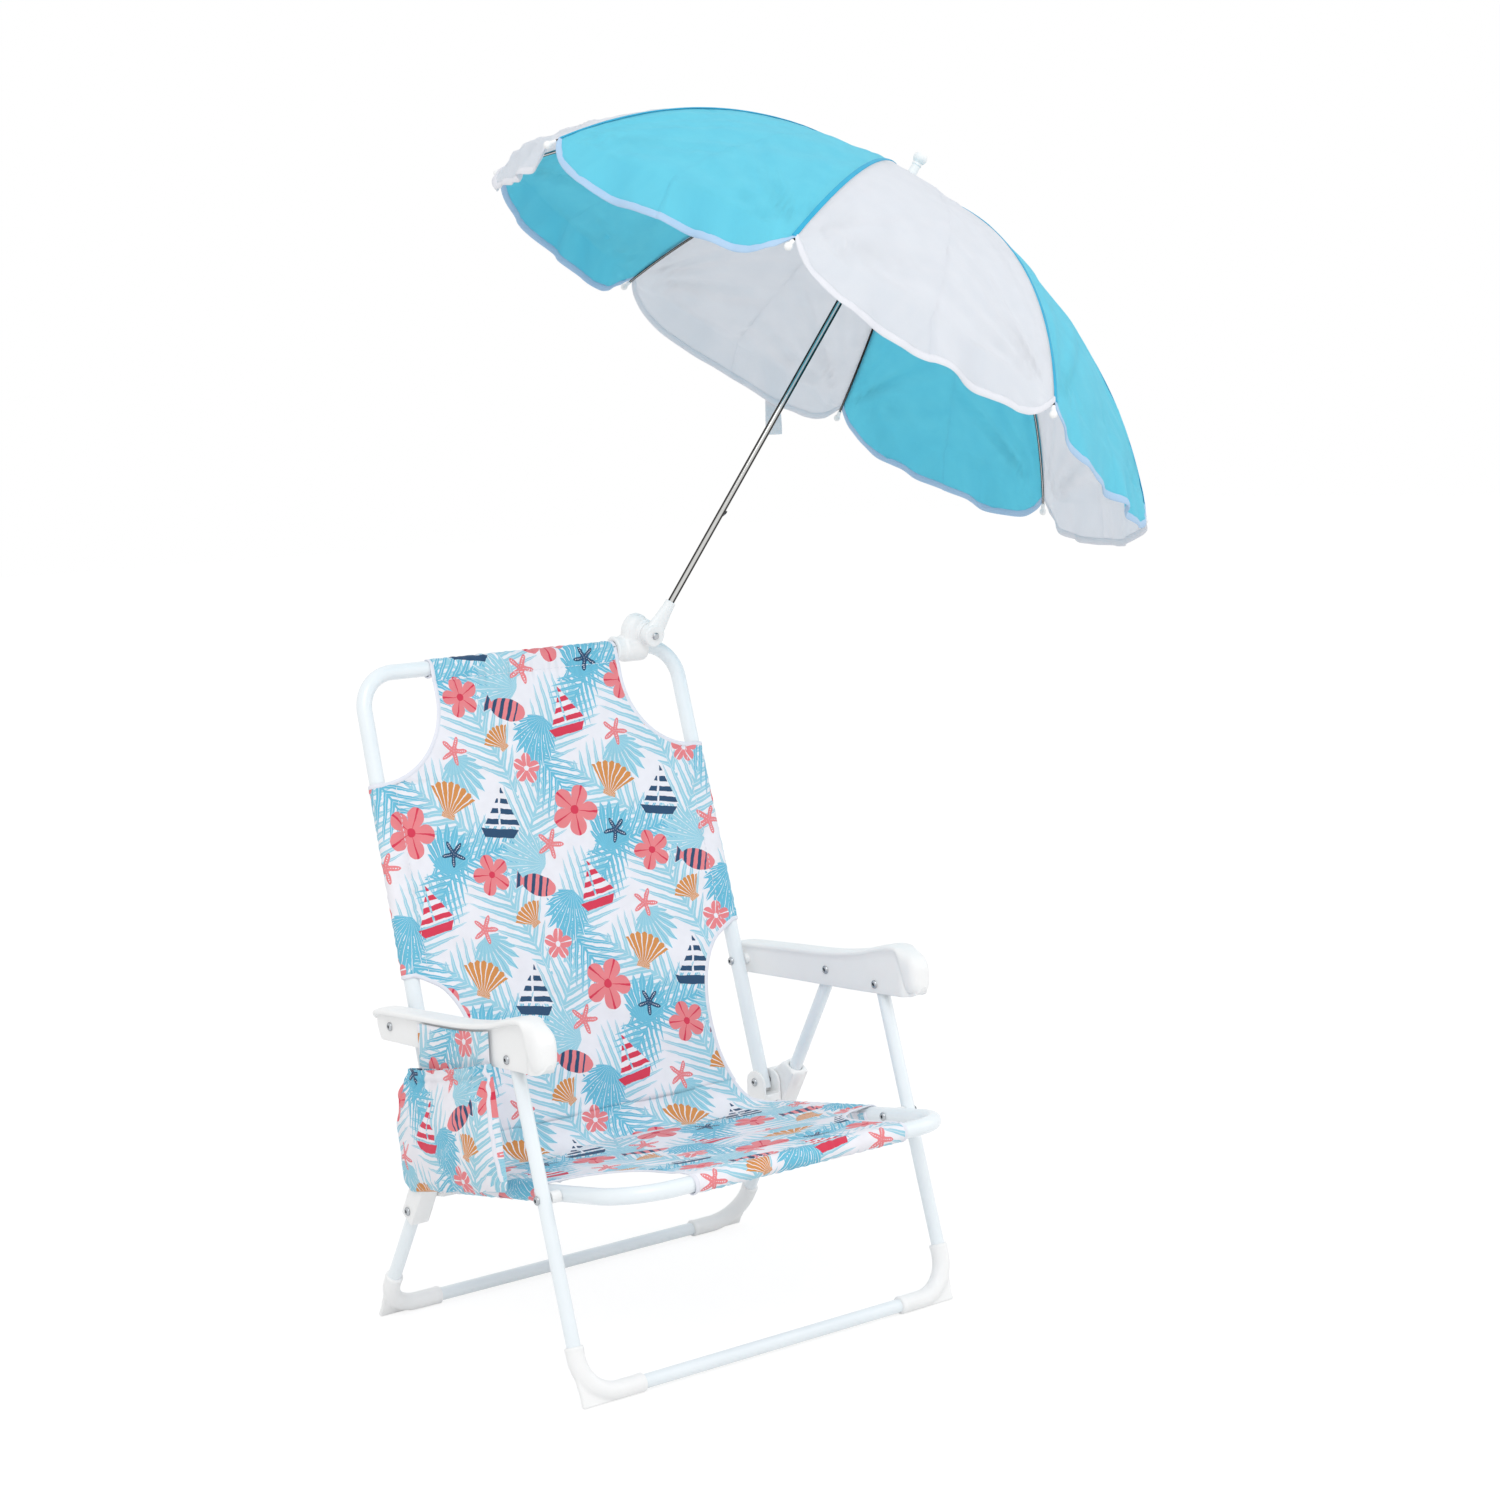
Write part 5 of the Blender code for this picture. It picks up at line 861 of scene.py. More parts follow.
def printed_canvas(groups):
    """Printed polyester canvas: a flat, slightly chalky print over a fine plain weave."""
    made, tree, output = new_material("printed_polyester_canvas")
    place = add_node(tree, "UVMap", uv_map="UVMap").outputs["UV"]
    colour = printed_colour(tree, place, groups)
    # Wash of the ink, in patches of about 14 mm
    wash = add_node(tree, "TexNoise", {"Vector": place, "Scale": 1 / (14 * MM), "Detail": 3.0})
    tone = add_node(tree, "MapRange", {"Value": wash.outputs["Fac"], "To Min": 0.93, "To Max": 1.05})
    colour = add_node(tree, "HueSaturation", {"Value": socket(tone.outputs, "Result"), "Color": colour}).outputs[0]
    # Threads lie 0.4 mm apart, drawn at 1.1 mm so that they show
    cloth_shader(tree, output, colour, colour, 0.12, 0.82, place, 1.1 * MM, 0.35)
    return made


def plain_canvas(name, colour, shadow, through=0.12, spacing=1.1 * MM, depth=0.35, coordinate="UV"):
    """Undyed or one-colour polyester cloth: matt, with a fine weave and faint patches of a second, darker tone laid at
    random.
    """
    made, tree, output = new_material(name)
    if coordinate == "UV":
        place = add_node(tree, "UVMap", uv_map="UVMap").outputs["UV"]
    else:
        place = add_node(tree, "TexCoord").outputs["Object"]
    # The second colour, passed as shadow, is only a darker tone mixed in random patches of about 22 mm
    cloud = add_node(tree, "TexNoise", {"Vector": place, "Scale": 1 / (22 * MM), "Detail": 3.0})
    shade = add_node(tree, "Mix", {"Factor": cloud.outputs["Fac"], "A": colour, "B": shadow}, data_type="RGBA")
    tint = socket(shade.outputs, "Result")
    cloth_shader(tree, output, tint, tint, through, 0.8, place, spacing, depth)
    return made


MATERIALS = {}


def material(name):
    """The materials by name, made when first asked for."""
    if name in MATERIALS:
        return MATERIALS[name]
    chair, cloth, canopy = (
        bpy.context.scene.chair_finish,
        bpy.context.scene.cloth_finish,
        bpy.context.scene.canopy_finish,
    )
    makers = {
        "tube": powder_coated_steel,
        "plastic": moulded_polypropylene,
        # The second colour of each plated steel is its painted reflection at grazing angles
        "zinc": lambda: plated_steel("zinc_plated_steel", chair.zinc_colour[:], linear("6D7176"), 0.3, 0.35, 0.9),
        # Blackened steel of the catches, whose colour also paints the shade inside the rivets' hollows
        "dark_steel_and_hollow_shade": lambda: plated_steel("blackened_steel", linear("45484C"), linear("1E2022"), 0.4, 0.3, 0.8),
        "chrome": lambda: plated_steel("nickel_chromed_steel", chair.chrome_colour[:], linear("2B2927"), 0.12),
        "print": lambda: printed_canvas({key: motif_group("print_" + key, steps) for key, steps in MOTIFS.items()}),
        "sling_back": lambda: plain_canvas("unprinted_canvas_side", cloth.ground[:], linear("DCE7F0")),
        "binding": lambda: plain_canvas("sling_binding_tape", cloth.binding[:], linear("E2E4EE"), 0.05, 0.8 * MM, 0.5),
        # Canopy taffeta is finer still, and light comes through it
        "blue": lambda: plain_canvas("blue_polyester_taffeta", canopy.blue[:], linear("79DCEE"), 0.46, 1.0 * MM, 0.2),
        "white": lambda: plain_canvas("white_polyester_taffeta", canopy.white[:], linear("ECEEF2"), 0.54, 1.0 * MM,
            0.2),
        "blue_edge": lambda: plain_canvas("pale_blue_binding_tape", canopy.blue_edge[:], linear("A9CBEB"), 0.1,
            0.8 * MM, 0.5),
        "white_edge": lambda: plain_canvas("white_binding_tape", linear("F1F2F7"), linear("DFE2EA"), 0.1, 0.8 * MM,
            0.5),
        "seam": lambda: plain_canvas("folded_canopy_seam", canopy.seam[:], linear("24A6D0"), 0.1, 0.8 * MM, 0.4),
        "webbing": lambda: plain_canvas("strap_webbing", linear("F2F3F6"), linear("DDE0E6"), 0.05, 1.6 * MM, 0.9),
    }
    MATERIALS[name] = makers[name]()
    return MATERIALS[name]


# Side-view lines of the chair: the y of a tube's axis at a height, or the reverse on the seat
def back_y(z):
    return BACK_PIVOT_Y + LINK_Y / 2 + (z - BACK_PIVOT_Z - LINK_Z / 2) * math.tan(BACK_LEAN)


def seat_z(y):
    return SEAT_PIVOT_Z - (y - SEAT_PIVOT_Y) * math.tan(SEAT_SLOPE)


def front_leg_y(z):
    return SEAT_PIVOT_Y + LINK_Y / 2 + (z - SEAT_PIVOT_Z - LINK_Z / 2) * math.tan(FRONT_LEG_LEAN)


def rear_leg_y(z):
    return REAR_PIVOT_Y - (z - REAR_PIVOT_Z) * math.tan(REAR_LEG_LEAN)


def back_x(z):
    return HINGE_X + (z - BACK_PIVOT_Z) / (BACK_TOP_Z - BACK_PIVOT_Z) * (BACK_TOP_X - HINGE_X)


def seat_x(y):
    return HINGE_X + (y - BACK_PIVOT_Y) / (SEAT_FRONT_Y - BACK_PIVOT_Y) * (SEAT_FRONT_X - HINGE_X)


def rear_leg_x(z):
    return LEG_X + (REAR_PIVOT_Z - z) / (REAR_PIVOT_Z - FLOOR_BAR_Z) * (REAR_FOOT_X - LEG_X)


BACK_FRONT = np.array((0, -math.cos(BACK_LEAN), math.sin(BACK_LEAN)))
BACK_UP = np.array((0, math.sin(BACK_LEAN), math.cos(BACK_LEAN)))
SEAT_TOP = np.array((0, math.sin(SEAT_SLOPE), math.cos(SEAT_SLOPE)))
SEAT_AHEAD = np.array((0, -math.cos(SEAT_SLOPE), math.sin(SEAT_SLOPE)))
OUTWARD = np.array((1.0, 0, 0))


def front_leg_ends():
    top = ARM_FRONT_Z + END_MARGIN * math.cos(FRONT_LEG_LEAN)
    return (LEG_X, front_leg_y(top), top), (LEG_X, front_leg_y(FLOOR_BAR_Z), FLOOR_BAR_Z)


def rear_leg_ends():
    top = REAR_PIVOT_Z + END_MARGIN * math.cos(REAR_LEG_LEAN)
    return (rear_leg_x(top), rear_leg_y(top), top), (REAR_FOOT_X, rear_leg_y(FLOOR_BAR_Z), FLOOR_BAR_Z)


ARM_FRONT_Y, ARM_FRONT_Z = SEAT_PIVOT_Y + LINK_Y, SEAT_PIVOT_Z + LINK_Z
ARM_BACK_Y, ARM_BACK_Z = BACK_PIVOT_Y + LINK_Y, BACK_PIVOT_Z + LINK_Z
SADDLE_REACH = 198.6 * MM
SADDLE_IN, SADDLE_OUT = 187.4 * MM, 204.8 * MM
SADDLE_Y = REAR_PIVOT_Y + SADDLE_REACH * math.sin(REAR_LEG_LEAN)
SADDLE_Z = REAR_PIVOT_Z - SADDLE_REACH * math.cos(REAR_LEG_LEAN)


def mirrored(points, sign):
    return points * np.array((sign, 1.0, 1.0)) + CHAIR


def slab(outline, normal, thickness, rim):
    """A flat piece: a convex outline swept through its thickness, drawn in by a quarter circle at both faces."""
    outline = np.asarray(outline, float)
    middle = outline.mean(axis=0)
    inward = unit(middle - outline)
    turn = np.linspace(math.pi / 2, 0, 4)
    levels = np.concatenate((-thickness / 2 + rim * (1 - np.sin(turn)), thickness / 2 - rim * (1 - np.sin(turn[::-1]))))
    shrink = np.concatenate((rim * (1 - np.cos(turn)), rim * (1 - np.cos(turn[::-1]))))
    rows = outline + inward * shrink[:, None, None] + np.asarray(normal) * levels[:, None, None]
    ends = [np.broadcast_to(middle + np.asarray(normal) * level, outline.shape)[None] for level in levels[[0, -1]]]
    return np.concatenate((ends[0], rows, ends[1]))


def capped(rows):
    """A tube of loops, closed at both ends by the loops' middles."""
    first = np.broadcast_to(rows[0].mean(axis=0), rows[0].shape)
    last = np.broadcast_to(rows[-1].mean(axis=0), rows[-1].shape)
    return np.concatenate((first[None], rows, last[None]))


def binding(edge, normals, width=4 * MM, thickness=1.7 * MM, slot=0):
    """Tape folded over a cut edge: an ellipse carried along the edge, flat to the cloth."""
    turns = np.arange(14) * 2 * math.pi / 14
    profile = np.stack((np.cos(turns) * width / 2, np.sin(turns) * thickness / 2), axis=1)
    return surface(capped(carry(profile, edge, normals)), wrap=True, slot=slot, uv=tape_uv(edge, 14, width))


def tape_uv(edge, columns, width):
    """Metres along the tape and round it."""
    along = np.concatenate(([0], np.cumsum(np.linalg.norm(np.diff(edge, axis=0), axis=1))))
    along = np.concatenate((along[:1], along, along[-1:]))
    around = np.arange(columns) / columns * 2 * width
    return np.stack(np.broadcast_arrays(around[None], along[:, None]), axis=-1)


def stitches(path, normals, pitch=4.4 * MM, length=3.0 * MM, radius=0.42 * MM, slot=0):
    """Sewing thread: a row of short beads along a path, each a sphere stretched along it, as one masked grid."""
    along = np.concatenate(([0], np.cumsum(np.linalg.norm(np.diff(path, axis=0), axis=1))))
    centres = np.arange(pitch / 2, along[-1], pitch)
    bend = np.linspace(-math.pi / 2, math.pi / 2, 6)
    place = (centres[:, None] + np.sin(bend) * length / 2).ravel()
    line = np.stack([np.interp(place, along, path[:, i]) for i in range(3)], axis=1)
    lift = np.stack([np.interp(place, along, normals[:, i]) for i in range(3)], axis=1)
    ahead = unit(np.stack([np.interp(place, along, np.gradient(path[:, i])) for i in range(3)], axis=1))
    side = unit(np.cross(ahead, lift))
    up = np.cross(side, ahead)
    size = np.tile(np.cos(bend), len(centres))[:, None, None] * radius
    circle = ring(6)
    points = line[:, None] + (side[:, None] * circle[:, :1] + up[:, None] * circle[:, 1:]) * size
    kept = np.arange(len(place) - 1) % 6 != 5
    return surface(points, wrap=True, slot=slot, mask=np.broadcast_to(kept[:, None], (len(place) - 1, 6)))


# Sling
WAIST_SHARES = ((0.0, 0.0), (0.05, 0.13), (0.17, 0.62), (0.33, 0.93), (0.55, 1.0), (0.75, 0.85), (0.9, 0.55),
    (0.97, 0.2), (1.0, 0.0))
WRAP_COLUMNS, MIDDLE_COLUMNS = 26, 121


def crease_place():
    """Where the back's cloth plane meets the seat's, in the side view."""
    back = np.array((0, back_y(BACK_PIVOT_Z), BACK_PIVOT_Z)) + BACK_FRONT * CLOTH_REACH
    seat = np.array((0, BACK_PIVOT_Y, seat_z(BACK_PIVOT_Y))) + SEAT_TOP * CLOTH_REACH
    return back + BACK_UP * (seat - back).dot(SEAT_TOP) / BACK_UP.dot(SEAT_TOP)


def back_half_width(z):
    """Half the back's width: a waist from a table below the sleeves, and the tube's axis beside them."""
    crease = crease_place()[2]
    share = np.clip((z - crease) / (SIDE_LOW_Z - crease), 0, 1)
    waist = curve_through(WAIST_SHARES, 14)
    widest = CREASE_X + (back_x(SIDE_LOW_Z) - CREASE_X) * share
    narrow = np.interp(share, waist[:, 0], waist[:, 1])
    return np.where(z < SIDE_LOW_Z, widest + (WAIST_X - widest) * narrow, back_x(z))


def seat_half_width(y):
    """Half the seat's width behind the sleeves, from a cubic through the crease, the tube's inside and the tube."""
    crease = crease_place()[1]
    share = (crease - y) / (crease - SEAT_SLEEVE_REAR_Y)
    line = curve_through(((0, CREASE_X), (0.55, 158 * MM), (0.9, 162 * MM), (1.0, seat_x(SEAT_SLEEVE_REAR_Y))), 14)
    return np.where(y > SEAT_SLEEVE_REAR_Y, np.interp(share, line[:, 0], line[:, 1]), seat_x(y))


def cloth_grid(axis, half, first, ahead, sleeved, relief, bar, along):
    """A panel between two tubes: a parabola dips between the sides, arcs wrap the tubes and the end bar."""
    t = np.linspace(-1, 1, MIDDLE_COLUMNS)
    turn = np.linspace(0, WRAP_ANGLE, WRAP_COLUMNS + 1)[1:]
    middle = axis * np.array((0, 1, 1)) + first * CLOTH_REACH
    sag = relief["sag"]
    lift = relief["lift"] - sag[:, None] * (1 - t**2)
    panel = middle[:, None] + OUTWARD * (t * half[:, None])[..., None] + first * lift[..., None]
    swell = CLOTH_REACH + relief["sleeve"]
    round_tube = first * np.cos(turn)[:, None] + OUTWARD * np.sin(turn)[:, None]
    right = axis[:, None] + round_tube * swell[..., None]
    left = right[:, ::-1] * np.array((-1.0, 1, 1))
    points = np.concatenate((left, panel, right), axis=1)
    past = half[:, None] + CLOTH_REACH * turn
    across = np.concatenate((-past[:, ::-1], t * half[:, None], past), axis=1)
    rows = len(axis)
    end_turn = turn[:, None]
    round_bar = first * np.cos(end_turn) + ahead * np.sin(end_turn)
    bar_reach = (CLOTH_REACH + relief["bar"])[..., None]
    bar_points = bar + round_bar[:, None] * bar_reach + OUTWARD * (t * half[-1])[:, None]
    blank = np.repeat(bar_points[:, :1], WRAP_COLUMNS, axis=1)
    points = np.concatenate((points, np.concatenate((blank, bar_points, blank), axis=1)))
    across = np.concatenate((across, np.repeat(across[-1:], WRAP_COLUMNS, axis=0)))
    along = np.concatenate((along, along[-1] + CLOTH_REACH * turn))
    uv = np.stack((across, np.broadcast_to(along[:, None], across.shape)), axis=-1)
    mask = np.zeros((len(points) - 1, points.shape[1] - 1), bool)
    mask[:, WRAP_COLUMNS : WRAP_COLUMNS + MIDDLE_COLUMNS - 1] = True
    held = sleeved[:-1] & sleeved[1:]
    mask[: rows - 1][held] = True
    return points, uv, mask


def sewn(distance, width):
    """A seam's groove, as a bell curve over the distance from its stitches."""
    return np.exp(-((distance / width) ** 2))


def back_cloth():
    """The back's cloth from above the crease to the top bar, and its edges for the tape."""
    cloth = bpy.context.scene.cloth_finish
    crease = crease_place()[2]
    start = crease + CREASE_STRIP * math.cos(BACK_LEAN)
    arc = np.linspace(0, math.pi / 2, 22)
    cut = back_x(SIDE_HIGH_Z) - TOP_X
    low, side = np.linspace(start, SIDE_LOW_Z, 38), np.linspace(SIDE_LOW_Z, SIDE_HIGH_Z, 46)
    last = np.linspace(SIDE_HIGH_Z + cut, BACK_TOP_Z, 9)[1:]
    z = np.concatenate((low[:-1], side, SIDE_HIGH_Z + cut * (1 - np.cos(arc[1:])), last))
    half = back_half_width(z)
    rows = len(low) - 1 + len(side)
    half[rows : rows + len(arc) - 1] = back_x(SIDE_HIGH_Z) - cut * np.sin(arc[1:])
    half[rows + len(arc) - 1 :] = TOP_X
    axis = np.stack((half, back_y(z), z), axis=1)
    axis[:, 0] = back_x(z)
    along = (z - start) / math.cos(BACK_LEAN)
    t = np.linspace(-1, 1, MIDDLE_COLUMNS)
    x = t * half[:, None]
    inside = (half[:, None] - np.abs(x)) * np.ones_like(x)
    beside = (ease((z - SIDE_LOW_Z + 3 * MM) / (6 * MM)) * ease((SIDE_HIGH_Z + 3 * MM - z) / (6 * MM)))[:, None]
    side_seam = inside - 14 * MM
    end_seam = ((BACK_TOP_Z - z) / math.cos(BACK_LEAN) - 13 * MM)[:, None]
    run = along[:, None] * np.ones_like(x)
    height = cloth.pucker
    lift = beside * height * (bumps(run + x * 0.15, 10 * MM, 3) * sewn(side_seam, 7 * MM) - 0.7 * sewn(side_seam,
        1.3 * MM))
    lift += beside * height * 0.8 * sewn(inside - 7 * MM, 4 * MM)
    lift += height * (bumps(x, 9 * MM, 5) * sewn(end_seam, 8 * MM) - 0.7 * sewn(end_seam, 1.3 * MM))
    lift += height * 1.3 * bumps(run * 0.8 + x * 0.5, 74 * MM, 7) * (1 - t**2)
    lift += height * 0.9 * bumps(run - np.abs(x) * 0.5, 30 * MM, 8) * t**2 * (1 - beside) * (1 - t**8)
    share = (z - crease) / (BACK_TOP_Z - crease)
    sleeve = 0.35 * height * bumps(along[:, None] + np.linspace(0, 0.01, WRAP_COLUMNS), 11 * MM, 9)
    bar = 0.35 * height * bumps(t[None] * TOP_X + np.linspace(0, 0.01, WRAP_COLUMNS)[:, None], 10 * MM, 11)
    relief = {"sag": cloth.back_sag * np.sin(math.pi * share), "lift": lift, "sleeve": sleeve, "bar": bar}
    sleeved = (z >= SIDE_LOW_Z - 1e-7) & (z <= SIDE_HIGH_Z + 1e-7)
    place = np.array((0, back_y(BACK_TOP_Z), BACK_TOP_Z))
    points, uv, mask = cloth_grid(axis, half, BACK_FRONT, BACK_UP, sleeved, relief, place, along)
    return points, uv, mask, (len(low) - 1, rows - 1), inside, end_seam[:, 0]


def seat_cloth():
    """The seat's cloth from before the crease to the front bar, and its edges for the tape."""
    cloth = bpy.context.scene.cloth_finish
    crease = crease_place()[1]
    start = crease - CREASE_STRIP * math.cos(SEAT_SLOPE)
    arc = np.linspace(0, math.pi / 2, 22)
    cut = seat_x(SEAT_SLEEVE_FRONT_Y) - FRONT_X
    low, side = np.linspace(start, SEAT_SLEEVE_REAR_Y, 8), np.linspace(SEAT_SLEEVE_REAR_Y, SEAT_SLEEVE_FRONT_Y, 40)
    last = np.linspace(SEAT_SLEEVE_FRONT_Y - cut, SEAT_FRONT_Y, 15)[1:]
    y = np.concatenate((low[:-1], side, SEAT_SLEEVE_FRONT_Y - cut * (1 - np.cos(arc[1:])), last))
    half = seat_half_width(y)
    rows = len(low) - 1 + len(side)
    half[rows : rows + len(arc) - 1] = seat_x(SEAT_SLEEVE_FRONT_Y) - cut * np.sin(arc[1:])
    half[rows + len(arc) - 1 :] = FRONT_X
    axis = np.stack((seat_x(y), y, seat_z(y)), axis=1)
    along = (start - y) / math.cos(SEAT_SLOPE)
    t = np.linspace(-1, 1, MIDDLE_COLUMNS)
    x = t * half[:, None]
    inside = (half[:, None] - np.abs(x)) * np.ones_like(x)
    reach = 3 * MM
    before_rear = ease((SEAT_SLEEVE_REAR_Y + reach - y) / (2 * reach))
    behind_front = ease((y - SEAT_SLEEVE_FRONT_Y + reach) / (2 * reach))
    beside = (before_rear * behind_front)[:, None]
    side_seam = inside - 14 * MM
    end_seam = ((y - SEAT_FRONT_Y) / math.cos(SEAT_SLOPE) - 14 * MM)[:, None]
    run = along[:, None] * np.ones_like(x)
    height = cloth.pucker
    lift = beside * height * (bumps(run, 10 * MM, 23) * sewn(side_seam, 7 * MM) - 0.7 * sewn(side_seam, 1.3 * MM))
    lift += height * (bumps(x, 9 * MM, 25) * sewn(end_seam, 8 * MM) - 0.7 * sewn(end_seam, 1.3 * MM))
    lift += height * 1.4 * bumps(run * 0.9 - x * 0.4, 66 * MM, 27) * (1 - t**2)
    share = (y - crease) / (SEAT_FRONT_Y - crease)
    sleeve = 0.35 * height * bumps(along[:, None] + np.linspace(0, 0.01, WRAP_COLUMNS), 11 * MM, 29)
    bar = 0.35 * height * bumps(t[None] * FRONT_X + np.linspace(0, 0.01, WRAP_COLUMNS)[:, None], 10 * MM, 31)
    relief = {"sag": cloth.seat_sag * np.sin(math.pi * share), "lift": lift, "sleeve": sleeve, "bar": bar}
    sleeved = (y <= SEAT_SLEEVE_REAR_Y + 1e-7) & (y >= SEAT_SLEEVE_FRONT_Y - 1e-7)
    place = np.array((0, SEAT_FRONT_Y, seat_z(SEAT_FRONT_Y)))
    points, uv, mask = cloth_grid(axis, half, SEAT_TOP, SEAT_AHEAD, sleeved, relief, place, along)
    uv = uv * np.array((1.0, -1.0)) - np.array((0.0, 2 * CREASE_STRIP))
    return points, uv, mask, (len(low) - 1, rows - 1), inside, end_seam[:, 0]


def cloth_edges(points, ends):
    """The two cut edges on each side: up to the lower sleeve end and round it, and from the upper one to the bar."""
    left, right = WRAP_COLUMNS, WRAP_COLUMNS + MIDDLE_COLUMNS - 1
    low, high = ends
    return (
        np.concatenate((points[:low, right], points[low, right:])),
        np.concatenate((points[:low, left], points[low, left::-1])),
        np.concatenate((points[high, :right:-1], points[high:, right])),
        np.concatenate((points[high, :left], points[high:, left])),
    )


def add_cloth(name, made, body, node, flip):
    """A sling panel with its tape and thread."""
    cloth = bpy.context.scene.cloth_finish
    points, uv, mask, ends, inside, end_seam = made
    normals = grid_normals(points) * (-1 if flip else 1)
    part = surface(points + CHAIR, uv=uv, mask=mask)
    if flip:
        part = (part[0], part[1][:, ::-1], part[2], part[3])
    mesh = make_mesh(name, [part], recalculate=False, sharp=75)
    panel = add_piece(name, mesh, [material("print"), material("sling_back")], body, (node,))
    thicken(panel, cloth.thickness)
    edges = zip(cloth_edges(points, ends), cloth_edges(normals, ends))
    tapes = [binding(edge + CHAIR, unit(lift)) for edge, lift in edges]
    tape = add_piece(name + "_tape", make_mesh(name + "_tape", tapes), [material("binding")], body)
    seams = []
    columns = np.arange(WRAP_COLUMNS, WRAP_COLUMNS + MIDDLE_COLUMNS)
    low, high = ends
    for side in (-1, 1):
        rows = np.arange(low, high + 1)
        half = inside[rows].max(axis=1)
        t = side * (1 - 14 * MM / half)
        place = (t + 1) / 2 * (MIDDLE_COLUMNS - 1) + WRAP_COLUMNS
        seams.append(between(points, normals, rows, place))
    row = np.interp(0, -end_seam, np.arange(len(end_seam)))
    seams.append(between(points, normals, np.full(len(columns) - 4, row), columns[2:-2].astype(float)))
    threads = [stitches(path + lift * cloth.thickness * 0.6 + CHAIR, lift) for path, lift in seams]
    thread = add_piece(name + "_stitching", make_mesh(name + "_stitching", threads), [material("binding")], body)
    return panel


def between(points, normals, rows, columns):
    """Points and normals of a grid at rows and columns that may fall between its own."""
    r0, c0 = np.floor(rows).astype(int), np.floor(columns).astype(int)
    fr, fc = (rows - r0)[:, None], (columns - c0)[:, None]
    r1, c1 = np.minimum(r0 + 1, len(points) - 1), np.minimum(c0 + 1, points.shape[1] - 1)
    line, lift = (
        (grid[r0, c0] * (1 - fc) + grid[r0, c1] * fc) * (1 - fr) + (grid[r1, c0] * (1 - fc) + grid[r1, c1] * fc) * fr
        for grid in (points, normals)
    )
    return line, unit(lift)


def crease_cloth():
    """The strip between back and seat: a quadratic curve from one plane to the other, as wide as the cloth there."""
    crease = crease_place()
    low = crease + SEAT_AHEAD * (CREASE_STRIP + 1 * MM)
    high = crease + BACK_UP * (CREASE_STRIP + 3.2 * MM)
    cloth = bpy.context.scene.cloth_finish
    back_share = CREASE_STRIP * math.cos(BACK_LEAN) / (BACK_TOP_Z - crease[2])
    seat_share = CREASE_STRIP * math.cos(SEAT_SLOPE) / (crease[1] - SEAT_FRONT_Y)
    s = np.linspace(0, 1, 22)[:, None]
    line = low * (1 - s) ** 2 + 2 * crease * s * (1 - s) + high * s**2
    low_half = seat_half_width(np.array([low[1]]))[0]
    high_half = back_half_width(np.array([high[2]]))[0]
    half = np.interp(s[:, 0], (0, 0.5, 1), (low_half, CREASE_X, high_half))
    half = half[:, None]
    t = np.linspace(-1, 1, MIDDLE_COLUMNS)
    ahead = unit(np.gradient(line, axis=0))
    normals = np.cross(OUTWARD, ahead)
    dip_low = cloth.seat_sag * math.sin(math.pi * seat_share)
    dip_high = cloth.back_sag * math.sin(math.pi * back_share)
    dip = dip_low * (1 - s) + dip_high * s
    lift = -dip * (1 - t**2) + cloth.pucker * 0.9 * bumps(t * half, 26 * MM, 41) * np.sin(math.pi * s) * (1 - t**8)
    points = line[:, None] + OUTWARD * (t * half)[..., None] + normals[:, None] * lift[..., None]
    along = np.concatenate(([0], np.cumsum(np.linalg.norm(np.diff(line, axis=0), axis=1))))
    along = (along / along[-1] - 1) * 2 * CREASE_STRIP + 1.1 * MM
    uv = np.stack(np.broadcast_arrays(t * half, along[:, None]), axis=-1)
    return points, uv, grid_normals(points)


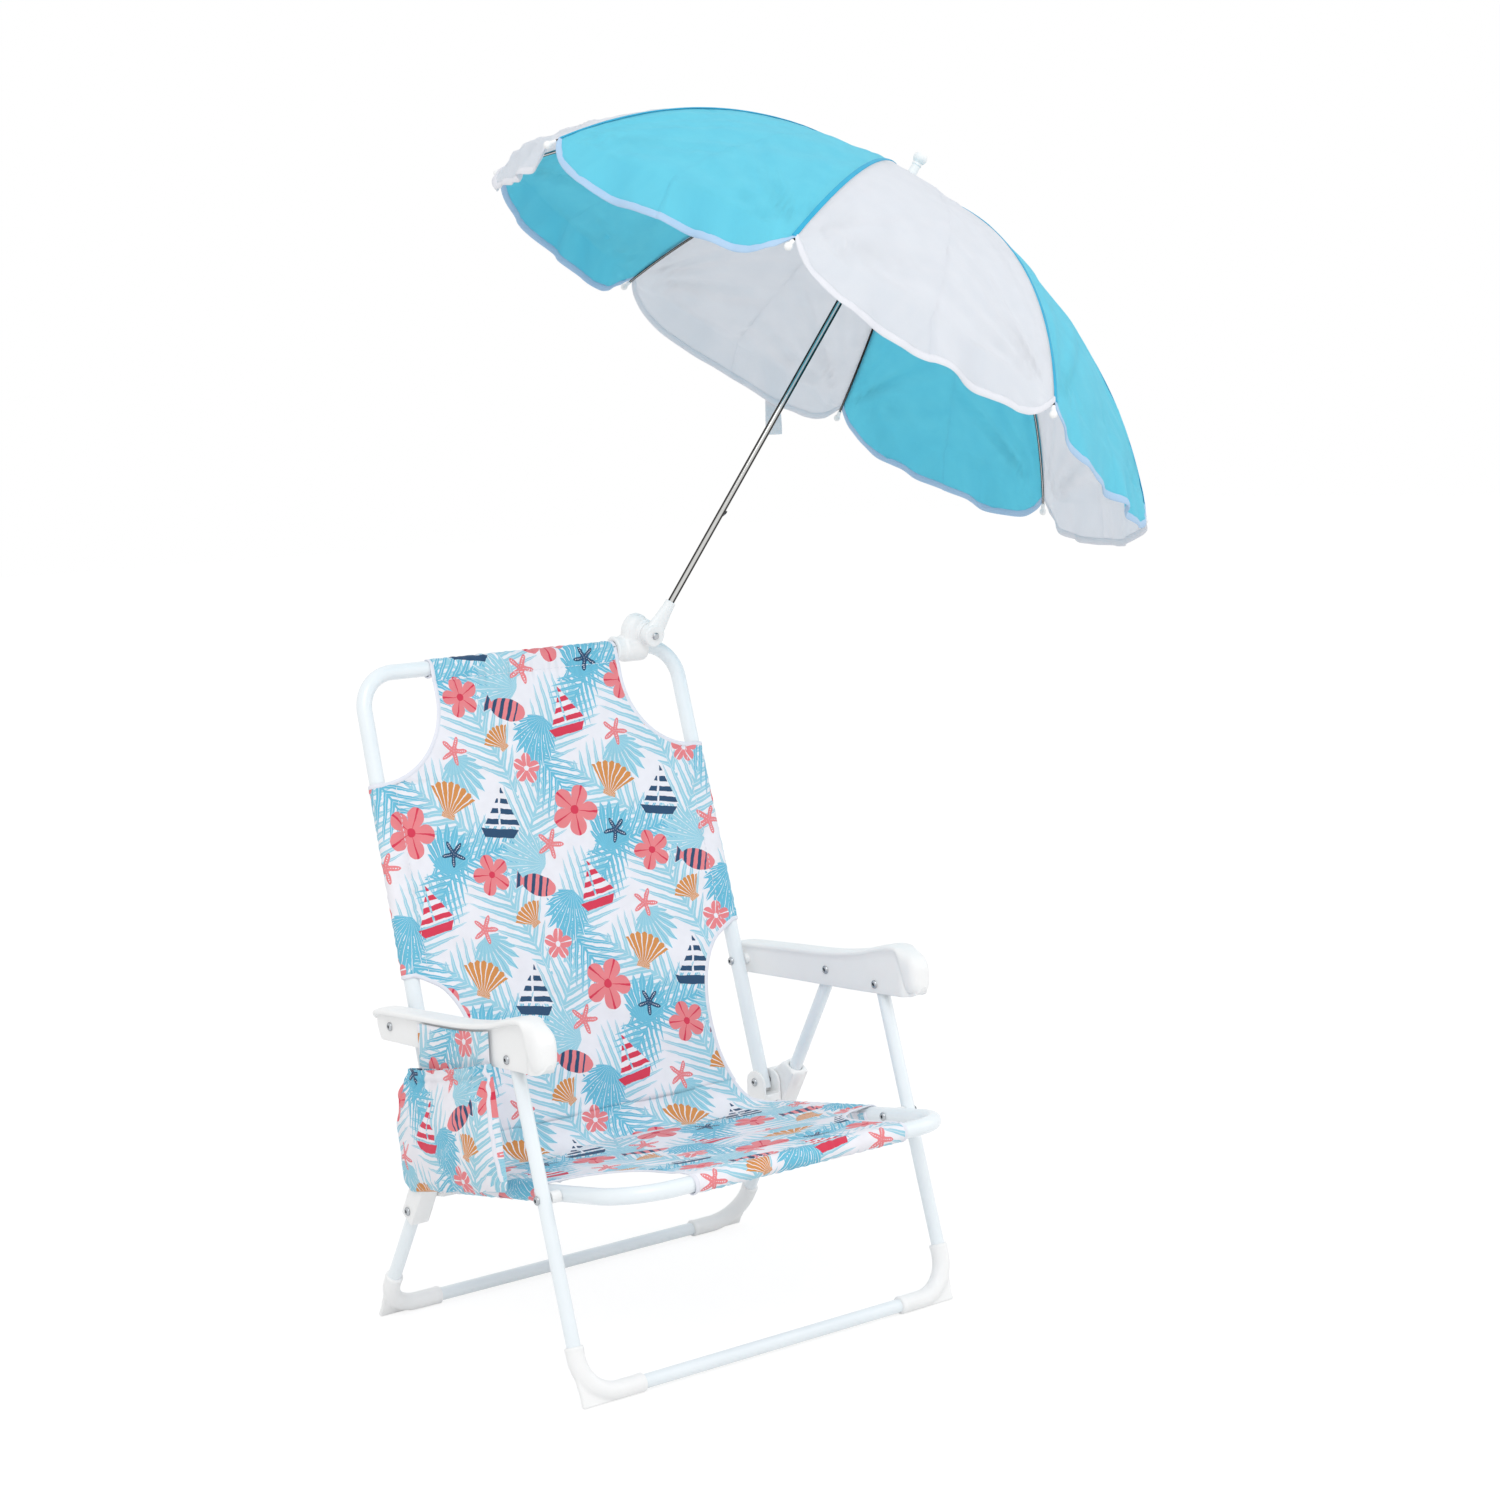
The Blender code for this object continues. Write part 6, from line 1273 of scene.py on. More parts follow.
# Armrests
def armrest_loops():
    """Loops round the armrest, from its tail to its nose, in metres from the middle of its lip.

    Each loop runs over the lip, a superellipse with exponent 3, then down the outer skirt, round its edge, up to
    the channel's ceiling, across, and down and up the inner skirt. Widths shrink to the nose as a superellipse
    with exponent 2.5, and there the lip closes below into one rounded loop.
    """
    share = 0.5 * (1 - np.cos(np.linspace(0.012, math.pi - 0.012, 170)))
    top_line, length = curve_through(ARM_TOP_SHARES, 10), ARM_LENGTH
    top = ARM_BASE_Z + ARM_HEIGHT * np.interp(share, top_line[:, 0], top_line[:, 1])
    low_points = np.array(ARM_LOW_SHARES)
    low = ARM_BASE_Z + ARM_HEIGHT * np.interp(share, low_points[:, 0], low_points[:, 1])
    middle_x = (ARM_LIP_IN + ARM_LIP_OUT) / 2
    nose = 1 - np.clip((1 - share) * length / (12.25 * MM), 0, 1)
    tail = 1 - np.clip(share * length / (10 * MM), 0, 1)
    width = np.maximum(1 - nose**2.5, 4e-4) ** 0.4 * np.maximum(1 - tail**2.4, 4e-3) ** (1 / 2.4)
    reach = (ARM_LIP_OUT - ARM_LIP_IN) / 2 * width
    band = ease((share - 0.90) / 0.055)
    under = reach * np.cos(0.95 * band) ** 0.8 * band
    out = (ARM_SKIRT_OUT - middle_x) * width * (1 - band) + under
    inn = (middle_x - ARM_SKIRT_IN) * width * (1 - band) + under
    lip_low = np.maximum(top - 6.6 * MM, low + 0.2 * (top - low)) * (1 - band) + (low + 0.4 * MM) * band
    half_lip, middle = (top - lip_low) / 2, (top + lip_low) / 2
    power = 3.0
    start = np.arccos(np.clip(out / reach, 0, 1) ** (power / 2))
    end = np.arccos(np.clip(inn / reach, 0, 1) ** (power / 2))
    turn = -start[:, None] + (math.pi + start + end)[:, None] * np.linspace(0, 1, 48)
    lip_x = reach[:, None] * signed_power(np.cos(turn), 2 / power)
    lip_z = middle[:, None] + half_lip[:, None] * signed_power(np.sin(turn), 2 / power)
    wall = np.minimum(1.7 * MM, 0.3 * (out + inn))
    hollow = ease((share - 0.05) / 0.02) * ease((0.915 - share) / 0.02)
    corner = np.minimum(wall, 0.45 * np.maximum(np.minimum(lip_z[:, 0], lip_z[:, -1]) - low, 0.1 * MM))
    ceiling = low + 0.35 * corner + (top - 3.0 * MM - low) * hollow
    down = np.linspace(0, 1, 7)
    bend = np.linspace(0, math.pi, 7)

    def leg(face, lip_end, outside):
        """One skirt: its outside face, round lower edge and inside face."""
        turn_in = face - outside * wall
        column_z = lip_end[:, None] + (low + corner / 2 - lip_end)[:, None] * down
        column_x = np.repeat(face[:, None], 7, axis=1)
        edge_x = ((face + turn_in) / 2)[:, None] + (face - turn_in)[:, None] / 2 * np.cos(bend)
        edge_z = (low + corner / 2)[:, None] - corner[:, None] / 2 * np.sin(bend)
        inner_top = np.maximum(ceiling, low + corner / 2)
        inner_z = (low + corner / 2)[:, None] + (inner_top - low - corner / 2)[:, None] * down
        inner_x = np.repeat(turn_in[:, None], 7, axis=1)
        return (
            np.concatenate((column_x[:, 1:-1], edge_x, inner_x[:, 1:]), axis=1),
            np.concatenate((column_z[:, 1:-1], edge_z, inner_z[:, 1:]), axis=1),
        )

    out_x, out_z = leg(out, lip_z[:, 0], 1.0)
    in_x, in_z = leg(-inn, lip_z[:, -1], -1.0)
    # The loop starts at the outer end of the lip, so the inner skirt comes next and the outer one last, reversed
    x = np.concatenate((lip_x, in_x, out_x[:, ::-1]), axis=1)
    z = np.concatenate((lip_z, in_z, out_z[:, ::-1]), axis=1)
    y = np.broadcast_to((ARM_REAR_Y - share * length)[:, None], x.shape)
    return np.stack((x + middle_x, y, z), axis=-1)


def along_x(points, y, z, sign=1.0):
    """A turned shape about Z, laid along X at a place in the side view."""
    return np.stack((points[..., 2] * sign, y + points[..., 0], z + points[..., 1]), axis=-1) + CHAIR


def rivet(y, z, low, high, sign, head=1.9 * MM):
    """A tubular rivet: a pin between two domed heads, each with a rolled rim round a shallow hollow, whose floor and
    wall are painted dark in the second material as painted shade of the bore.
    """
    low, high = low - 0.3 * MM, high + 0.3 * MM

    def cap(height):
        return np.array(
            (
                (0, height - 0.9 * MM),
                (1.25 * MM, height - 0.9 * MM),
                (1.45 * MM, height - 0.25 * MM),
                (1.75 * MM, height),
                (2.3 * MM, height - 0.05 * MM),
                (3.1 * MM, height * 0.72),
                (3.7 * MM, height * 0.38),
                (3.9 * MM, height * 0.12),
                (3.8 * MM, 0),
                (2.0 * MM, 0),
            )
        )

    inner, outer = cap(1.9 * MM), cap(head)[::-1]
    inner[:, 1], outer[:, 1] = low - inner[:, 1], high + outer[:, 1]
    profile = np.concatenate((inner, outer))
    # Painted shade: the hollow's floor and wall take the second, dark material in place of the shade of a deep bore
    dark = np.zeros((len(profile) - 1, 1), int)
    dark[[0, 1, -1, -2]] = 1
    return surface(along_x(lathe(profile, 32), y, z, sign), wrap=True, slot=dark)


# Side pocket
def pocket_loops():
    """Loops round the pouch from its bottom seam to its mouth, and back down inside.

    A loop is a superellipse cut flat at the back. Its depth follows a belly from the seam to the neck, and gathers
    ripple it more towards the neck, the seam and both ends.
    """
    level = np.concatenate((np.linspace(0, 1, 60) ** 0.8, np.linspace(1, 0.02, 26)))
    inside = np.concatenate((np.zeros(60), np.ones(26)))
    wall = (inside * 1.1 * MM)[:, None]
    turn = np.linspace(0, 2 * math.pi, 220, endpoint=False)
    cos, sin = np.cos(turn), np.sin(turn)
    rear_y = 92 * MM - 19 * MM * ease((level - 0.76) / 0.24) ** 1.4
    front_y = (-79 + 17 * level) * MM
    drop = np.sqrt(1 - np.clip(1 - level / 0.16, 0, 1) ** 2)
    across = np.sign(cos) * np.abs(cos) ** 0.62
    middle, half = (rear_y + front_y) / 2, (rear_y - front_y) / 2 * (0.93 + 0.07 * drop)
    y = middle[:, None] + (half[:, None] - wall) * across
    belly = np.interp(level, (0, 0.08, 0.3, 0.55, 0.78, 0.88, 0.95, 1.0), (0.12, 0.5, 0.95, 1.0, 0.72, 0.5, 0.62, 0.66))
    depth = 14.2 * MM * belly[:, None] * np.clip(sin, 0, 1) ** 0.62
    run = y + 0.3 * level[:, None] * 0.1
    neck = sewn(level - 0.9, 0.16)[:, None] + 0.55 * sewn(level, 0.14)[:, None]
    gathers = bumps(run + 0.02 * level[:, None], 10.5 * MM, 51) * (0.3 + 1.6 * neck)
    folds = bumps(run * 0.7 + level[:, None] * 0.09, 34 * MM, 53) * 1.1
    grooves = -0.8 * (sewn(level - 0.965, 0.012) + sewn(level - 0.9, 0.012))[:, None]
    ripple = (gathers + folds * np.sin(math.pi * level)[:, None] + grooves) * MM * np.clip(sin * 3, 0, 1)
    x = 207.2 * MM + wall * 0.6 + np.maximum(depth - wall * 1.6,
        0.15 * MM * (1 - inside)[:, None]) + ripple * (depth > 2 * MM)
    base = 150 * MM + (259 - 150) * MM * level
    sag = -2.2 * MM * np.sin(math.pi * np.clip((y - front_y[:, None]) / (rear_y - front_y)[:, None], 0, 1)) * level[:,
        None] ** 3
    z = base[:, None] - (y - 6.5 * MM) * math.tan(math.radians(11)) + sag
    z = z + wall * (1 - level)[:, None] + 1.2 * MM * bumps(y, 38 * MM, 55) * (1 - level)[:, None]
    points = np.stack((-x, y, z), axis=-1)
    along = level * 109 * MM
    uv = np.stack(np.broadcast_arrays(y * 1.15, along[:, None] + 0.31), axis=-1)
    return points, uv


# Umbrella
HEM_INSET, HEM_AT_RIB, HEM_DROP, HEM_HANG, FLATTEN = 8 * MM, 3 * MM, 35 * MM, 0.6, 0.55
HALF_GORE = math.pi / GORES
HOLE_SHARE = math.asin(7.5 * MM / DOME_RADIUS) / math.asin(CANOPY_RADIUS / DOME_RADIUS)


def canopy_line(share, below=0.0):
    """The canopy over a rib, as radius and height: a sphere's arc, bowed by a sine between apex and rim."""
    bulge = bpy.context.scene.canopy_finish.bulge
    angle = share * math.asin((CANOPY_RADIUS - HEM_INSET) / DOME_RADIUS)
    reach = DOME_RADIUS + bulge * np.sin(math.pi * share) - below
    return reach * np.sin(angle), APEX - DOME_RADIUS + reach * np.cos(angle)


def canopy_points(gore, across, down):
    """Points between two ribs: across -1 to 1, down 0 to 1. The cosine rule of a chord draws them in between ribs."""
    angle = FIRST_RIB + HALF_GORE * (2 * gore + 1 + across)
    radius, height = canopy_line(HOLE_SHARE + (1 - HOLE_SHARE) * down)
    radius = radius * (1 - FLATTEN * (1 - math.cos(HALF_GORE) / np.cos(HALF_GORE * across)))
    return np.stack(np.broadcast_arrays(radius * np.cos(angle), radius * np.sin(angle), height), axis=-1)


def hem_points(gore, across, share):
    """Points of the hem: out from the rim along the cloth, turned towards the ground by its hang."""
    world_down = np.array((0.0, 0.0, -1.0)) @ MAST_TURN
    edge = canopy_points(gore, across, np.ones_like(across))
    ahead = unit(edge - canopy_points(gore, across, np.full_like(across, 1 - 1 / 8)))
    full = (1 - across**6)[..., None]
    way = unit(ahead * (1 - HEM_HANG * full) + world_down * HEM_HANG * full)
    return edge + way * ((HEM_AT_RIB + HEM_DROP * full) * share[..., None])


def gore_relief(gore, across, down, hem):
    """Creases of a gore, the same from both panels that share it: puckers by the seams, folds from the rib tips."""
    height = bpy.context.scene.canopy_finish.wrinkle
    radius, _ = canopy_line(HOLE_SHARE + (1 - HOLE_SHARE) * down)
    x = across * radius * math.sin(HALF_GORE)
    along = down * 400 * MM + hem * 38 * MM
    away = (1 - np.abs(across)) * radius * math.sin(HALF_GORE)
    seed = 60 + int(gore) * 7
    seam = bumps(along + away * 0.6, 17 * MM, seed) * (away / (5 * MM)) * np.exp(-away / (9 * MM)) * 0.55
    near = np.hypot(away, 400 * MM - down * 400 * MM + 4 * MM)
    turn = np.arctan2(away, 404 * MM - down * 400 * MM)
    side = np.where(across > 0, 0.31, 0.0)
    fan = bumps(turn + side, 0.26, seed + 1) * ease(near / (40 * MM)) * np.exp(-near / (150 * MM)) * 1.5
    slant = bumps(x * 0.75 + along * 0.62, 83 * MM, seed + 2) * 0.9 + bumps(x * 0.9 - along * 0.5, 47 * MM,
        seed + 3) * 0.45
    sharp = np.abs(bumps(x * 0.5 + along * 0.9, 118 * MM, seed + 4)) * -0.8
    calm = (1 - across**8) * ease(down / 0.12)
    wave = bumps(x, 66 * MM, seed + 5) * 2.4 * hem * (1 - across**4)
    return height * ((seam + fan + (slant + sharp) * 0.55) * calm + wave)


def panel_grid(rib):
    """The cloth round one rib: the near halves of its two gores, from the hub to the rim and down the hem."""
    s = np.linspace(-1, 1, 2 * GORE_COLUMNS + 1)
    s = np.concatenate((s[:1] - 0.02, s, s[-1:] + 0.02))
    down = np.concatenate((np.linspace(0, 1, CANOPY_ROWS), np.ones(HEM_ROWS)))[:, None]
    hem = np.concatenate((np.zeros(CANOPY_ROWS), np.linspace(0, 1, HEM_ROWS + 1)[1:]))[:, None]
    halves, reliefs = [], []
    for gore, kept in ((rib - 1, s <= 0), (rib, s > 0)):
        across = np.where(s[kept] <= 0, s[kept] + 1, s[kept] - 1)[None] * np.ones_like(down)
        whole_down, whole_hem = down * np.ones_like(across), hem * np.ones_like(across)
        points = canopy_points(gore, across, whole_down)
        hung = hem_points(gore, across, whole_hem)
        halves.append(np.where(hem[..., None] > 0, hung, points))
        reliefs.append(gore_relief(gore % GORES, across, whole_down, whole_hem))
    points, relief = np.concatenate(halves, axis=1), np.concatenate(reliefs, axis=1)
    normals = grid_normals(points)
    outward = unit(points - np.array((0, 0, APEX - DOME_RADIUS)))
    normals = normals * np.sign((normals * outward).sum(axis=-1, keepdims=True))
    points = points + normals * relief[..., None]
    slopes = np.cross(np.gradient(points, axis=1), np.gradient(points, axis=0))
    normals = unit(slopes) * np.sign((slopes * outward).sum(axis=-1, keepdims=True))
    return points[:, 1:-1], normals[:, 1:-1]


def sheet_solid(points, normals, thickness, uv, slot):
    """A thin closed sheet: the grid moved half the thickness each way, with the rims joined."""
    top, under = points + normals * thickness / 2, points - normals * thickness / 2
    rim_top = np.concatenate((top[0], top[1:, -1], top[-1, -2::-1], top[-2:0:-1, 0]))
    rim_under = np.concatenate((under[0], under[1:, -1], under[-1, -2::-1], under[-2:0:-1, 0]))
    edge = np.stack((rim_top, rim_under))
    slot_edge = np.concatenate((slot[0], np.repeat(slot[0, -1], len(points) - 1), slot[0, ::-1],
        np.repeat(slot[0, 0], len(points) - 1)))
    return [
        surface(top, uv=uv, slot=slot),
        surface(under, uv=uv, slot=slot),
        surface(edge, wrap=True, slot=slot_edge[None]),
    ]


def canopy_panel(rib):
    """One panel with its seam over the rib and the tape along its hem."""
    points, normals = panel_grid(rib)
    middle = GORE_COLUMNS
    across = np.concatenate((np.zeros((len(points), 1)),
        np.cumsum(np.linalg.norm(np.diff(points, axis=1), axis=2), axis=1)), axis=1)
    across = across - across[:, middle : middle + 1]
    along = np.concatenate(([0], np.cumsum(np.linalg.norm(np.diff(points[:, middle], axis=0), axis=1))))
    uv = np.stack(np.broadcast_arrays(across, along[:, None]), axis=-1)
    left, right = (rib - 1) % GORES % 2, rib % 2
    slot = np.concatenate((np.full(GORE_COLUMNS, left), np.full(GORE_COLUMNS, right)))
    slot = np.broadcast_to(slot, (len(points) - 1, 2 * GORE_COLUMNS))
    parts = sheet_solid(points, normals, 0.9 * MM, uv, slot)
    parts = [(from_mast(each[0]), *each[1:]) for each in parts]
    # The seam is a fold of both gores that lies on the blue side
    blue_side = -1.0 if left == 0 else 1.0
    line = points[2:, middle] + normals[2:, middle] * 0.55 * MM
    aside = unit(points[2:, middle + 1] - points[2:, middle - 1])
    line = line + aside * blue_side * 1.5 * MM
    turns = np.arange(12) * 2 * math.pi / 12
    fold = np.stack((np.cos(turns) * 2.1 * MM, np.sin(turns) * 0.55 * MM), axis=1)
    seam = carry(fold, line, normals[2:, middle])
    parts.append(surface(from_mast(capped(seam)), wrap=True, slot=2, uv=tape_uv(line, 12, 4 * MM)))
    half = points.shape[1] // 2
    for columns, colour in ((slice(0, half + 1), left), (slice(half, None), right)):
        edge = points[-1, columns] - unit(points[-1, columns] - points[-3, columns]) * 2.2 * MM
        out = unit(points[-1, columns] - points[-3, columns])
        lift = normals[-1, columns]
        turns = np.arange(14) * 2 * math.pi / 14
        from_rib = np.linspace(0, 1, len(edge)) if columns.start else np.linspace(1, 0, len(edge))
        ripple = 0.4 * MM * bumps(from_rib * 0.13, 19 * MM, 200 + rib + colour) * (1 - from_rib**3)
        tape = (edge + lift * ripple[:, None])[:, None] + out[:, None] * np.cos(turns)[:, None] * 3.6 * MM
        tape = tape + lift[:, None] * np.sin(turns)[:, None] * 1.1 * MM
        parts.append(surface(from_mast(capped(tape)), wrap=True, slot=3 + colour, uv=tape_uv(edge, 14, 5 * MM)))
    return parts


def rib_curve(share):
    """A rib in its own plane, as (outward, up) from its hinge: it follows the canopy 3 mm below it."""
    below = 0.45 * MM + 1.3 * MM + 1.2 * MM
    start = HUB_RADIUS / DOME_RADIUS / math.asin(CANOPY_RADIUS / DOME_RADIUS)
    radius, height = canopy_line(start + (1 - start) * share, below)
    fade = 1 - (1 - share) ** 6
    tip = (CANOPY_RADIUS - radius) * share**12
    return np.stack(((radius - HUB_RADIUS + tip) * fade, (height - tip - CROWN_HEIGHT) * fade), axis=-1)


def beside_mast(rib, points, height):
    """Points of a rib's own frame (outward, aside, up), put at its hinge round the mast."""
    angle = FIRST_RIB + 2 * math.pi * rib / GORES
    out = np.array((math.cos(angle), math.sin(angle), 0))
    aside = np.array((-math.sin(angle), math.cos(angle), 0))
    place = out * HUB_RADIUS + np.array((0, 0, height))
    return from_mast(points[..., :1] * out + points[..., 1:2] * aside + points[..., 2:] * np.array((0, 0, 1)) + place)


def rib_surfaces(rib):
    """The wire with its eye, and the white cup that ends in a ball."""
    curve = rib_curve(np.linspace(0, 1, 70))
    path = np.stack((curve[:, 0], 0 * curve[:, 0], curve[:, 1]), axis=1)
    wire = bar(path, 1.2 * MM, (0, 1, 0), sides=14, rim=0.4 * MM)
    eye = lathe(((0, -1.2 * MM), (1.3 * MM, -1.2 * MM), (1.6 * MM, -0.9 * MM), (1.6 * MM, 0.9 * MM),
        (1.3 * MM, 1.2 * MM), (0, 1.2 * MM)), 20)
    eye = np.stack((eye[..., 0], eye[..., 2], eye[..., 1]), axis=-1)
    tip, ahead = path[-1], unit(path[-1] - path[-3])
    profile = (
        (0, -7 * MM), (1.5 * MM, -7 * MM), (1.9 * MM, -6.6 * MM), (2.0 * MM, -3.2 * MM), (2.1 * MM, -1.4 * MM),
        (2.9 * MM, -0.4 * MM), (3.5 * MM, 1.3 * MM), (3.4 * MM, 2.9 * MM), (2.6 * MM, 4.4 * MM), (1.3 * MM, 5.2 * MM),
            (0, 5.4 * MM),
    )  # fmt: skip
    cup = placed(lathe(profile, 28), tip, ahead, (0, 1, 0))
    made = [surface(beside_mast(rib, each, CROWN_HEIGHT), wrap=True) for each in (wire, eye)]
    return [*made, surface(beside_mast(rib, cup, CROWN_HEIGHT), wrap=True, slot=1)]


def stretcher_surfaces(rib):
    """A straight wire from the runner to the rib, flattened round a rivet at both ends."""
    out, up = rib_curve(np.array([0.445]))[0]
    up = up + CROWN_HEIGHT - RUNNER_HEIGHT
    shift = 2.8 * MM
    wire = bar(((0, shift, 0), (out * 0.5, shift, up * 0.5), (out, shift, up)), 1.1 * MM, (0, 1, 0), sides=14,
        rim=0.4 * MM)
    profile = ((0, -1.5 * MM), (1.3 * MM, -1.5 * MM), (1.6 * MM, -1.1 * MM), (1.6 * MM, 1.1 * MM),
        (1.3 * MM, 1.5 * MM), (0, 1.5 * MM))
    eye = lathe(profile, 20)
    eye = np.stack((eye[..., 0], eye[..., 2] + shift, eye[..., 1]), axis=-1)
    made = [surface(beside_mast(rib, wire, RUNNER_HEIGHT), wrap=True)]
    for end in ((0, 0, 0), (out, 0, up)):
        made.append(surface(beside_mast(rib, eye + np.array(end), RUNNER_HEIGHT), wrap=True))
    return made


def turned_on_mast(profile, sides=48):
    return surface(from_mast(lathe(profile, sides)), wrap=True)


# Clamp, in its own frame: x along the top bar, y to the rear, z up the plate
CLAMP_LOW, CLAMP_HIGH = 102.3 * MM, 137 * MM
BOSS_X, BOSS_RISE, BOSS_FRONT, BOSS_RADIUS = 133 * MM, 17.6 * MM, 14 * MM, 11.4 * MM


def clamp_jaw(low, high, outer, rim=1.6 * MM):
    """An open ring round the bar: a rounded rectangle turned about it, from one lip of the mouth to the other."""
    inner = MAIN_RADIUS + 0.3 * MM
    corner = np.linspace(0, math.pi / 2, 5)
    sides = ((high, outer, 0), (low, outer, 1), (low, inner, 2), (high, inner, 3))
    profile = [
        np.stack((x + rim * (np.cos(corner + i * math.pi / 2) - (1, -1, -1, 1)[i]),
                  r + rim * (np.sin(corner + i * math.pi / 2) - (1, 1, -1, -1)[i])), axis=1)
        for x, r, i in sides
    ]  # fmt: skip
    x, reach = np.concatenate(profile).T
    turn = np.linspace(math.radians(-152), math.radians(152), 60)[:, None]
    rows = np.stack(np.broadcast_arrays(x[None], -reach * np.cos(turn), reach * np.sin(turn)), axis=-1)
    return from_clamp(capped(rows))


def clamp_shapes():
    """The clamp's overlapping shapes: a collar and a jaw on the bar, a rounded hump of superellipses and the boss."""
    level = np.linspace(0, 1, 26)
    z = 7.7 * MM + (33 - 7.7) * MM * np.sin(level * math.pi / 2)
    crown = np.clip((z - 19 * MM) / (14.2 * MM), 0, 1)
    shrink = (1 - crown**2.6) ** (1 / 2.6)
    turn = np.arange(56) * 2 * math.pi / 56
    round_x = signed_power(np.cos(turn), 0.66)
    round_y = signed_power(np.sin(turn), 0.66)
    x = (124.6 * MM + 2.2 * MM * crown)[:, None] + (12.3 * MM - 1.6 * MM * crown)[:, None] * shrink[:, None] * round_x
    y = -0.75 * MM + 8.75 * MM * (0.35 + 0.65 * shrink)[:, None] * round_y
    hump = np.stack(np.broadcast_arrays(x, y, z[:, None]), axis=-1)
    boss = bar(((BOSS_X, 6 * MM, BOSS_RISE), (BOSS_X, -BOSS_FRONT, BOSS_RISE)), BOSS_RADIUS, (0, 0, 1), 48, 1.2 * MM)
    neck = bar(((BOSS_X, 4 * MM, BOSS_RISE - 6 * MM), (BOSS_X - 5 * MM, 0, 9 * MM)), 7.5 * MM, (0, 1, 0), 40, 2 * MM)
    lip = clamp_jaw(CLAMP_LOW, CLAMP_LOW + 3.2 * MM, 12.4 * MM, 1.2 * MM)
    collar = clamp_jaw(CLAMP_LOW, CLAMP_LOW + 14 * MM, 11.6 * MM)
    jaw = clamp_jaw(CLAMP_LOW + 9.5 * MM, CLAMP_HIGH, 13.2 * MM, 2.4 * MM)
    return lip, collar, jaw, from_clamp(capped(hump)), from_clamp(boss), from_clamp(neck)


def socket_shapes():
    """The socket's shapes about the screw: a disc, and a neck that narrows as a cosine from it to the mast."""
    disc = bar(((0, 5.4 * MM, 0), (0, -5.4 * MM, 0)), 10.8 * MM, (0, 0, 1), 56, 1.2 * MM)
    share = np.linspace(0, 1, 24)
    fall = 0.5 + 0.5 * np.cos(math.pi * share)
    wide, deep = (5.4 + 4.3 * fall) * MM, (5.3 - 0.3 * (1 - fall)) * MM
    turn = np.arange(48) * 2 * math.pi / 48
    rows = np.stack(
        np.broadcast_arrays(wide[:, None] * np.cos(turn), deep[:, None] * np.sin(turn),
            (3 + 33 * share)[:, None] * MM), axis=-1
    )
    return from_mast(disc), from_mast(capped(rows))


def saddle_cup(sign):
    """A flared cup on the rear leg, turned about it: a rim round the leg that swells and narrows again below.

    It stays between the hinge block and the pocket.
    """
    top_z = REAR_PIVOT_Z - 120.5 * MM * math.cos(REAR_LEG_LEAN)
    low_z = REAR_PIVOT_Z - 170 * MM * math.cos(REAR_LEG_LEAN)
    top = np.array((rear_leg_x(top_z), rear_leg_y(top_z), top_z))
    low = np.array((rear_leg_x(low_z), rear_leg_y(low_z), low_z))
    profile = np.array((
        (6.3, 2.2), (7.4, 0.5), (8.8, 0.0), (10.0, 0.8), (10.9, 3.0), (11.3, 7.5), (11.1, 13.0), (10.2, 19.0),
            (9.0, 26.0),
        (8.2, 34.0), (7.4, 42.0), (6.3, 42.0), (6.3, 2.2),
    )) * MM  # fmt: skip
    points = placed(lathe(profile, 48), top, low - top)
    points[..., 0] = np.clip(points[..., 0], SADDLE_IN, SADDLE_OUT)
    return [surface(mirrored(points, sign), wrap=True)]


# Operators
class CHAIR_OT_tubes(Operator):
    """Bends the four powder-coated tubes: each is a circle carried round two arcs."""

    bl_idname = "beach_chair.tubes"
    bl_label = "Tubes"

    def execute(self, context):
        low = BACK_PIVOT_Z - END_MARGIN * math.cos(BACK_LEAN)
        rear = BACK_PIVOT_Y + 13 * MM - 2.5 * MM - 0.3 * MM
        back = ((back_x(low), back_y(low), low), (BACK_TOP_X, back_y(BACK_TOP_Z), BACK_TOP_Z))
        seat = ((seat_x(rear), rear, seat_z(rear)), (SEAT_FRONT_X, SEAT_FRONT_Y, seat_z(SEAT_FRONT_Y)))
        for name, (end, corner), bend, radius, body in (
            ("back_frame", back, BACK_BEND, MAIN_RADIUS, "back"),
            ("seat_frame", seat, SEAT_BEND, MAIN_RADIUS, "seat"),
            ("front_leg_frame", front_leg_ends(), LEG_BEND, LEG_RADIUS, "front_legs"),
            ("rear_leg_frame", rear_leg_ends(), LEG_BEND, LEG_RADIUS, "rear_legs"),
        ):
            end, corner = np.array(end), np.array(corner)
            flip = np.array((-1, 1, 1))
            path = round_corners((end, corner, corner * flip, end * flip), bend, 26)
            hint = unit(np.cross(OUTWARD, end - corner))
            part = surface(bar(path, radius, hint, sides=40, rim=1 * MM) + CHAIR, wrap=True)
            add_piece(name + "_tube", make_mesh(name + "_tube", [part]), [material("tube")], body, (name,))
        return {"FINISHED"}


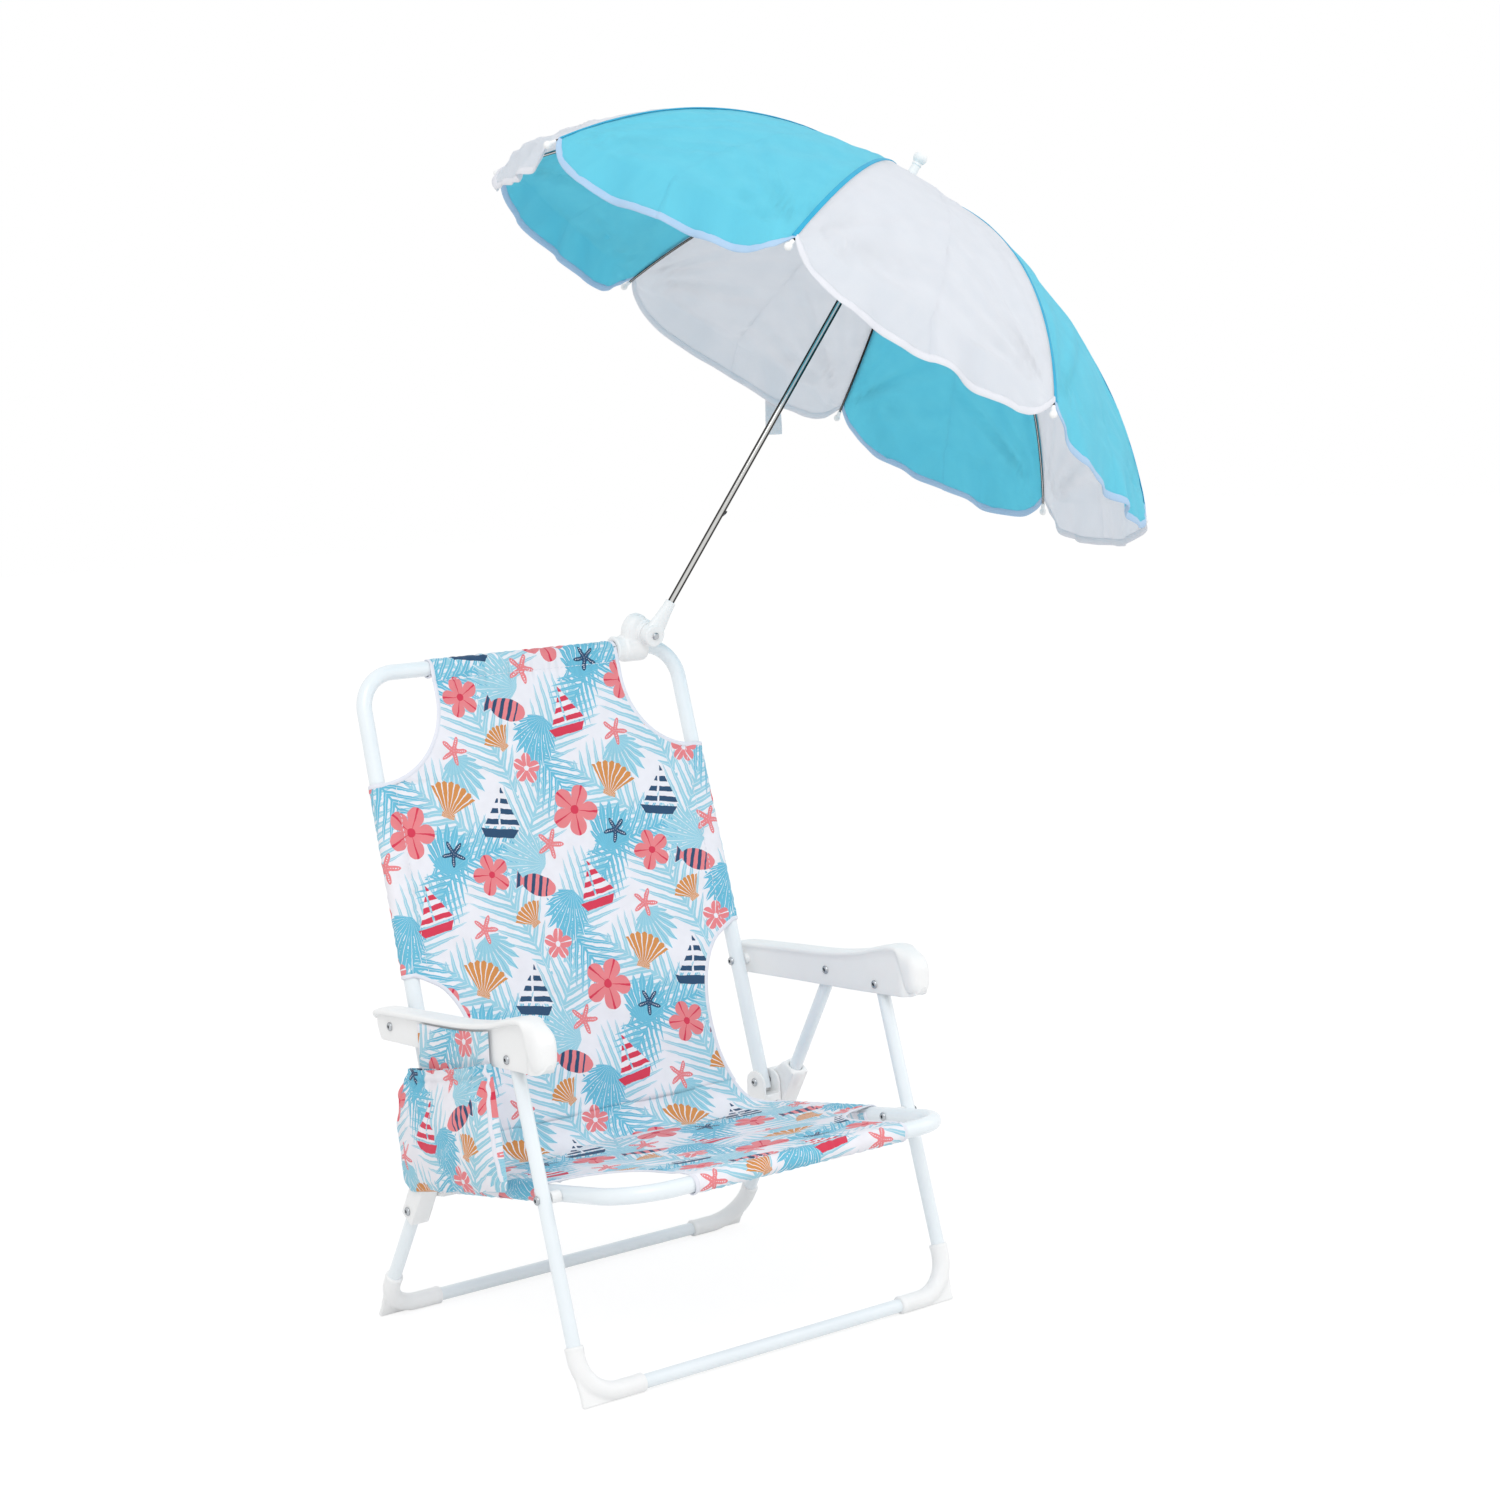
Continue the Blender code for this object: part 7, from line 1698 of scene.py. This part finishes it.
class CHAIR_OT_boots(Operator):
    """Moulds a sleeve on each floor corner: a bent bar with end collars, a heel fin and a flat sole in one skin."""

    bl_idname = "beach_chair.boots"
    bl_label = "Boots"

    def execute(self, context):
        for kind, ends, body in (("front", front_leg_ends(), "front_legs"), ("rear", rear_leg_ends(), "rear_legs")):
            end, corner = (np.array(point) for point in ends)
            up, inward = unit(end - corner), np.array((-1.0, 0, 0))
            leg_end, bar_end = corner + up * (LEG_BEND + 9 * MM), corner + inward * (LEG_BEND + 24 * MM)
            hint = unit(np.cross(up, inward))
            path = round_corners((leg_end, corner, bar_end), LEG_BEND, 24)
            collars = [
                bar((stop, stop + way * 4.2 * MM), BOOT_RADIUS + 0.35 * MM, hint, 40, 1 * MM)
                for stop, way in ((leg_end, -up), (bar_end, -inward))
            ]
            outline = (
                corner + inward * LEG_BEND - up * 8 * MM,
                corner - inward * 3.0 * MM - up * 8 * MM,
                corner - inward * 2.6 * MM,
                corner - inward * LEG_RADIUS + up * 30 * MM,
                corner - inward * (LEG_RADIUS - 1 * MM) + up * 36 * MM,
                corner + up * 31 * MM,
                corner + inward * 31 * MM,
            )
            fin = slab(outline, hint, 4.4 * MM, 0.8 * MM)
            shapes = [bar(path, BOOT_RADIUS, hint, 40, 1 * MM), *collars, fin]
            for side, sign in SIDES:
                name = f"{kind}_boot_{side}"
                flat = [np.maximum(shape, np.array((-9.0, -9.0, 0.0))) for shape in shapes]
                mesh = make_mesh(name, [surface(mirrored(shape, sign), wrap=True) for shape in flat])
                mesh = soften(mesh, 0.9 * MM, 6)
                add_piece(name + "_moulding", mesh, [material("plastic")], body, (name,))
        return {"FINISHED"}


class CHAIR_OT_mouldings(Operator):
    """Rounds the hinge blocks, leg saddles, clamp and mast socket as they leave the mould, and finishes the spacers."""

    bl_idname = "beach_chair.mouldings"
    bl_label = "Blocks, saddles and clamp"

    def execute(self, context):
        jobs = [(f"seat_block_{side}", "seat", (), 0.6 * MM, 8) for side, _ in SIDES]
        jobs += [(f"leg_saddle_{side}", "rear_legs", saddle_cup(sign), 0.7 * MM, 26) for side, sign in SIDES]
        for node, body, extra, voxel, rounds in jobs:
            mesh = soften(node_copy(node, extra=extra), voxel, rounds)
            add_piece(node + "_moulding", mesh, [material("plastic")], body, (node,))
        for name, shapes, body, voxel, rounds in (
            ("bar_clamp", clamp_shapes(), "clamp", 0.6 * MM, 12),
            ("mast_socket", socket_shapes(), "mast", 0.5 * MM, 8),
        ):
            mesh = soften(make_mesh(name, [surface(shape, wrap=True) for shape in shapes]), voxel, rounds)
            add_piece(name + "_moulding", mesh, [material("plastic")], body, (name,))
        for side, _ in SIDES:
            dress(f"seat_spacer_{side}", "plastic")
        return {"FINISHED"}


def dress(node, finish):
    """Gives a CAD node that stays its material."""
    obj = frame["nodes"][node]
    if not obj.material_slots:
        obj.data.materials.append(material(finish))
    for each in obj.material_slots:
        each.material = material(finish)


class CHAIR_OT_armrests(Operator):
    """Moulds the armrests: loops over the crowned lip, down both skirts and up into the channel between them."""

    bl_idname = "beach_chair.armrests"
    bl_label = "Armrests"

    def execute(self, context):
        loops = capped(armrest_loops())
        boss_low = back_x(ARM_BACK_Z) + MAIN_RADIUS + 0.3 * MM
        profile = (
            (0, boss_low), (4.6 * MM, boss_low), (5.2 * MM, boss_low + 0.6 * MM), (5.2 * MM, ARM_SKIRT_IN + 0.2 * MM),
            (6.2 * MM, ARM_SKIRT_IN + 0.6 * MM), (6.2 * MM, ARM_SKIRT_IN + 1.4 * MM), (0, ARM_SKIRT_IN + 1.4 * MM),
        )  # fmt: skip
        for side, sign in SIDES:
            name = f"armrest_{side}"
            boss = along_x(lathe(profile, 36), ARM_BACK_Y, ARM_BACK_Z, sign)
            parts = [surface(mirrored(loops, sign), wrap=True), surface(boss, wrap=True)]
            mesh = make_mesh(name, parts, sharp=50)
            add_piece(name + "_moulding", mesh, [material("plastic")], "armrests", (name,))
        return {"FINISHED"}


class CHAIR_OT_rivets(Operator):
    """Sets the tubular rivets, and finishes the tilt screw and the catches."""

    bl_idname = "beach_chair.rivets"
    bl_label = "Rivets"

    def execute(self, context):
        saddle_out = rear_leg_x(SADDLE_Z) + LEG_RADIUS + 2.2 * MM
        block_out, block_in = HINGE_X + 9.8 * MM, HINGE_X - 9.8 * MM
        jobs = (
            ("front_leg", SEAT_PIVOT_Y, SEAT_PIVOT_Z, seat_x(SEAT_PIVOT_Y) - MAIN_RADIUS, LEG_X + LEG_RADIUS, "seat",
                1.9),
            ("back_pivot", BACK_PIVOT_Y, BACK_PIVOT_Z, block_in, block_out - 1.5 * MM, "seat", 1.1),
            ("arm_front", ARM_FRONT_Y, ARM_FRONT_Z, ARM_SKIRT_IN, ARM_SKIRT_OUT, "armrests", 1.9),
            ("arm_middle", REAR_PIVOT_Y, REAR_PIVOT_Z, ARM_SKIRT_IN, ARM_SKIRT_OUT, "armrests", 1.9),
            ("arm_rear", ARM_BACK_Y, ARM_BACK_Z, back_x(ARM_BACK_Z) - MAIN_RADIUS, ARM_SKIRT_OUT, "armrests", 1.9),
            ("saddle", SADDLE_Y, SADDLE_Z, block_out + 2.9 * MM, saddle_out, "rear_legs", 1.9),
        )
        for kind, y, z, low, high, body, head in jobs:
            for side, sign in SIDES:
                name = f"{kind}_rivet_{side}"
                mesh = make_mesh(name, [rivet(y, z, low, high, sign, head * MM)])
                # The second material paints the shade inside each rivet's hollow
                materials = [material("zinc"), material("dark_steel_and_hollow_shade")]
                add_piece(name + "_turned", mesh, materials, body, (name,))
        dress("tilt_screw", "zinc")
        for node in ("open_catch", "closed_catch"):
            dress(node, "dark_steel_and_hollow_shade")
        return {"FINISHED"}


class CHAIR_OT_sling(Operator):
    """Sews the sling: back and seat dip between the tubes and wrap them, and a strip joins them at the crease."""

    bl_idname = "beach_chair.sling"
    bl_label = "Sling"

    def execute(self, context):
        add_cloth("back_cloth", back_cloth(), "back", "back_sling", False)
        add_cloth("seat_cloth", seat_cloth(), "seat", "seat_sling", True)
        points, uv, normals = crease_cloth()
        mesh = make_mesh("crease_cloth", [surface(points + CHAIR, uv=uv)], recalculate=False, sharp=75)
        strip = add_piece("crease_cloth", mesh, [material("print"), material("sling_back")], None, (),
            False)
        thicken(strip, context.scene.cloth_finish.thickness)
        edges = [binding(points[:, i] + CHAIR, normals[:, i]) for i in (0, -1)]
        tape = add_piece("crease_tape", make_mesh("crease_tape", edges), [material("binding")], None, (),
            False)
        for piece in (strip, tape):
            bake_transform(piece)
        return {"FINISHED"}


class CHAIR_OT_pocket(Operator):
    """Gathers the side pocket on its flap, and sews its thread and the tape of its front edge."""

    bl_idname = "beach_chair.pocket"
    bl_label = "Side pocket"

    def execute(self, context):
        points, uv = pocket_loops()
        mesh = make_mesh("side_pocket", [surface(capped(points) + CHAIR, wrap=True,
            uv=np.concatenate((uv[:1], uv, uv[-1:])))], sharp=80)
        pouch = add_piece("side_pocket_cloth", mesh, [material("print")], "armrests", ("side_pocket",))
        y = np.linspace(57 * MM, -59 * MM, 120)
        rise = np.linspace(0, 1, 16)[:, None]
        low = 259 * MM - (y - 6.5 * MM) * math.tan(math.radians(11)) - 13 * MM
        share = (ARM_REAR_Y - y) / ARM_LENGTH
        top_line = curve_through(ARM_TOP_SHARES, 10)
        high = ARM_BASE_Z + ARM_HEIGHT * np.interp(share, top_line[:, 0], top_line[:, 1]) - 7.5 * MM
        z = low + (high - low) * rise
        x = 207.2 * MM + 0.45 * MM * bumps(y[None] + 0 * rise, 9 * MM, 71) * (1 - rise)
        x = np.minimum(x, 208.2 * MM)
        grid = np.stack(np.broadcast_arrays(-x, y[None], z), axis=-1)
        flap_uv = np.stack(np.broadcast_arrays(y[None], z + 0.2), axis=-1)
        flap_mesh = make_mesh("pocket_flap", [surface(grid + CHAIR, uv=flap_uv)], recalculate=False)
        flap = add_piece("pocket_flap", flap_mesh, [material("print"), material("sling_back")], "armrests", ())
        thicken(flap, 0.8 * MM)
        outer = points[:60]
        normals = grid_normals(outer, wrap=True)
        normals = normals * np.where((normals[..., :1] * -1).mean() > 0, 1.0, -1.0)
        threads = []
        for level in (0.9, 0.965):
            row = 59 * (level ** (1 / 0.8))
            columns = np.arange(12, 98, 1.0)
            path, lift = between(outer, normals, np.full(len(columns), row), columns)
            threads.append(stitches(path + lift * 0.35 * MM + CHAIR, lift, 3.6 * MM, 2.5 * MM, 0.4 * MM))
        column = 98
        edge = outer[3:, column]
        threads.append(binding(edge + CHAIR, normals[3:, column], 4 * MM, 1.6 * MM))
        trim = add_piece("side_pocket_trim", make_mesh("side_pocket_trim", threads), [material("binding")], "armrests")
        return {"FINISHED"}


class CHAIR_OT_canopy(Operator):
    """Sews the canopy: eight panels, each between the middles of two gores."""

    bl_idname = "beach_chair.canopy"
    bl_label = "Canopy"

    def execute(self, context):
        for rib in range(GORES):
            name = f"canopy_panel_{rib + 1}"
            names = ("blue", "white", "seam", "blue_edge", "white_edge")
            mesh = make_mesh(name, canopy_panel(rib), sharp=60)
            panel = add_piece(name, mesh, [material(each) for each in names], f"rib_{rib + 1}", ("canopy",))
            fold_with_rib(panel)
        return {"FINISHED"}


def fold_with_rib(piece):
    """Gives a piece of cloth its own copy of its mesh."""
    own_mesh(piece)


class CHAIR_OT_ribs(Operator):
    """Bends the ribs under the canopy, with their white tips, and the stretchers that push them out."""

    bl_idname = "beach_chair.ribs"
    bl_label = "Ribs and stretchers"

    def execute(self, context):
        for rib in range(GORES):
            name = f"rib_{rib + 1}"
            mesh = make_mesh(name, rib_surfaces(rib))
            add_piece(name + "_wire", mesh, [material("chrome"), material("plastic")], name, (name,))
            name = f"stretcher_{rib + 1}"
            mesh = make_mesh(name, stretcher_surfaces(rib))
            add_piece(name + "_wire", mesh, [material("chrome")], name, (name,))
        return {"FINISHED"}


class CHAIR_OT_mast(Operator):
    """Turns the mast's tube, crown, cap and runner: profiles about the mast's axis."""

    bl_idname = "beach_chair.mast"
    bl_label = "Mast"

    def execute(self, context):
        tube = surface(from_mast(bar(((0, 0, 11.5 * MM), (0, 0, 250 * MM), (0, 0, 487.7 * MM)), MAST_RADIUS,
            (1, 0, 0), 40)), wrap=True)
        add_piece("mast_tube_drawn", make_mesh("mast_tube", [tube]), [material("chrome")], "mast", ("mast_tube",))
        low, high = CROWN_HEIGHT - 4 * MM, CROWN_HEIGHT + 4 * MM
        crown = (
            (3.3 * MM, low), (6.2 * MM, low), (7.4 * MM, low + 0.5 * MM), (8.2 * MM, low + 1.4 * MM),
                (8.2 * MM, low + 3.2 * MM),
            (7.5 * MM, low + 3.5 * MM), (7.5 * MM, low + 4.5 * MM), (8.2 * MM, low + 4.8 * MM),
                (8.2 * MM, high - 1.0 * MM),
            (7.5 * MM, high), (3.3 * MM, high), (3.3 * MM, low),
        )  # fmt: skip
        add_piece("crown_turned", make_mesh("crown", [turned_on_mast(crown)]), [material("plastic")], "mast",
            ("crown",))
        base = APEX + 0.75 * MM
        ball = base + 40 * MM - 6.9 * MM
        turn = np.linspace(-0.86, math.pi / 2, 14)
        knob = np.stack((6.9 * MM * np.cos(turn), ball + 6.9 * MM * np.sin(turn)), axis=1)
        stem = np.array((
            (0, base), (8.6 * MM, base), (9.0 * MM, base + 0.5 * MM), (8.9 * MM, base + 1.1 * MM),
                (7.4 * MM, base + 1.9 * MM),
            (6.2 * MM, base + 2.8 * MM), (5.5 * MM, base + 5 * MM), (5.0 * MM, base + 10 * MM),
                (4.6 * MM, base + 18 * MM),
            (4.3 * MM, ball - 8.4 * MM), (4.9 * MM, ball - 7.8 * MM), (4.9 * MM, ball - 6.5 * MM),
                (4.3 * MM, ball - 5.9 * MM),
        ))  # fmt: skip
        cap = np.concatenate((stem, knob))
        add_piece("ferrule_cap_turned", make_mesh("cap", [turned_on_mast(cap)]), [material("plastic")], "mast",
            ("ferrule_cap",))
        top, foot = RUNNER_HEIGHT + 2.5 * MM, RUNNER_HEIGHT + 2.5 * MM - 26 * MM
        runner = (
            (3.6 * MM, foot), (4.7 * MM, foot), (5.4 * MM, foot + 0.7 * MM), (5.4 * MM, foot + 3 * MM),
                (5.0 * MM, foot + 3.5 * MM),
            (5.0 * MM, foot + 5.5 * MM), (5.4 * MM, foot + 6 * MM), (5.4 * MM, top - 6.4 * MM),
                (5.8 * MM, top - 5.4 * MM),
            (7.4 * MM, top - 5.0 * MM), (8.2 * MM, top - 4.3 * MM), (8.2 * MM, top - 3.0 * MM),
                (7.5 * MM, top - 2.8 * MM),
            (7.5 * MM, top - 2.2 * MM), (8.2 * MM, top - 2.0 * MM), (8.2 * MM, top - 0.7 * MM), (7.6 * MM, top),
                (3.6 * MM, top),
            (3.6 * MM, foot),
        )  # fmt: skip
        add_piece("runner_turned", make_mesh("runner", [turned_on_mast(runner)]), [material("plastic")], "runner",
            ("runner",))
        return {"FINISHED"}


class CHAIR_OT_strap(Operator):
    """Hangs the closing strap from the hem: a band of webbing that curves as it hangs, with a folded end."""

    bl_idname = "beach_chair.strap"
    bl_label = "Closing strap"

    def execute(self, context):
        gore, across = 5, np.array([-0.4, -0.4 - 18 * MM / CANOPY_RADIUS])
        places = hem_points(gore, across, np.ones(2))
        down = np.array((0.0, 0.0, -1.0)) @ MAST_TURN
        aside = unit(places[1] - places[0])
        level = unit(aside - down * aside.dot(down))
        through = unit(np.cross(down, level))
        t = np.linspace(0, 1, 24)[:, None]
        wide = unit(aside * (1 - t) + level * t)
        line = places[0] + down * (t * 37 * MM - 1.5 * MM) + through * (1.6 * MM * np.sin(math.pi * t * 1.1))
        turns = np.arange(28) * 2 * math.pi / 28
        profile = np.stack((signed_power(np.cos(turns), 0.35) * 9 * MM, np.sin(turns) * 0.65 * MM), axis=1)
        swell = 1 + 0.35 * (t > 0.86)
        normal = unit(np.cross(wide, np.gradient(line, axis=0)))
        loops = line[:, None] + wide[:, None] * profile[:, :1] + normal[:, None] * profile[:, 1:] * swell[..., None]
        part = surface(from_mast(capped(loops)), wrap=True, uv=tape_uv(line, 28, 18 * MM))
        strap = add_piece("closing_strap_webbing", make_mesh("strap", [part]), [material("webbing")], "rib_6",
            ("closing_strap",))
        fold_with_rib(strap)
        return {"FINISHED"}


class CHAIR_OT_stage(Operator):
    """Sets the pale floor, the soft lamps and the camera of the photograph."""

    bl_idname = "beach_chair.stage"
    bl_label = "Stage"

    def execute(self, context):
        look = context.scene.stage_look
        size = 14.0
        corners = np.array(((-size, -size, 0), (size, -size, 0), (size, size, 0), (-size, size, 0))) - np.array((0, 0,
            0.0004))
        mesh = bpy.data.meshes.new("floor")
        mesh.from_pydata(corners.tolist(), [], [(0, 1, 2, 3)])
        floor = bpy.data.objects.new("floor", mesh)
        context.scene.collection.objects.link(floor)
        made, tree, output = new_material("white_studio_floor")
        # The eye and the mirrors see it almost white, and it keeps the shadow of what stands on it
        rays = add_node(tree, "LightPath")
        seen = add_node(
            tree, "Math", {0: rays.outputs["Is Camera Ray"], 1: rays.outputs["Is Glossy Ray"]}, operation="MAXIMUM"
        )
        seen = add_node(tree, "Math", {0: seen.outputs[0], 1: rays.outputs["Is Transmission Ray"]}, operation="MAXIMUM")
        share = add_node(tree, "Math", {0: seen.outputs[0], 1: 0.72}, operation="MULTIPLY")
        matt = add_node(tree, "BsdfDiffuse", {"Color": linear("F2F2F2")})
        glow = add_node(tree, "Emission", {"Color": (1, 1, 1, 1), "Strength": 1.12})
        mixed = add_node(tree, "MixShader", {"Fac": share.outputs[0], 1: matt.outputs[0], 2: glow.outputs[0]})
        finish_material(tree, output, mixed)
        mesh.materials.append(made)
        world = bpy.data.worlds.new("studio")
        world.use_nodes = True
        tree = world.node_tree
        tree.nodes.clear()
        rays = add_node(tree, "LightPath")
        seen = add_node(
            tree, "Math", {0: rays.outputs["Is Camera Ray"], 1: rays.outputs["Is Transmission Ray"]},
                operation="MAXIMUM"
        )
        seen = add_node(tree, "Math", {0: seen.outputs[0], 1: rays.outputs["Is Glossy Ray"]}, operation="MAXIMUM")
        bright = add_node(tree, "MapRange", {"Value": seen.outputs[0], "To Min": look.ambient, "To Max": 1.0})
        back = add_node(tree, "Background", {"Color": (1, 1, 1, 1), "Strength": bright.outputs["Result"]})
        tree.links.new(back.outputs[0], add_node(tree, "OutputWorld").inputs[0])
        context.scene.world = world
        middle = Vector((0, 0, 0.5))
        for name, place, power, width in (
            ("key_lamp", (-1.3, -1.7, 2.3), look.key_power, 1.5),
            ("fill_lamp", (2.1, -1.3, 1.4), look.fill_power, 1.8),
        ):
            lamp = bpy.data.lights.new(name, "AREA")
            lamp.energy, lamp.size, lamp.shape = power, width, "SQUARE"
            obj = bpy.data.objects.new(name, lamp)
            obj.location = place
            obj.rotation_euler = (middle - Vector(place)).to_track_quat("-Z", "Y").to_euler()
            context.scene.collection.objects.link(obj)
        context.scene.view_settings.view_transform = "Standard"
        add_camera(context)
        return {"FINISHED"}


def add_camera(context):
    """The photograph's view: 36.7 degrees to the left of the front, 7 degrees up, a 66 mm lens at 2.34 m."""
    around, above, roll = math.radians(-36.69), math.radians(6.99), math.radians(-2.54)
    right = np.array((math.cos(around), math.sin(around), 0))
    back = np.array((math.sin(around) * math.cos(above), -math.cos(around) * math.cos(above), math.sin(above)))
    up = np.cross(back, right)
    right, up = math.cos(roll) * right + math.sin(roll) * up, -math.sin(roll) * right + math.cos(roll) * up
    target = np.array((35.0, -112.7, 510.2)) * MM + CHAIR
    place = target + back * 2339 * MM
    turn = Matrix((right, up, back)).transposed().to_4x4()
    data = bpy.data.cameras.new("photograph")
    data.sensor_fit, data.sensor_width, data.lens = "HORIZONTAL", 36.0, 36.0 * 2746.6 / 1500
    data.clip_start, data.clip_end = 0.05, 100
    camera = bpy.data.objects.new("photograph", data)
    camera.matrix_world = Matrix.Translation(Vector(place)) @ turn
    context.scene.collection.objects.link(camera)
    context.scene.camera = camera


OPERATORS = (
    CHAIR_OT_tubes,
    CHAIR_OT_boots,
    CHAIR_OT_mouldings,
    CHAIR_OT_armrests,
    CHAIR_OT_rivets,
    CHAIR_OT_sling,
    CHAIR_OT_pocket,
    CHAIR_OT_ribs,
    CHAIR_OT_canopy,
    CHAIR_OT_mast,
    CHAIR_OT_strap,
    CHAIR_OT_stage,
)


class CHAIR_PT_pieces(Panel):
    """Lists the chair's pieces and what a user would change."""

    bl_idname = "CHAIR_PT_pieces"
    bl_label = "Umbrella Beach Chair"
    bl_space_type = "VIEW_3D"
    bl_region_type = "UI"
    bl_category = "Beach Chair"

    def draw(self, context):
        for each in OPERATORS:
            self.layout.operator(each.bl_idname)
        for group in (context.scene.chair_finish, context.scene.cloth_finish, context.scene.canopy_finish,
            context.scene.stage_look):
            box = self.layout.box()
            for name in group.bl_rna.properties.keys():
                if name not in ("name", "rna_type"):
                    box.prop(group, name)


GROUPS = (
    (ChairFinish, "chair_finish"),
    (ClothFinish, "cloth_finish"),
    (CanopyFinish, "canopy_finish"),
    (StageLook, "stage_look"),
)


def register():
    for group, name in GROUPS:
        bpy.utils.register_class(group)
        setattr(bpy.types.Scene, name, PointerProperty(type=group))
    for each in (*OPERATORS, CHAIR_PT_pieces):
        bpy.utils.register_class(each)


def unregister():
    for each in (CHAIR_PT_pieces, *reversed(OPERATORS)):
        bpy.utils.unregister_class(each)
    for group, name in reversed(GROUPS):
        delattr(bpy.types.Scene, name)
        bpy.utils.unregister_class(group)


def main():
    register()
    for each in OPERATORS:
        area, piece = each.bl_idname.split(".")
        getattr(getattr(bpy.ops, area), piece)()
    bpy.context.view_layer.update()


if __name__ == "__main__":
    main()
